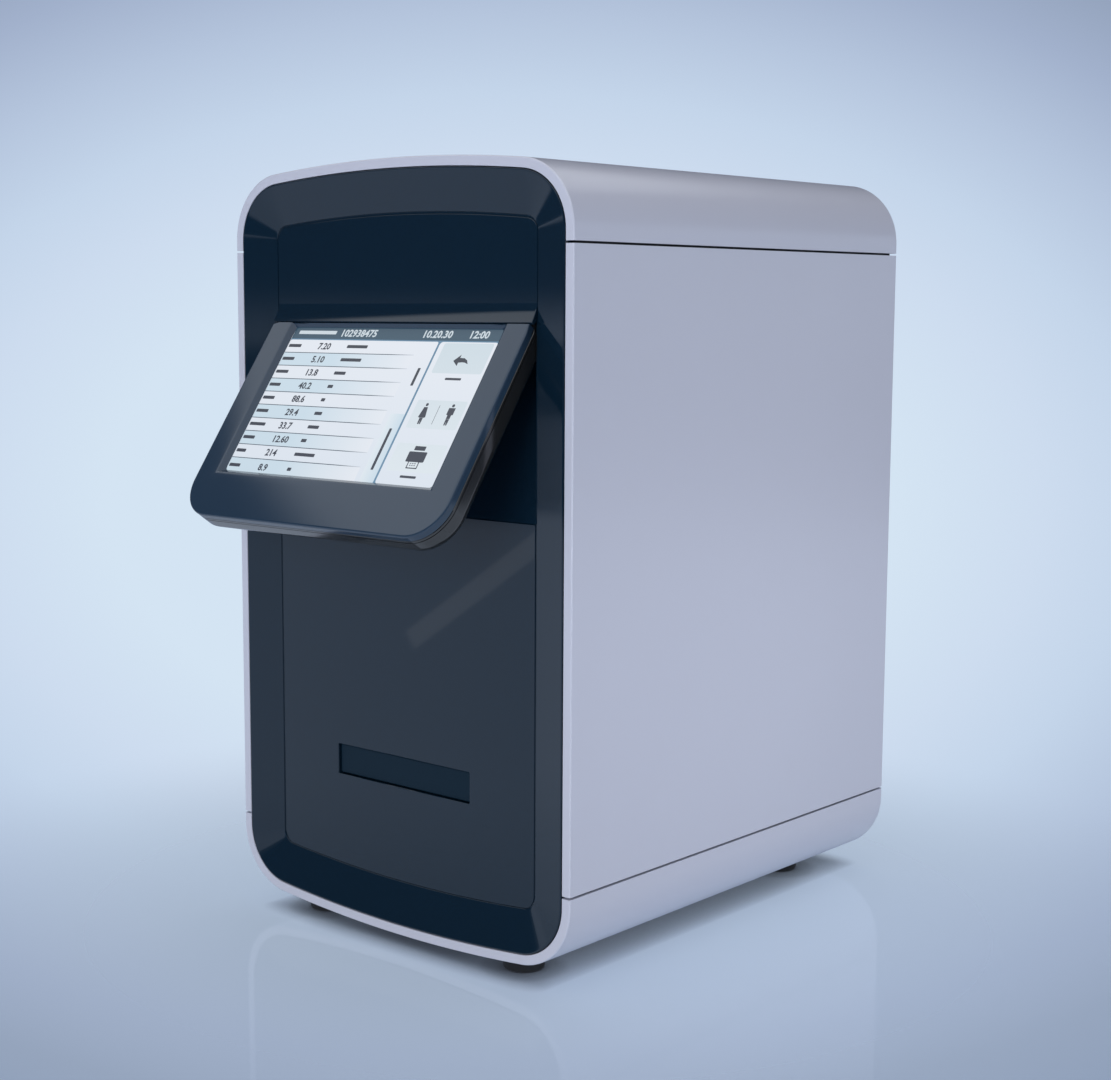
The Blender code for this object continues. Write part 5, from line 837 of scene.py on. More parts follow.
def dress(piece: Object, finish: Finish, body: str, *nodes: str) -> None:
    """Gives a piece its finish and its body, and hides the solids that it replaces.

    Args:
        piece: The piece.
        finish: Its finish.
        body: The moving body that it rides on.
        nodes: The solids that it replaces.
    """
    coat(piece, finish.material())
    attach(piece, body)
    if nodes:
        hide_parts(*nodes)
    LOG.info("%s: %d faces on %s", piece.name, len(piece.data.polygons), body)


def refined(
    node: str, name: str, width: float, flat: float = 1.0, sharp: float = 40.0
) -> Object:
    """Copies a solid's mesh, merged and cleared of flat edges, and rounds its sharp edges.

    Args:
        node: The solid's node.
        name: The new piece's name.
        width: The rounding's width, or 0 for none.
        flat: Edges flatter than this many degrees go.
        sharp: Edges sharper than this many degrees are rounded.

    Returns:
        The new piece.
    """
    net = bmesh.new()
    net.from_mesh(frame["nodes"][node].data)
    bmesh.ops.remove_doubles(net, verts=net.verts, dist=WELD)
    limit = math.radians(flat)
    bmesh.ops.dissolve_limit(net, verts=net.verts, edges=net.edges, angle_limit=limit)
    piece = shaded(net, bpy.data.meshes.new(name), name, SMOOTH)
    if width:
        bevel = piece.modifiers.new("Edges", "BEVEL")
        bevel.width = width
        bevel.segments = 2
        bevel.limit_method = "ANGLE"
        bevel.angle_limit = math.radians(sharp)
        bevel.harden_normals = True
    return piece


# The case's outline and places on it


@dataclass(frozen=True)
class CaseOutline:
    """The case seen from the front: straight sides, arched top and bottom, round corners."""

    width: float = 200.0 * MM
    height: float = 337.5 * MM
    floor_gap: float = 4.9 * MM
    arch: float = 765.0 * MM
    corner: float = 29.0 * MM
    corner_steps: int = 22
    arch_steps: int = 44

    @property
    def half(self) -> float:
        """Half the width."""
        return self.width / 2

    @property
    def top(self) -> float:
        """Height of the arch's crown."""
        return self.floor_gap + self.height

    @property
    def middle(self) -> float:
        """Height halfway up the case."""
        return self.floor_gap + self.height / 2

    def crown(self) -> Run:
        """The top from right to left.

        Both corner arcs and the long arch are centre + radius times (cos a, sin a), so a point
        drawn in by an inset is the point less the inset times its normal.

        Returns:
            The points and their outward normals, across and up.
        """
        reach = self.arch - self.corner
        corner_x = self.half - self.corner
        lean = math.asin(corner_x / reach)
        corner_z = self.top - self.arch + reach * math.cos(lean)
        right = np.linspace(0, QUARTER - lean, self.corner_steps + 1)
        middle = np.linspace(QUARTER - lean, QUARTER + lean, self.arch_steps + 1)[1:-1]
        left = np.linspace(QUARTER + lean, math.pi, self.corner_steps + 1)
        angle = np.concatenate([right, middle, left])
        sides = [(corner_x, corner_z), (0, self.top - self.arch), (-corner_x, corner_z)]
        counts = (len(right), len(middle), len(left))
        centre = np.repeat(np.array(sides, float), counts, axis=0)
        radius = np.repeat([self.corner, self.arch, self.corner], counts)[:, None]
        normal = np.stack([np.cos(angle), np.sin(angle)], 1)
        return centre + radius * normal, normal

    def sill(self) -> Run:
        """The bottom from left to right: the crown upside down."""
        points, normals = self.crown()
        return points[::-1] * (1, -1) + (0, 2 * self.middle), normals[::-1] * (1, -1)

    def whole(self) -> Run:
        """The closed outline and its normals."""
        crown, sill = self.crown(), self.sill()
        return np.vstack([crown[0], sill[0]]), np.vstack([crown[1], sill[1]])

    def underside(self, x: np.ndarray | float) -> np.ndarray | float:
        """Height of the underside's arch above the floor."""
        return self.floor_gap + self.arch - np.sqrt(self.arch**2 - x**2)


OUTLINE = CaseOutline()


def carried(profile: np.ndarray, points: np.ndarray, normals: np.ndarray) -> np.ndarray:
    """Carries a profile of (inset, setback) round an outline: point less inset times normal.

    Args:
        profile: The profile's points.
        points: The outline's points, across and up.
        normals: Their outward normals.

    Returns:
        A grid with one row for each outline point.
    """
    flat = points[:, None] - profile[None, :, :1] * normals[:, None]
    setback = np.broadcast_to(profile[None, :, 1:] + RIM_PLANE, (*flat.shape[:2], 1))
    return np.concatenate([flat[..., :1], setback, flat[..., 1:]], -1)


def plate_loop(flat: np.ndarray, setback: float) -> np.ndarray:
    """Stands a flat outline, across and up, at a distance behind the rim."""
    return np.column_stack([flat[:, 0], np.full(len(flat), RIM_PLANE + setback), flat[:, 1]])


# Sub-assemblies


@dataclass
class CaseShells:
    """Top cover, bottom tray and two side panels, with dark strips of painted shade in their seams.
    """

    depth: float = 244.6 * MM
    wall: float = 3.0 * MM
    rim: float = 4.3 * MM
    rim_depth: float = 7.0 * MM
    rim_round: float = 0.7 * MM
    rear_round: float = 0.8 * MM
    edge: float = 0.2 * MM
    seam_drop: float = 37.3 * MM
    seam: float = 1.0 * MM
    # Dark strips of painted shade in the seams: their play, inward reach and start behind the rim.
    shade_strip_play: float = 0.02 * MM
    shade_strip_depth: float = 2.7 * MM
    shade_strip_start: float = 4.2 * MM
    tongue: float = 1.5 * MM
    tongue_reach: float = 4.5 * MM
    tongue_start: float = 9.0 * MM
    tongue_end: float = 12.0 * MM
    fit: float = 0.3 * MM
    boss: float = 10.0 * MM
    boss_across: float = 56.0 * MM
    boss_drop: float = 19.0 * MM
    side_boss_width: float = 13.0 * MM
    side_boss_rise: float = 118.0 * MM
    post_radius: float = 5.0 * MM
    post_bore: float = 1.9 * MM
    post_edge: float = 0.4 * MM
    foot_post: float = 7.0 * MM
    plate_post_across: float = 70.0 * MM
    plate_post_front: float = 18.0 * MM
    plate_post_rear: float = 6.0 * MM

    @property
    def rear(self) -> float:
        """World setback of the faces that the rear panel rests on."""
        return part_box("rear_panel")[0].y - self.fit

    def shell(self, points: np.ndarray, normals: np.ndarray) -> Body:
        """Carries a shell's cross-section, rounded at the rim and the rear, along a run.

        Args:
            points: The run's points, across and up.
            normals: Their outward normals.

        Returns:
            The mesh in the making.
        """
        corners = [
            (0, 0),
            (0, self.depth),
            (self.wall, self.depth),
            (self.wall, self.rim_depth),
            (self.rim, self.rim_depth),
            (self.rim, 0),
        ]
        radii = [self.rim_round, self.rear_round, self.edge, self.edge, self.edge, 2 * self.edge]
        body = Body()
        body.loft(carried(fillet(corners, radii, steps=8), points, normals))
        return body

    def seam_height(self, hand: int) -> float:
        """Height of the middle of the upper seam (hand 1) or the lower one (hand -1)."""
        return OUTLINE.top - self.seam_drop if hand > 0 else OUTLINE.floor_gap + self.seam_drop

    def arched(self, hand: int) -> Body:
        """The top cover or the bottom tray: its arch, short straight sides and rear bosses.

        Args:
            hand: 1 for the cover, -1 for the tray.

        Returns:
            The mesh in the making.
        """
        points, normals = OUTLINE.crown() if hand > 0 else OUTLINE.sill()
        first, height = hand * OUTLINE.half, self.seam_height(hand) + hand * self.seam / 2
        points = np.vstack([[(first, height)], points, [(-first, height)]])
        body = self.shell(points, np.vstack([normals[:1], normals, normals[-1:]]))
        for x in (-self.boss_across, self.boss_across):
            rise = float(OUTLINE.underside(x)) - OUTLINE.floor_gap
            edge = OUTLINE.middle + hand * (OUTLINE.height / 2 - rise)
            near, far = sorted((edge - hand * self.wall / 2, edge - hand * self.boss_drop))
            half = self.boss / 2
            body.block((x - half, self.rear - self.boss, near), (x + half, self.rear, far))
        return body

    def tray(self) -> None:
        """Bottom tray, with the posts for feet and chassis plate on its floor."""
        body = self.arched(-1)
        for node in ("foot_front_left", "foot_front_right", "foot_rear_left", "foot_rear_right"):
            low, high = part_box(node)
            self.post(body, (low.x + high.x) / 2, (low.y + high.y) / 2, self.foot_post)
        low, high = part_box("chassis_plate")
        for x in (-self.plate_post_across, self.plate_post_across):
            for y in (low.y + self.plate_post_front, high.y - self.plate_post_rear):
                self.post(body, x, y, low.z - self.fit - float(OUTLINE.underside(x)))
        dress(body.finish("case_bottom_tray"), Finish.CASE, "case", "bottom_tray")

    def post(self, body: Body, x: float, y: float, height: float) -> None:
        """Adds a round bored post on the tray's floor.

        Args:
            body: The mesh in the making.
            x: Across.
            y: World setback.
            height: Height above the tray's underside.
        """
        under = float(OUTLINE.underside(x))
        low, high, bore = under + self.wall / 2, under + height, self.post_bore
        corners = [(bore, low), (self.post_radius, low), (self.post_radius, high), (bore, high)]
        body.turned(fillet(corners, [0, 0, self.post_edge, 0], steps=3), (x, y), count=28)

    def side(self, hand: int, name: str, node: str) -> None:
        """A side panel with the tongue behind both seams and two rear bosses.

        Args:
            hand: 1 for the right panel, -1 for the left.
            name: The piece's name.
            node: The solid that it replaces.
        """
        low, high = self.seam_height(-1), self.seam_height(1)
        side, inner = hand * OUTLINE.half, OUTLINE.half - self.wall
        points = np.array([(side, low + self.seam / 2), (side, high - self.seam / 2)])
        body = self.shell(points, np.array([(hand, 0), (hand, 0)], float))
        front, rear = RIM_PLANE + self.tongue_start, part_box("rear_panel")[0].y - self.tongue_end
        outer = inner + self.wall / 2
        tongue = span(hand, inner - self.fit - self.tongue, inner - self.fit)
        root = span(hand, inner - self.fit - self.tongue / 2, outer)
        narrow = -self.seam / 2 - self.wall
        for (first, last), grow in ((tongue, self.tongue_reach), (root, narrow)):
            body.block((first, front, low - grow), (last, rear, high + grow))
        first, last = span(hand, inner - self.side_boss_width, outer)
        for z in (OUTLINE.middle - self.side_boss_rise, OUTLINE.middle + self.side_boss_rise):
            half = self.boss / 2
            body.block((first, self.rear - self.boss, z - half), (last, self.rear, z + half))
        dress(body.finish(name), Finish.CASE, "case", node)

    def shade_strips(self) -> None:
        """Dark strips that lie in the seams, a little below the surface: painted shade for the
        gaps.
        """
        # Painted shade: black strips sit in the seams so that the gaps read dark.
        body = Body()
        half, start = self.seam / 2 - self.shade_strip_play, RIM_PLANE + self.shade_strip_start
        wall = OUTLINE.half - self.wall
        strips = (
            (OUTLINE.half - self.shade_strip_depth, wall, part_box("rear_panel")[1].y),
            (wall, OUTLINE.half - self.rim + self.edge, RIM_PLANE + self.rim_depth),
        )
        for z in (self.seam_height(1), self.seam_height(-1)):
            for hand in (-1, 1):
                for near, far, rear in strips:
                    first, last = span(hand, near, far)
                    body.block((first, start, z - half), (last, rear, z + half))
        dress(body.finish("seam_shade_strips"), Finish.RUBBER, "case")

    def build(self) -> None:
        """Builds all four shells and the dark strips of painted shade in the seams."""
        dress(self.arched(1).finish("case_top_cover"), Finish.CASE, "case", "top_cover")
        self.tray()
        self.side(1, "case_right_panel", "right_side_panel")
        self.side(-1, "case_left_panel", "left_side_panel")
        self.shade_strips()


@dataclass
class FrontFace:
    """The dished frame inside the rim and the two fascias that fill it."""

    start: float = 4.65 * MM
    start_depth: float = -0.3 * MM
    inner: float = 22.6 * MM
    dish: float = 4.9 * MM
    wall: float = 2.2 * MM
    skirt: float = 6.6 * MM
    back: float = 21.0 * MM
    band_steps: int = 15
    fascia_wall: float = 2.5 * MM
    upper_grooves: Flat = (0.25 * MM, 0.9 * MM)
    lower_grooves: Flat = (0.8 * MM, 0.15 * MM)
    split: float = 192.65 * MM
    split_gap: float = 0.12 * MM
    slot: Box = (-40.3 * MM, 70.0 * MM, 40.3 * MM, 83.85 * MM)
    slot_round: float = 0.6 * MM
    brow_run: float = 4.7 * MM
    brow_slope: Flat = (0.475, 0.594)
    brow_steps: tuple[int, int] = (15, 13)
    lip_wall: float = 1.4 * MM
    pocket: float = 8.6 * MM
    pocket_steps: int = 23
    edge: float = 0.45 * MM
    edge_steps: int = 4
    tip: float = 0.15 * MM
    hollow_share: float = 0.05
    ledge: float = 0.95 * MM
    ledge_depth: float = 0.5 * MM
    smooth: float = 25.0

    def frame(self) -> None:
        """The frame: a hollow sloped band, a ledge under the fascias, a skirt and a deep return.

        With t from 0 at the rim to 1 at the fascias, the band's setback grows by t + c t (1 - t) of
        its fall, so that it is steeper by the rim.
        """
        fall = self.dish - self.start_depth
        slope = fall / (self.inner - self.start)
        behind = self.wall * math.hypot(1, slope)
        share = np.linspace(0, 1, self.band_steps + 1)
        inset = self.start + (self.inner - self.start) * share
        hollow = share + self.hollow_share * share * (1 - share)
        band = np.column_stack([inset, self.start_depth + fall * hollow])
        ledge = self.dish + self.ledge_depth
        corners = [
            *band.tolist(),
            (self.inner, ledge),
            (self.inner + self.ledge, ledge),
            (self.inner + self.ledge, ledge + self.wall / 2),
            (self.inner, ledge + self.wall / 2),
            (self.inner, self.back),
            (self.inner - self.wall, self.back),
            (self.inner - self.wall, self.dish - self.wall * slope + behind),
            (self.start + self.wall, self.start_depth + self.wall * slope + behind),
            (self.start + self.wall, self.skirt),
            (self.start, self.skirt),
        ]
        edge, small = self.edge, self.edge / 3
        radii = [edge, *[0.0] * (len(band) - 2), edge]
        radii += [small, small, 0.0, 0.0, small, small, edge, edge, small, small]
        body = Body()
        body.grid(carried(fillet(corners, radii), *OUTLINE.whole()), wrap=True, ring=True)
        dress(body.finish("dished_frame", self.smooth), Finish.FRONT, "case", "front_frame")

    def brow_profile(self) -> np.ndarray:
        """Side view of the upper fascia's front below the plate, as (setback, height).

        The brow's slope (its reach forward for its way down) grows evenly from nothing to the first
        of brow_slope, and then over brow_run to the second, at the lip; the pocket behind it is an
        arc about the axis that the display tilts on, and under it the plate goes straight down.

        Returns:
            The points, from the plate's end at the top to the split.
        """
        lip = DISPLAY.seam_point(0.0, -DISPLAY.seam)
        under = DISPLAY.seam_point(self.lip_wall, -DISPLAY.seam)
        run, (first, last), steps = self.brow_run, self.brow_slope, self.brow_steps
        rise = 2 * (self.dish - lip[0] - run * (first + last) / 2) / first
        below = rise + np.linspace(0, run, steps[1] + 1)[1:-1]
        drop = np.concatenate([np.linspace(0, rise, steps[0] + 1), below])
        upper, lower = np.minimum(drop, rise), np.maximum(drop - rise, 0)
        reach = first * upper**2 / (2 * rise) + first * lower
        reach += (last - first) * lower**2 / (2 * run)
        swept = np.column_stack([self.dish - reach, lip[1] + rise + run - drop])
        axis = np.array(DISPLAY.seam_point(DISPLAY.axis_depth, 0.0))
        start = math.atan2(under[1] - axis[1], under[0] - axis[0])
        angle = np.linspace(start, 0, self.pocket_steps + 1)[1:]
        arc = axis + self.pocket * np.stack([np.cos(angle), np.sin(angle)], 1)
        path = np.vstack([swept, [lip, under], arc, [(self.dish, self.split + self.split_gap / 2)]])
        radii = np.zeros(len(path))
        radii[len(swept) : len(swept) + 2] = self.tip
        path = fillet(path, radii, steps=4)
        moved = np.linalg.norm(np.diff(path, axis=0, prepend=path[:1] + 1), axis=1)
        return path[moved > WELD]

    def inset(self, run: Run, grooves: Flat) -> Run:
        """The case's crown or sill drawn in to a fascia's edge.

        The groove to the frame mixes its widths at the side and at the end by the square of the
        normal's rise.

        Args:
            run: The crown or the sill with its normals.
            grooves: The groove's width at the side and at the end.

        Returns:
            The points of the fascia's edge and their normals.
        """
        points, normals = run
        side, end = grooves
        groove = side + (end - side) * normals[:, 1:] ** 2
        return points - (self.inner + groove) * normals, normals

    def upper(self) -> None:
        """Upper fascia: one closed loft whose columns run across it.

        Every column is the same loop in side view: over the rounded top edge, down the plate, the
        brow and the pocket, and up the back. Its top follows the crown, drawn in by r (1 - cos a)
        at a depth of r (1 - sin a) round the edge, and the end columns step down round the sides in
        the same way.
        """
        insets, depths = quarter(self.edge, self.edge_steps)
        last = len(insets) - 1
        crown, normals = self.inset(OUTLINE.crown(), self.upper_grooves)
        rings = crown - insets[:, None, None] * normals
        steps, ends = np.arange(last), np.zeros(last, int)
        level = np.concatenate([steps, np.full(len(crown), last), steps[::-1]])
        source = np.concatenate([ends, np.arange(len(crown)), ends + len(crown) - 1])
        order = np.minimum(np.arange(last + 1)[:, None], level)
        rim, rim_setback = rings[order, source], self.dish + depths[order]
        outer, inner = rings[0, source], rings[level, source]
        front = self.brow_profile()
        axis, wall = DISPLAY.seam_point(DISPLAY.axis_depth, 0.0), self.fascia_wall
        flat, far = self.dish + wall, axis[0] + self.pocket + wall
        low, shelf, top = front[-1, 1], axis[1] + self.pocket + wall, front[0, 1] + wall
        back = np.array([(flat, low), (far, axis[1]), (far, shelf), (flat, top)])
        rows = [np.stack([outer[:, 0], flat + 0 * outer[:, 0], outer[:, 1]], -1)[None]]
        rows.append(np.stack([rim[..., 0], rim_setback, rim[..., 1]], -1))
        for path, run, depth in ((front, inner, depths[level]), (back, outer, 0 * outer[:, 0])):
            parts = np.broadcast_arrays(run[:, 0], path[:, :1] + depth, path[:, 1:])
            rows.append(np.stack(parts, -1))
        body = Body()
        numbers = body.grid(np.concatenate(rows) + (0, RIM_PLANE, 0), wrap=True)
        body.cap(numbers[:, 0])
        body.cap(numbers[:, -1])
        dress(body.finish("upper_front_panel", self.smooth), Finish.FRONT, "case", "upper_fascia")

    def lower(self) -> None:
        """Lower fascia: a plate with a rounded edge and the cartridge slot, as rings of a loft."""
        top = self.split - self.split_gap / 2
        half = OUTLINE.half - self.inner - self.lower_grooves[0]
        sill, _ = self.inset(OUTLINE.sill(), self.lower_grooves)
        outline = np.vstack([sill, [(half, top), (-half, top)]])
        centre = (0.0, (self.slot[1] + self.slot[3]) / 2)
        slot = rounded_box(self.slot, self.slot_round, self.slot_round, steps=5)
        angles = bearings([outline, slot], centre, fill=64)
        outer, inner = (ray_points(path, centre, angles) for path in (outline, slot))
        inward = unit(np.array(centre) - outer)
        insets, depths = quarter(self.edge, self.edge_steps)
        front, back = self.dish, self.dish + self.fascia_wall
        edge = list(zip(insets, depths))
        loops = [plate_loop(outer, back)]
        loops += [plate_loop(outer + inward * inset, front + depth) for inset, depth in edge]
        loops += [plate_loop(inner - inward * inset, front + depth) for inset, depth in edge[::-1]]
        loops += [plate_loop(inner, back)]
        body = Body()
        body.grid(np.stack(loops), wrap=True, ring=True)
        dress(body.finish("lower_front_panel", self.smooth), Finish.FRONT, "case", "lower_fascia")

    def build(self) -> None:
        """Builds the frame and both fascias."""
        self.frame()
        self.upper()
        self.lower()


@dataclass(frozen=True)
class DisplayPlace:
    """Where the display stands at rest: its face's slope and the seam under the brow."""

    tilt: float = math.radians(34.9)
    setback: float = 1.54 * MM
    height: float = 273.57 * MM
    seam: float = 0.2 * MM
    axis_depth: float = 10.0 * MM

    def seam_point(self, depth: float, down: float) -> Flat:
        """(setback, height) of a point given by its depth below the face and its way down."""
        sine, cosine = math.sin(self.tilt), math.cos(self.tilt)
        return (
            self.setback + depth * cosine - down * sine,
            self.height - depth * sine - down * cosine,
        )

    def stand(self, across: np.ndarray, depth: np.ndarray, down: np.ndarray) -> np.ndarray:
        """Places points of the display in the world.

        Args:
            across: Distances across.
            depth: Depths below the face.
            down: Ways down the face.

        Returns:
            The points, as (x, y, z) in the last direction.
        """
        across, depth, down = np.broadcast_arrays(across, depth, down)
        setback, height = self.seam_point(depth, down)
        return np.stack([across, RIM_PLANE + setback, height], -1)

    def rings(self, rings: list[tuple[np.ndarray, np.ndarray | float]]) -> np.ndarray:
        """Places loops across and down, each with its depths, as the loops of one grid."""
        return np.stack([self.stand(flat[:, 0], depth, flat[:, 1]) for flat, depth in rings])


DISPLAY = DisplayPlace()


@dataclass
class Display:
    """The tilting display: bezel, and rear shell with its tongue."""

    half: float = 76.8 * MM
    length: float = 100.0 * MM
    depth: float = 14.4 * MM
    corner: float = 17.0 * MM
    upper_corner: float = 0.8 * MM
    bezel: float = 3.4 * MM
    edge: float = 0.9 * MM
    window_half: float = 64.2 * MM
    window_top: float = -0.5 * MM
    window_bottom: float = 78.5 * MM
    window_corner: float = 1.4 * MM
    slope: float = 2.1 * MM
    crease: float = 0.25 * MM
    shrinks: tuple[float, ...] = (-4, -1.2, -0.5, -0.2, 0, 0.2, 0.5, 1.0, 1.6, 2.1)
    least_step: float = 0.01 * MM
    seat: float = 2.3 * MM
    seat_top: float = 1.1 * MM
    seat_corner: float = 0.4 * MM
    seat_step: float = 0.02 * MM
    wall: float = 1.8 * MM
    back_round: float = 5.0 * MM
    tongue: float = 8.0 * MM
    tongue_play: float = 1.0 * MM
    tongue_steps: tuple[int, int] = (19, 9)
    gap: float = 0.3 * MM
    strip: float = 1.1 * MM
    groove: float = 0.45 * MM
    groove_edges: Colour = (0.15 * MM, 0.05 * MM, 0.1 * MM)
    top_share: float = 0.25
    fill: int = 90

    def outline(self, inset: float) -> np.ndarray:
        """The display's outline.

        Args:
            inset: How far it is drawn in.

        Returns:
            The points, across and down.
        """
        half, upper = self.half - inset, self.upper_corner
        sides = (-half, DISPLAY.seam + self.top_share * inset, half, self.length - inset)
        return rounded_box(sides, upper, max(self.corner - inset, upper), steps=16)

    def window(self, shrink: float) -> np.ndarray:
        """The window's outline.

        Args:
            shrink: How far it is drawn in.

        Returns:
            The points, across and down.
        """
        half = self.window_half - shrink
        sides = (-half, self.window_top + shrink, half, self.window_bottom - shrink)
        return rounded_box(sides, self.window_corner, self.window_corner, steps=6)

    def fall(self, flat: np.ndarray) -> np.ndarray:
        """Depth of the face: nothing outside the window, then a slope of one in one to its ledge.

        With s the least distance inside the window's sides, the depth is (s + sqrt(s s + e e)) / 2,
        which rounds the crease over a width e, and it stops at the ledge.

        Args:
            flat: Points across and down.

        Returns:
            The depths.
        """
        across, down = flat[:, 0], flat[:, 1]
        sides = [self.window_half - abs(across), down - self.window_top, self.window_bottom - down]
        inside = np.minimum.reduce(sides)
        return np.minimum((inside + np.sqrt(inside**2 + self.crease**2)) / 2, self.slope)

    def face_ring(self) -> None:
        """Bezel: rings from its outer side over the face and down the window to the seat."""
        centre = (0.0, (self.window_top + self.window_bottom) / 2)
        angles = bearings([self.outline(0), self.window(0)], centre, self.fill)
        rings = [(ray_points(self.outline(0), centre, angles), self.bezel)]
        for inset, level in zip(*quarter(self.edge, steps=6)):
            flat = ray_points(self.outline(inset), centre, angles)
            rings.append((flat, np.maximum(level, self.fall(flat))))
        lowest = DISPLAY.seam + self.top_share * self.edge
        for order, shrink in enumerate(np.array(self.shrinks) * MM, 1):
            flat = ray_points(self.window(shrink), centre, angles)
            flat[:, 1] = np.maximum(flat[:, 1], lowest + order * self.least_step)
            rings.append((flat, self.fall(flat) if shrink < self.slope else self.slope))
        half = self.window_half + self.seat
        sides = (-half, self.seat_top, half, self.window_bottom + self.seat)
        seat = rounded_box(sides, self.seat_corner, self.seat_corner, steps=3)
        seat = ray_points(seat, centre, angles)
        rings += [(seat, self.slope + self.seat_step), (seat, self.bezel)]
        body = Body()
        body.grid(DISPLAY.rings(rings), wrap=True, ring=True)
        piece = body.finish("display_face_ring", smooth=32.0)
        dress(piece, Finish.BEZEL, "display", "display_bezel")

    def rear_shell(self) -> None:
        """Rear shell: rings from inside its floor, round the front edge and over the back."""
        centre = (0.0, self.length / 2)
        angles = bearings([self.outline(0)], centre, self.fill)
        near, wall, deep = self.bezel + self.gap, self.wall, self.groove
        front, lip, rear = self.groove_edges
        strip = near + self.strip
        levels = [
            (wall + self.back_round, self.depth - wall),
            (wall, self.depth - self.back_round),
            (wall, near),
            (front, near),
            (0, near + front),
            (0, strip),
            (deep, strip + lip),
            (deep, strip + self.gap),
            (0, strip + self.gap + rear),
        ]
        insets, depths = quarter(self.back_round, steps=12)
        levels += list(zip(insets, self.depth - depths))
        body = Body()
        flats = [ray_points(self.outline(inset), centre, angles) for inset, _ in levels]
        body.loft(DISPLAY.rings([(flat, level) for flat, (_, level) in zip(flats, levels)]))
        self.add_tongue(body)
        piece = body.finish("display_rear_shell", smooth=28.0)
        dress(piece, Finish.HOUSING, "display", "display_housing")

    def add_tongue(self, body: Body) -> None:
        """Adds the tongue that reaches up behind the brow, round about the tilt axis.

        Args:
            body: The mesh in the making.
        """
        turn = np.linspace(math.pi, QUARTER, self.tongue_steps[0] + 1)
        back = np.linspace(QUARTER, 0, self.tongue_steps[1] + 1)[1:]
        rear = self.depth - DISPLAY.axis_depth - self.wall
        centre = np.array([rear - self.back_round, self.tongue - self.back_round])
        arc = self.tongue * np.stack([np.cos(turn), np.sin(turn)], 1)
        round_back = centre + self.back_round * np.stack([np.cos(back), np.sin(back)], 1)
        front = self.bezel + self.gap - DISPLAY.axis_depth + self.wall
        low = -DISPLAY.seam - self.wall
        section = np.vstack([arc, round_back, [(rear, low), (front, low), (front, 0)]])
        ends = (self.half - self.tongue_play) * np.array([[1], [-1]])
        body.loft(DISPLAY.stand(ends, section[:, 0] + DISPLAY.axis_depth, -section[:, 1]))

    def build(self) -> None:
        """Builds the bezel and the rear shell."""
        self.face_ring()
        self.rear_shell()


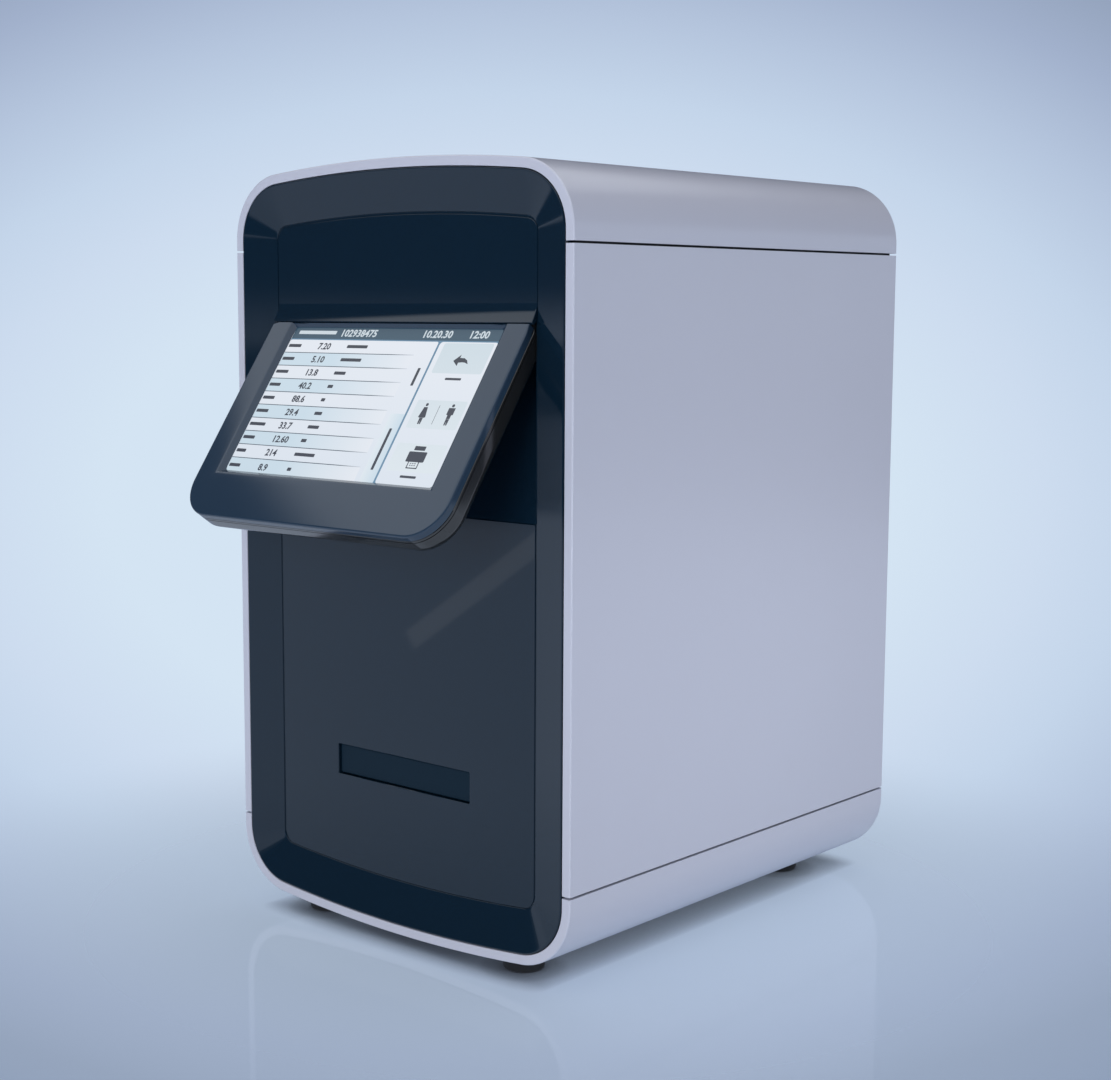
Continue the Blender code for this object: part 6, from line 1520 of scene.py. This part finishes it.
@dataclass
class Picture:
    """The picture on the display: a header, ten ruled rows, a tab column and three tiles.

    The marks' places are in millimetres across and down; a layer counts the steps in front of the
    glass.
    """

    left: float = -62.3
    right: float = 62.3
    top: float = 1.3
    bottom: float = 76.6
    header: float = 8.0
    header_gap: float = 0.6
    border: float = 1.0
    row: float = 6.84
    rows: int = 10
    rule: float = 0.36
    rule_end: float = 18.0
    rule_fade: float = 13.0
    divider: float = 28.9
    divider_width: float = 1.1
    name_left: float = -61.6
    value_left: float = -42.4
    unit_left: float = -24.2
    bar: float = 1.6
    raised: float = 0.2
    last_lowered: float = 0.6
    blunt: float = 0.3
    figure: float = 3.3
    header_figure: float = 3.6
    header_line: float = 6.0
    capital_share: float = 0.72
    boldness: float = 0.04
    level: float = 2.4 * MM
    step: float = 0.02 * MM
    thickness: float = 0.9
    lines: tuple[tuple[str, float, float], ...] = (
        ("7.20", 8.0, 12.6),
        ("5.10", 7.6, 12.6),
        ("13.8", 7.9, 7.0),
        ("40.2", 7.0, 3.2),
        ("88.6", 7.4, 2.4),
        ("29.4", 7.6, 4.6),
        ("33.7", 10.0, 6.8),
        ("12.60", 7.4, 3.2),
        ("214", 6.0, 12.4),
        ("8.9", 7.0, 2.4),
    )

    def levels(self, layer: int) -> Flat:
        """Depths of a layer's front and back."""
        return self.level - layer * self.step, self.level - (layer - self.thickness) * self.step

    def slab(self, body: Body, outline: np.ndarray, layer: int = 5) -> None:
        """Adds a thin slab with a given outline."""
        body.loft(DISPLAY.rings([(outline * MM, level) for level in self.levels(layer)]))

    def panels(self, body: Body, layer: int, corner: float, *boxes: Box) -> None:
        """Adds rectangles, each given by its left, top, right and bottom."""
        for box in boxes:
            self.slab(body, rounded_box(box, corner, corner, 4 if corner else 0), layer)

    def number(self, body: Body, text: str, place: Flat, height: float, layer: int = 5) -> None:
        """Adds a number as flat figures.

        Args:
            body: The mesh in the making.
            text: The figures.
            place: Left end and lower edge.
            height: Height of the figures.
            layer: The layer.
        """
        size = height * MM
        curve = bpy.data.curves.new("figures", "FONT")
        curve.body = text
        curve.size = size / self.capital_share
        curve.offset = self.boldness * size
        curve.resolution_u = 2
        holder = linked("figures", curve)
        bpy.context.view_layer.update()
        mesh = bpy.data.meshes.new_from_object(holder)
        net = bmesh.new()
        net.from_mesh(mesh)
        grown = bmesh.ops.extrude_face_region(net, geom=net.faces[:])["geom"]
        lifted = [item for item in grown if isinstance(item, bmesh.types.BMVert)]
        bmesh.ops.translate(net, verts=lifted, vec=(0, 0, 1))
        net.to_mesh(mesh)
        net.free()
        flat = np.empty(len(mesh.vertices) * 3)
        mesh.vertices.foreach_get("co", flat)
        flat = flat.reshape(-1, 3)
        depth = np.where(flat[:, 2] > 0.5, *self.levels(layer))
        across, down = place[0] * MM + flat[:, 0], place[1] * MM - flat[:, 1]
        body.points.append(DISPLAY.stand(across, depth, down))
        body.faces += [[vertex + body.count for vertex in face.vertices] for face in mesh.polygons]
        body.count += len(flat)
        bpy.data.objects.remove(holder)
        bpy.data.curves.remove(curve)
        bpy.data.meshes.remove(mesh)

    def ground(self, sheets: dict[str, Body]) -> None:
        """The white grounds, what shows between them, the header, tab and tiles.

        Args:
            sheets: The meshes in the making, by colour.
        """
        left, right, low, top = self.left, self.right, self.bottom, self.header
        paper = sheets["paper"]
        self.panels(paper, 2, 0.9, (left, top, self.divider, low))
        self.panels(paper, 2, 1.6, (self.divider + self.divider_width, top, right, low))
        self.panels(sheets["divider"], 1, 0.0, (left, top - self.border, right, low))
        self.panels(sheets["header"], 2, 0.0, (left, self.top, right, top - self.header_gap))
        self.panels(sheets["tab"], 3, 0.8, (20.7, 43.5, self.divider, low))
        tiles = ((32.7, 8.6, 60.3, 23.3), (32.7, 36.3, 60.3, 49.8), (32.7, 56.9, 60.3, 70.0))
        self.panels(sheets["tiles"], 3, 1.0, *tiles)

    def rules(self, sheets: dict[str, Body]) -> None:
        """Pale bands on every second row, and the rules between rows with their fading ends.

        Args:
            sheets: The meshes in the making, by colour.
        """
        half, fade = self.rule / 2, self.rule_end - self.rule_fade
        for place in range(1, self.rows):
            top = self.header + place * self.row
            if place % 2:
                band = (self.left, top, self.rule_end, min(top + self.row, self.bottom))
                self.panels(sheets["bands"], 3, 0.0, band)
            self.panels(sheets["rules"], 5, 0.0, (self.left, top - half, fade, top + half))
            self.panels(sheets["rule_ends"], 5, 0.0, (fade, top - half, self.rule_end, top + half))

    def marks(self, ink: Body, chalk: Body) -> None:
        """Rows' numbers and bars, the tabs' bars and captions, the icons and the header's marks.

        Args:
            ink: The dark marks in the making.
            chalk: The header's pale marks in the making.
        """
        for place, (value, name, unit) in enumerate(self.lines):
            middle = self.header + (place + 0.5) * self.row - self.raised
            if place == self.rows - 1:
                middle += self.last_lowered
            top, low = middle - self.bar / 2, middle + self.bar / 2
            self.panels(ink, 5, self.blunt, (self.name_left, top, self.name_left + name, low))
            self.number(ink, value, (self.value_left, middle + self.figure / 2), self.figure)
            self.panels(ink, 5, self.blunt, (self.unit_left, top, self.unit_left + unit, low))
        tabs = ((24.2, 21.1, 25.7, 29.8), (24.2, 50.6, 25.7, 70.4))
        captions = ((42.0, 25.4, 50.8, 26.5), (42.2, 71.8, 51.0, 72.9))
        self.panels(ink, 5, self.blunt, *tabs, *captions)
        self.icons(ink)
        self.panels(chalk, 3, self.blunt, (-59.0, 3.2, -35.0, 5.0))
        for text, left in (("102938475", -32.0), ("10.20.30", 17.6), ("12:00", 44.2)):
            self.number(chalk, text, (left, self.header_line), self.header_figure, 3)

    def icons(self, ink: Body) -> None:
        """A bent arrow, two standing figures with a line between them, and a printer.

        Args:
            ink: The dark marks in the making.
        """
        arrow = [(41.9, 17.2), (45.0, 14.2), (45.0, 15.7), (47.6, 15.8), (49.4, 16.8)]
        arrow += [(50.6, 18.6), (48.6, 17.9), (47.0, 17.8), (45.0, 18.0), (45.0, 19.6)]
        self.slab(ink, np.array(arrow))
        turn = np.linspace(0, math.tau, 14, endpoint=False)
        disc = 0.75 * np.stack([np.cos(turn), np.sin(turn)], 1) + (0, -4.7)
        skirt = self.mirrored((1.0, -3.5), (2.0, 1.3), (1.2, 1.6))
        coat = self.mirrored((1.8, -3.6), (1.8, -0.4), (1.0, -0.2), (1.0, 1.6))
        legs = self.mirrored((0.95, 1.7), (0.8, 4.6), (0.15, 4.6), (0.0, 2.4))
        for across, cloth in ((38.9, skirt), (53.5, coat)):
            for part in (disc, cloth, legs):
                self.slab(ink, part + (across, 43.2))
        self.panels(ink, 5, 0.0, (43.2, 58.0, 49.2, 60.0))
        self.panels(ink, 5, 0.5, (41.2, 60.6, 51.2, 65.4))
        sheet = ((43.0, 64.9, 43.5, 68.4), (48.6, 64.9, 49.1, 68.4), (43.0, 68.0, 49.1, 68.5))
        dots = [(x, y, x + 0.7, y + 0.4) for y in (65.9, 66.8) for x in (44.4, 45.6, 46.8)]
        self.panels(ink, 5, 0.0, *sheet, *dots)
        self.panels(ink, 4, 0.0, (46.0, 38.6, 46.2, 47.6))

    def mirrored(self, *right: Flat) -> np.ndarray:
        """An outline with two like halves.

        Args:
            right: The points of its right half.

        Returns:
            The outline.
        """
        half = np.array(right)
        other = half[::-1] * (-1, 1)
        return np.vstack([half, other[1:] if half[-1, 0] == 0 else other])

    def build(self) -> None:
        """Builds the picture, one piece to a colour."""
        finishes = {
            "paper": Finish.PAPER,
            "divider": Finish.EDGE,
            "header": Finish.HEADER,
            "bands": Finish.BAND,
            "rules": Finish.RULE,
            "rule_ends": Finish.FADE,
            "tab": Finish.TAB,
            "tiles": Finish.TILE,
            "ink": Finish.INK,
            "header_marks": Finish.CHALK,
        }
        sheets = {name: Body() for name in finishes}
        self.ground(sheets)
        self.rules(sheets)
        self.marks(sheets["ink"], sheets["header_marks"])
        for name, finish in finishes.items():
            dress(sheets[name].finish(f"picture_{name}", smooth=20.0), finish, "display")


@dataclass
class Drawer:
    """What shows of the cartridge drawer: its face in the slot and the tray behind."""

    edge: float = 0.5 * MM
    corner: float = 0.7 * MM
    tray_edge: float = 0.25 * MM

    def build(self) -> None:
        """Lofts the face from its back over a rounded front edge, and softens the tray."""
        low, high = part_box("drawer_front")
        rings = []
        for inset, depth in [(0.0, high.y - low.y), *zip(*quarter(self.edge, steps=5))]:
            sides = (inset - high.x, low.z + inset, high.x - inset, high.z - inset)
            flat = rounded_box(sides, self.corner, self.corner, steps=4)
            rings.append(plate_loop(flat, low.y + depth - RIM_PLANE))
        body = Body()
        body.loft(np.stack(rings))
        dress(body.finish("drawer_face"), Finish.DRAWER, "drawer", "drawer_front")
        tray = refined("drawer_tray", "cartridge_tray", self.tray_edge)
        dress(tray, Finish.ACETAL, "drawer", "drawer_tray")


@dataclass
class Feet:
    """Four rubber feet whose tops follow the arched underside."""

    edge: float = 1.2 * MM
    bore: float = 1.9 * MM
    bore_edge: float = 0.3 * MM
    sink: float = 3.9 * MM
    sink_height: float = 2.8 * MM
    seat: float = 0.3 * MM

    def build(self) -> None:
        """Turns each foot about a sunk bore, and sets its top to the arch less its seat."""
        for place in ("front_left", "front_right", "rear_left", "rear_right"):
            low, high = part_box(f"foot_{place}")
            radius, sink, bore = (high.x - low.x) / 2, self.sink, self.bore
            corners = [(sink, 0), (radius, 0), (radius, 1), (bore, 1)]
            corners += [(bore, self.sink_height), (sink, self.sink_height)]
            profile = fillet(corners, [self.bore_edge, self.edge, 0, 0, 0, 0])
            body = Body()
            body.turned(profile, ((low.x + high.x) / 2, (low.y + high.y) / 2), count=48)
            points = body.points[0]
            top = points[:, 2] > 0.5
            points[top, 2] = OUTLINE.underside(points[top, 0]) - self.seat
            piece = body.finish(f"rubber_foot_{place}", smooth=35.0)
            dress(piece, Finish.RUBBER, "case", f"foot_{place}")


@dataclass
class ScrewHeads:
    """Pan heads with a cross recess, on the rear panel, fan guard, inlet and display."""

    radius: float = 3.1 * MM
    height: float = 1.7 * MM
    recess: float = 1.0 * MM
    recess_share: float = 1.15
    arm: float = 0.42 * MM
    arm_share: float = 0.63
    doming: float = 0.45
    shares: tuple[float, ...] = (
        0.0, 0.06, 0.1, 0.14, 0.2, 0.3, 0.42, 0.5, 0.58, 0.62, 0.66, 0.8, 0.92, 1.0
    )
    seat: float = 241.0 * MM
    guard_lift: float = 1.2 * MM
    guard_radius: float = 3.5 * MM
    inlet_lift: float = 2.7 * MM
    inlet_radius: float = 2.6 * MM
    display_depth: float = 14.3 * MM
    display_radius: float = 2.3 * MM
    steps: int = 48
    smooth: float = 40.0

    def head(self, body: Body, centre: np.ndarray, lean: float, radius: float) -> None:
        """Adds one head.

        Over the radius r its height is h (1 - d (r / R) squared), less recess times (recess_share -
        r / R) where the point lies in a cross; its arms reach arm to either side and are arm_share
        R long.

        Args:
            body: The mesh in the making.
            centre: Where the head meets its seat.
            lean: How far it points down from straight back.
            radius: The head's radius.
        """
        out = np.array([0.0, math.cos(lean), -math.sin(lean)])
        up = np.array([0.0, math.sin(lean), math.cos(lean)])
        side = np.cross(up, out)
        scale = radius / self.radius
        turn = np.linspace(0, math.tau, self.steps, endpoint=False)
        far, angle = np.meshgrid(np.array(self.shares) * radius, turn, indexing="ij")
        a, b = far * np.cos(angle), far * np.sin(angle)
        lift = self.height * scale * (1 - self.doming * (far / radius) ** 2)
        in_arm = (np.minimum(abs(a), abs(b)) < self.arm * scale) & (far < self.arm_share * radius)
        lift = lift - self.recess * scale * in_arm * (self.recess_share - far / radius)
        foot = centre + a[..., None] * up + b[..., None] * side
        grid = foot + lift[..., None] * out
        numbers = body.grid(np.concatenate([grid, foot[-1:]]), ring=True)
        body.cap(numbers[-1])

    def build(self) -> None:
        """Builds the heads of the rear panel, fan guard, inlet and display's back."""
        panel = ((56.0, 328.4), (56.0, 18.9), (89.0, 291.65), (89.0, 55.65))
        panel = [(hand * x, z) for hand in (-1, 1) for x, z in panel]
        fan = [(-18.0 + a, 250.0 + b) for a in (-35.75, 35.75) for b in (-35.75, 35.75)]
        inlet = ((32.0, 96.0), (72.0, 96.0))
        groups = (
            ("rear_panel_screw_heads", panel, 0.0, self.radius),
            ("fan_screw_heads", fan, self.guard_lift, self.guard_radius),
            ("inlet_screw_heads", inlet, self.inlet_lift, self.inlet_radius),
        )
        for name, places, lift, radius in groups:
            body = Body()
            for x, z in places:
                centre = np.array([x * MM, RIM_PLANE + self.seat + lift, z * MM])
                self.head(body, centre, 0.0, radius)
            dress(body.finish(name, self.smooth), Finish.STEEL, "case")
        body = Body()
        for x in (-68.7, 68.7):
            for down in (14.0, 80.0):
                centre = DISPLAY.stand(x * MM, self.display_depth, down * MM)
                self.head(body, centre, DISPLAY.tilt, self.display_radius)
        dress(body.finish("display_screw_heads", self.smooth), Finish.STEEL, "display")


@dataclass
class RearAndInside:
    """The rear panel's pieces with softened edges, and finishes for what stays as it is."""

    def build(self) -> None:
        """Softens the pieces that show, by millimetres, and gives the rest their finish."""
        softened = (
            ("rear_panel", "case_rear_panel", 0.3, Finish.CASE, "case"),
            ("power_inlet", "inlet_socket", 0.3, Finish.SATIN, "case"),
            ("switch_frame", "switch_bezel", 0.3, Finish.SATIN, "case"),
            ("power_rocker", "switch_rocker", 0.3, Finish.SATIN, "rocker"),
            ("fan_frame", "fan_housing", 0.4, Finish.SATIN, "case"),
            ("fan_rotor", "fan_blades", 0.0, Finish.SATIN, "fan"),
            ("fan_guard", "fan_finger_guard", 0.2, Finish.STEEL, "case"),
            ("network_port", "network_socket", 0.2, Finish.STEEL, "case"),
            ("usb_port_lower", "data_socket_lower", 0.15, Finish.STEEL, "case"),
            ("usb_port_upper", "data_socket_upper", 0.15, Finish.STEEL, "case"),
        )
        for node, name, width, finish, body in softened:
            dress(refined(node, name, width * MM), finish, body, node)
        finishes = {finish.slot: finish for finish in reversed(Finish)} | {"screen": Finish.PAPER}
        slots = {part["node"]: part["material_slot"] for part in frame["record"]["subparts"]}
        for node, piece in frame["nodes"].items():
            if piece.hide_render:
                continue
            coat(piece, finishes[slots[node]].material())
            LOG.info("%s keeps its solid, finished as %s", node, finishes[slots[node]].name)


# Studio


@dataclass(frozen=True)
class Lamp:
    """A soft rectangular light: where it stands and points, its sides, watts, colour and angles."""

    name: str
    place: Colour
    aim: Colour
    width: float
    height: float
    power: float
    mirrored: bool = False
    lean: float = 0.0
    spread: float = 180.0
    colour: Colour = (0.95, 0.97, 1.0)

    def make(self) -> None:
        """Builds the light with its face turned to where it points."""
        data = bpy.data.lights.new(self.name, "AREA")
        data.shape = "RECTANGLE"
        data.size, data.size_y = self.width, self.height
        data.energy = self.power
        data.color = self.colour
        data.spread = math.radians(self.spread)
        light = linked(self.name, data)
        away = unit(np.array(self.place) - np.array(self.aim))
        level = unit(np.cross((0.0, 0.0, 1.0), away))
        lean = math.radians(self.lean)
        side = math.cos(lean) * level + math.sin(lean) * np.cross(away, level)
        axes = np.column_stack([side, np.cross(away, side), away, self.place])
        light.matrix_world = Matrix([*axes.tolist(), [0, 0, 0, 1]])
        light.visible_camera = False
        light.visible_glossy = self.mirrored


@dataclass
class Studio:
    """Camera, pale floor, backdrop and soft lights."""

    location: Colour = (0.56729, -0.66202, 0.27913)
    pitch: float = math.radians(90 - 7.134)
    heading: float = math.radians(42.502)
    lens: float = 60.74
    sensor: float = 36.0
    shift: Flat = (0.0737, 0.0033)
    farthest: float = 50.0
    floor_rings: tuple[float, ...] = (0.001, 0.3, 0.8, 1.6, 4.0, 14.0)
    floor_colour: Colour = (219, 236, 255)
    floor_roughness: float = 0.045
    floor_specular: float = 0.65
    see_through: float = 0.5
    fade_start: float = 0.12
    fade_reach: float = 0.26
    # Painted contact shadow on the floor: its ambient-occlusion samples, reach, power and colour.
    painted_shadow_samples: int = 8
    painted_shadow_reach: float = 0.0115
    painted_shadow_power: float = 1.5
    painted_shadow_colour: Colour = (60, 62, 70)
    mirror_reach: float = 1.7
    mirror_fade: float = 0.25
    light: float = 0.58
    zenith_dimming: float = 0.3
    light_colour: Colour = (0.92, 0.945, 1.0)
    dark_wall: Colour = (52, 64, 84)
    wall_start: float = -0.02
    wall_fade: float = 0.03
    wall_lift: float = 0.16
    wall_lift_reach: float = 0.3
    ceiling: Colour = (1.1, 1.17, 1.26)
    ceiling_start: float = 0.578
    ceiling_fade: float = 0.02
    backdrop_middle: Colour = (-0.6617, 0.7429, -0.1010)
    backdrop_width: float = 1.6
    backdrop_reach: float = 0.6
    least_ahead: float = 0.2
    backdrop: tuple[tuple[float, Colour], ...] = (
        (0.22, (212, 228, 243)),
        (0.30, (205, 220, 239)),
        (0.36, (196, 213, 234)),
        (0.43, (181, 197, 221)),
        (0.50, (162, 177, 204)),
        (0.56, (147, 162, 187)),
        (0.62, (141, 157, 183)),
        (0.80, (164, 178, 203)),
        (1.00, (190, 203, 224)),
    )
    lamps: tuple[Lamp, ...] = (
        Lamp("overhead", (0.1, 0.2, 1.6), (0.0, 0.05, 0.1), 1.3, 1.3, 3.3),
        Lamp("front", (0.45, -1.7, 0.4), (0.0, -0.05, 0.15), 0.9, 0.9, 13.5),
        Lamp("right", (1.2, 0.1, 0.2), (0.1, 0.03, 0.13), 0.5, 0.15, 0.13, spread=30.0),
        Lamp(
            "strip",
            (-0.049, -0.202, 0.146),
            (-0.049, -0.09, 0.146),
            0.134,
            0.0107,
            0.0013,
            mirrored=True,
            lean=33.8,
        ),
    )

    def camera(self) -> None:
        """Places the camera."""
        data = bpy.data.cameras.new("camera")
        data.lens = self.lens
        data.sensor_width = self.sensor
        data.shift_x, data.shift_y = self.shift
        data.clip_end = self.farthest
        camera = linked("camera", data)
        camera.location = self.location
        camera.rotation_euler = (self.pitch, 0.0, self.heading)
        bpy.context.scene.camera = camera

    def floor(self) -> None:
        """A pale varnished floor.

        Where it is seen or mirrored it lets the backdrop through, all of it with distance. Close
        under and beside the case it carries a painted contact shadow: where ambient occlusion finds
        the case near, camera rays see a dark colour mixed in. What a surface mirrors of it ends at
        a reach.
        """
        body = Body()
        turn = np.linspace(0, math.tau, 64, endpoint=False)
        far = np.array(self.floor_rings)[:, None]
        grid = np.stack([far * np.cos(turn), far * np.sin(turn), 0 * far * turn], -1)
        body.grid(grid, ring=True)
        floor = body.finish("studio_floor")
        recipe = Recipe("studio_floor")
        recipe.put("Base Color", linear(*self.floor_colour))
        recipe.put("Roughness", self.floor_roughness)
        recipe.put("Specular IOR Level", self.floor_specular)
        x, y, _ = recipe.axes()
        distance = (x * x + y * y) ** 0.5
        fade = distance.rising(self.fade_start, self.fade_reach)
        fade = fade * fade * (3 - 2 * fade)
        share = (self.see_through + (1 - self.see_through) * fade) * recipe.seen()
        mix = recipe.blend(share, recipe.surface, recipe.node("ShaderNodeBsdfTransparent"))
        # Painted contact shadow: where ambient occlusion finds the case close, camera rays see a
        # dark diffuse colour mixed in.
        reach = {"Distance": self.painted_shadow_reach}
        air = recipe.node("ShaderNodeAmbientOcclusion", {"samples": self.painted_shadow_samples}, reach)
        painted_shadow_share = 1 - Value(recipe.tree, air.outputs["AO"]) ** self.painted_shadow_power
        colour = {"Color": linear(*self.painted_shadow_colour)}
        dark = recipe.node("ShaderNodeBsdfDiffuse", inputs=colour)
        mix = recipe.blend(painted_shadow_share * recipe.ray("Camera"), mix, dark)
        beyond = distance.rising(self.mirror_reach, self.mirror_fade) * recipe.ray("Glossy")
        wall = recipe.node("ShaderNodeEmission", inputs={"Color": linear(*self.dark_wall)})
        mix = recipe.blend(beyond, mix, wall)
        recipe.feed(recipe.tree.nodes["Material Output"].inputs["Surface"], mix.outputs[0])
        coat(floor, recipe.material)

    def world(self) -> None:
        """Soft light from all round, with a pale blue backdrop where it is seen or mirrored.

        The backdrop pales towards its middle: with a, u and v the reach of a direction ahead, to
        the right and up, the ramp reads sqrt((u / (a w)) squared + (v / a) squared), w being how
        much wider than high it is. Where a surface mirrors it, it is a dark wall above the floor,
        higher up behind the case than in front of it, and a bright ceiling over that.
        """
        world = bpy.data.worlds.new("studio")
        world.use_nodes = True
        bpy.context.scene.world = world
        graph = Graph(world.node_tree)
        graph.tree.nodes.clear()
        mirrored = graph.ray("Glossy")
        direction = graph.node("ShaderNodeTexCoord").outputs["Generated"]
        rise = graph.along(direction, (0.0, 0.0, 1.0))
        strength = self.light * (1 - self.zenith_dimming * rise.largest(0.0))
        inputs = {"Color": self.light_colour, "Strength": strength}
        light = graph.node("ShaderNodeBackground", inputs=inputs)
        middle = unit(np.array(self.backdrop_middle))
        right = unit(np.cross(middle, (0.0, 0.0, 1.0)))
        axes = (middle, right, np.cross(right, middle))
        ahead, u, v = (graph.along(direction, tuple(axis.tolist())) for axis in axes)
        ahead = ahead.largest(self.least_ahead)
        u, v = u / (ahead * self.backdrop_width), v / ahead
        radius = (u * u + v * v) ** 0.5 / self.backdrop_reach
        stops = tuple((place, linear(*colour)) for place, colour in self.backdrop)
        ramp = graph.node("ShaderNodeValToRGB", {"stops": stops}, {0: radius})
        behind = graph.along(direction, (0.0, 1.0, 0.0)).rising(0.0, self.wall_lift_reach)
        above = rise.rising(self.wall_start + self.wall_lift * behind, self.wall_fade)
        colour = graph.mixed(above * mirrored, ramp.outputs[0], linear(*self.dark_wall))
        overhead = rise.rising(self.ceiling_start, self.ceiling_fade)
        colour = graph.mixed(overhead * mirrored, colour, self.ceiling)
        backdrop = graph.node("ShaderNodeBackground", inputs={"Color": colour})
        mix = graph.blend(graph.seen(), light, backdrop)
        graph.node("ShaderNodeOutputWorld", inputs={"Surface": mix.outputs[0]})

    def build(self) -> None:
        """Builds the camera, the floor, the backdrop and the lights."""
        self.camera()
        self.floor()
        self.world()
        for lamp in self.lamps:
            lamp.make()


def main() -> None:
    """Builds the studio and then each sub-assembly in order."""
    logging.basicConfig(level=logging.INFO, format="%(name)s: %(message)s")
    bpy.context.scene.view_settings.view_transform = "Standard"
    Studio().build()
    for kind in (CaseShells, FrontFace, Display, Picture, Drawer, Feet, ScrewHeads, RearAndInside):
        LOG.info("building %s", kind.__name__)
        kind().build()


if __name__ == "__main__":
    main()
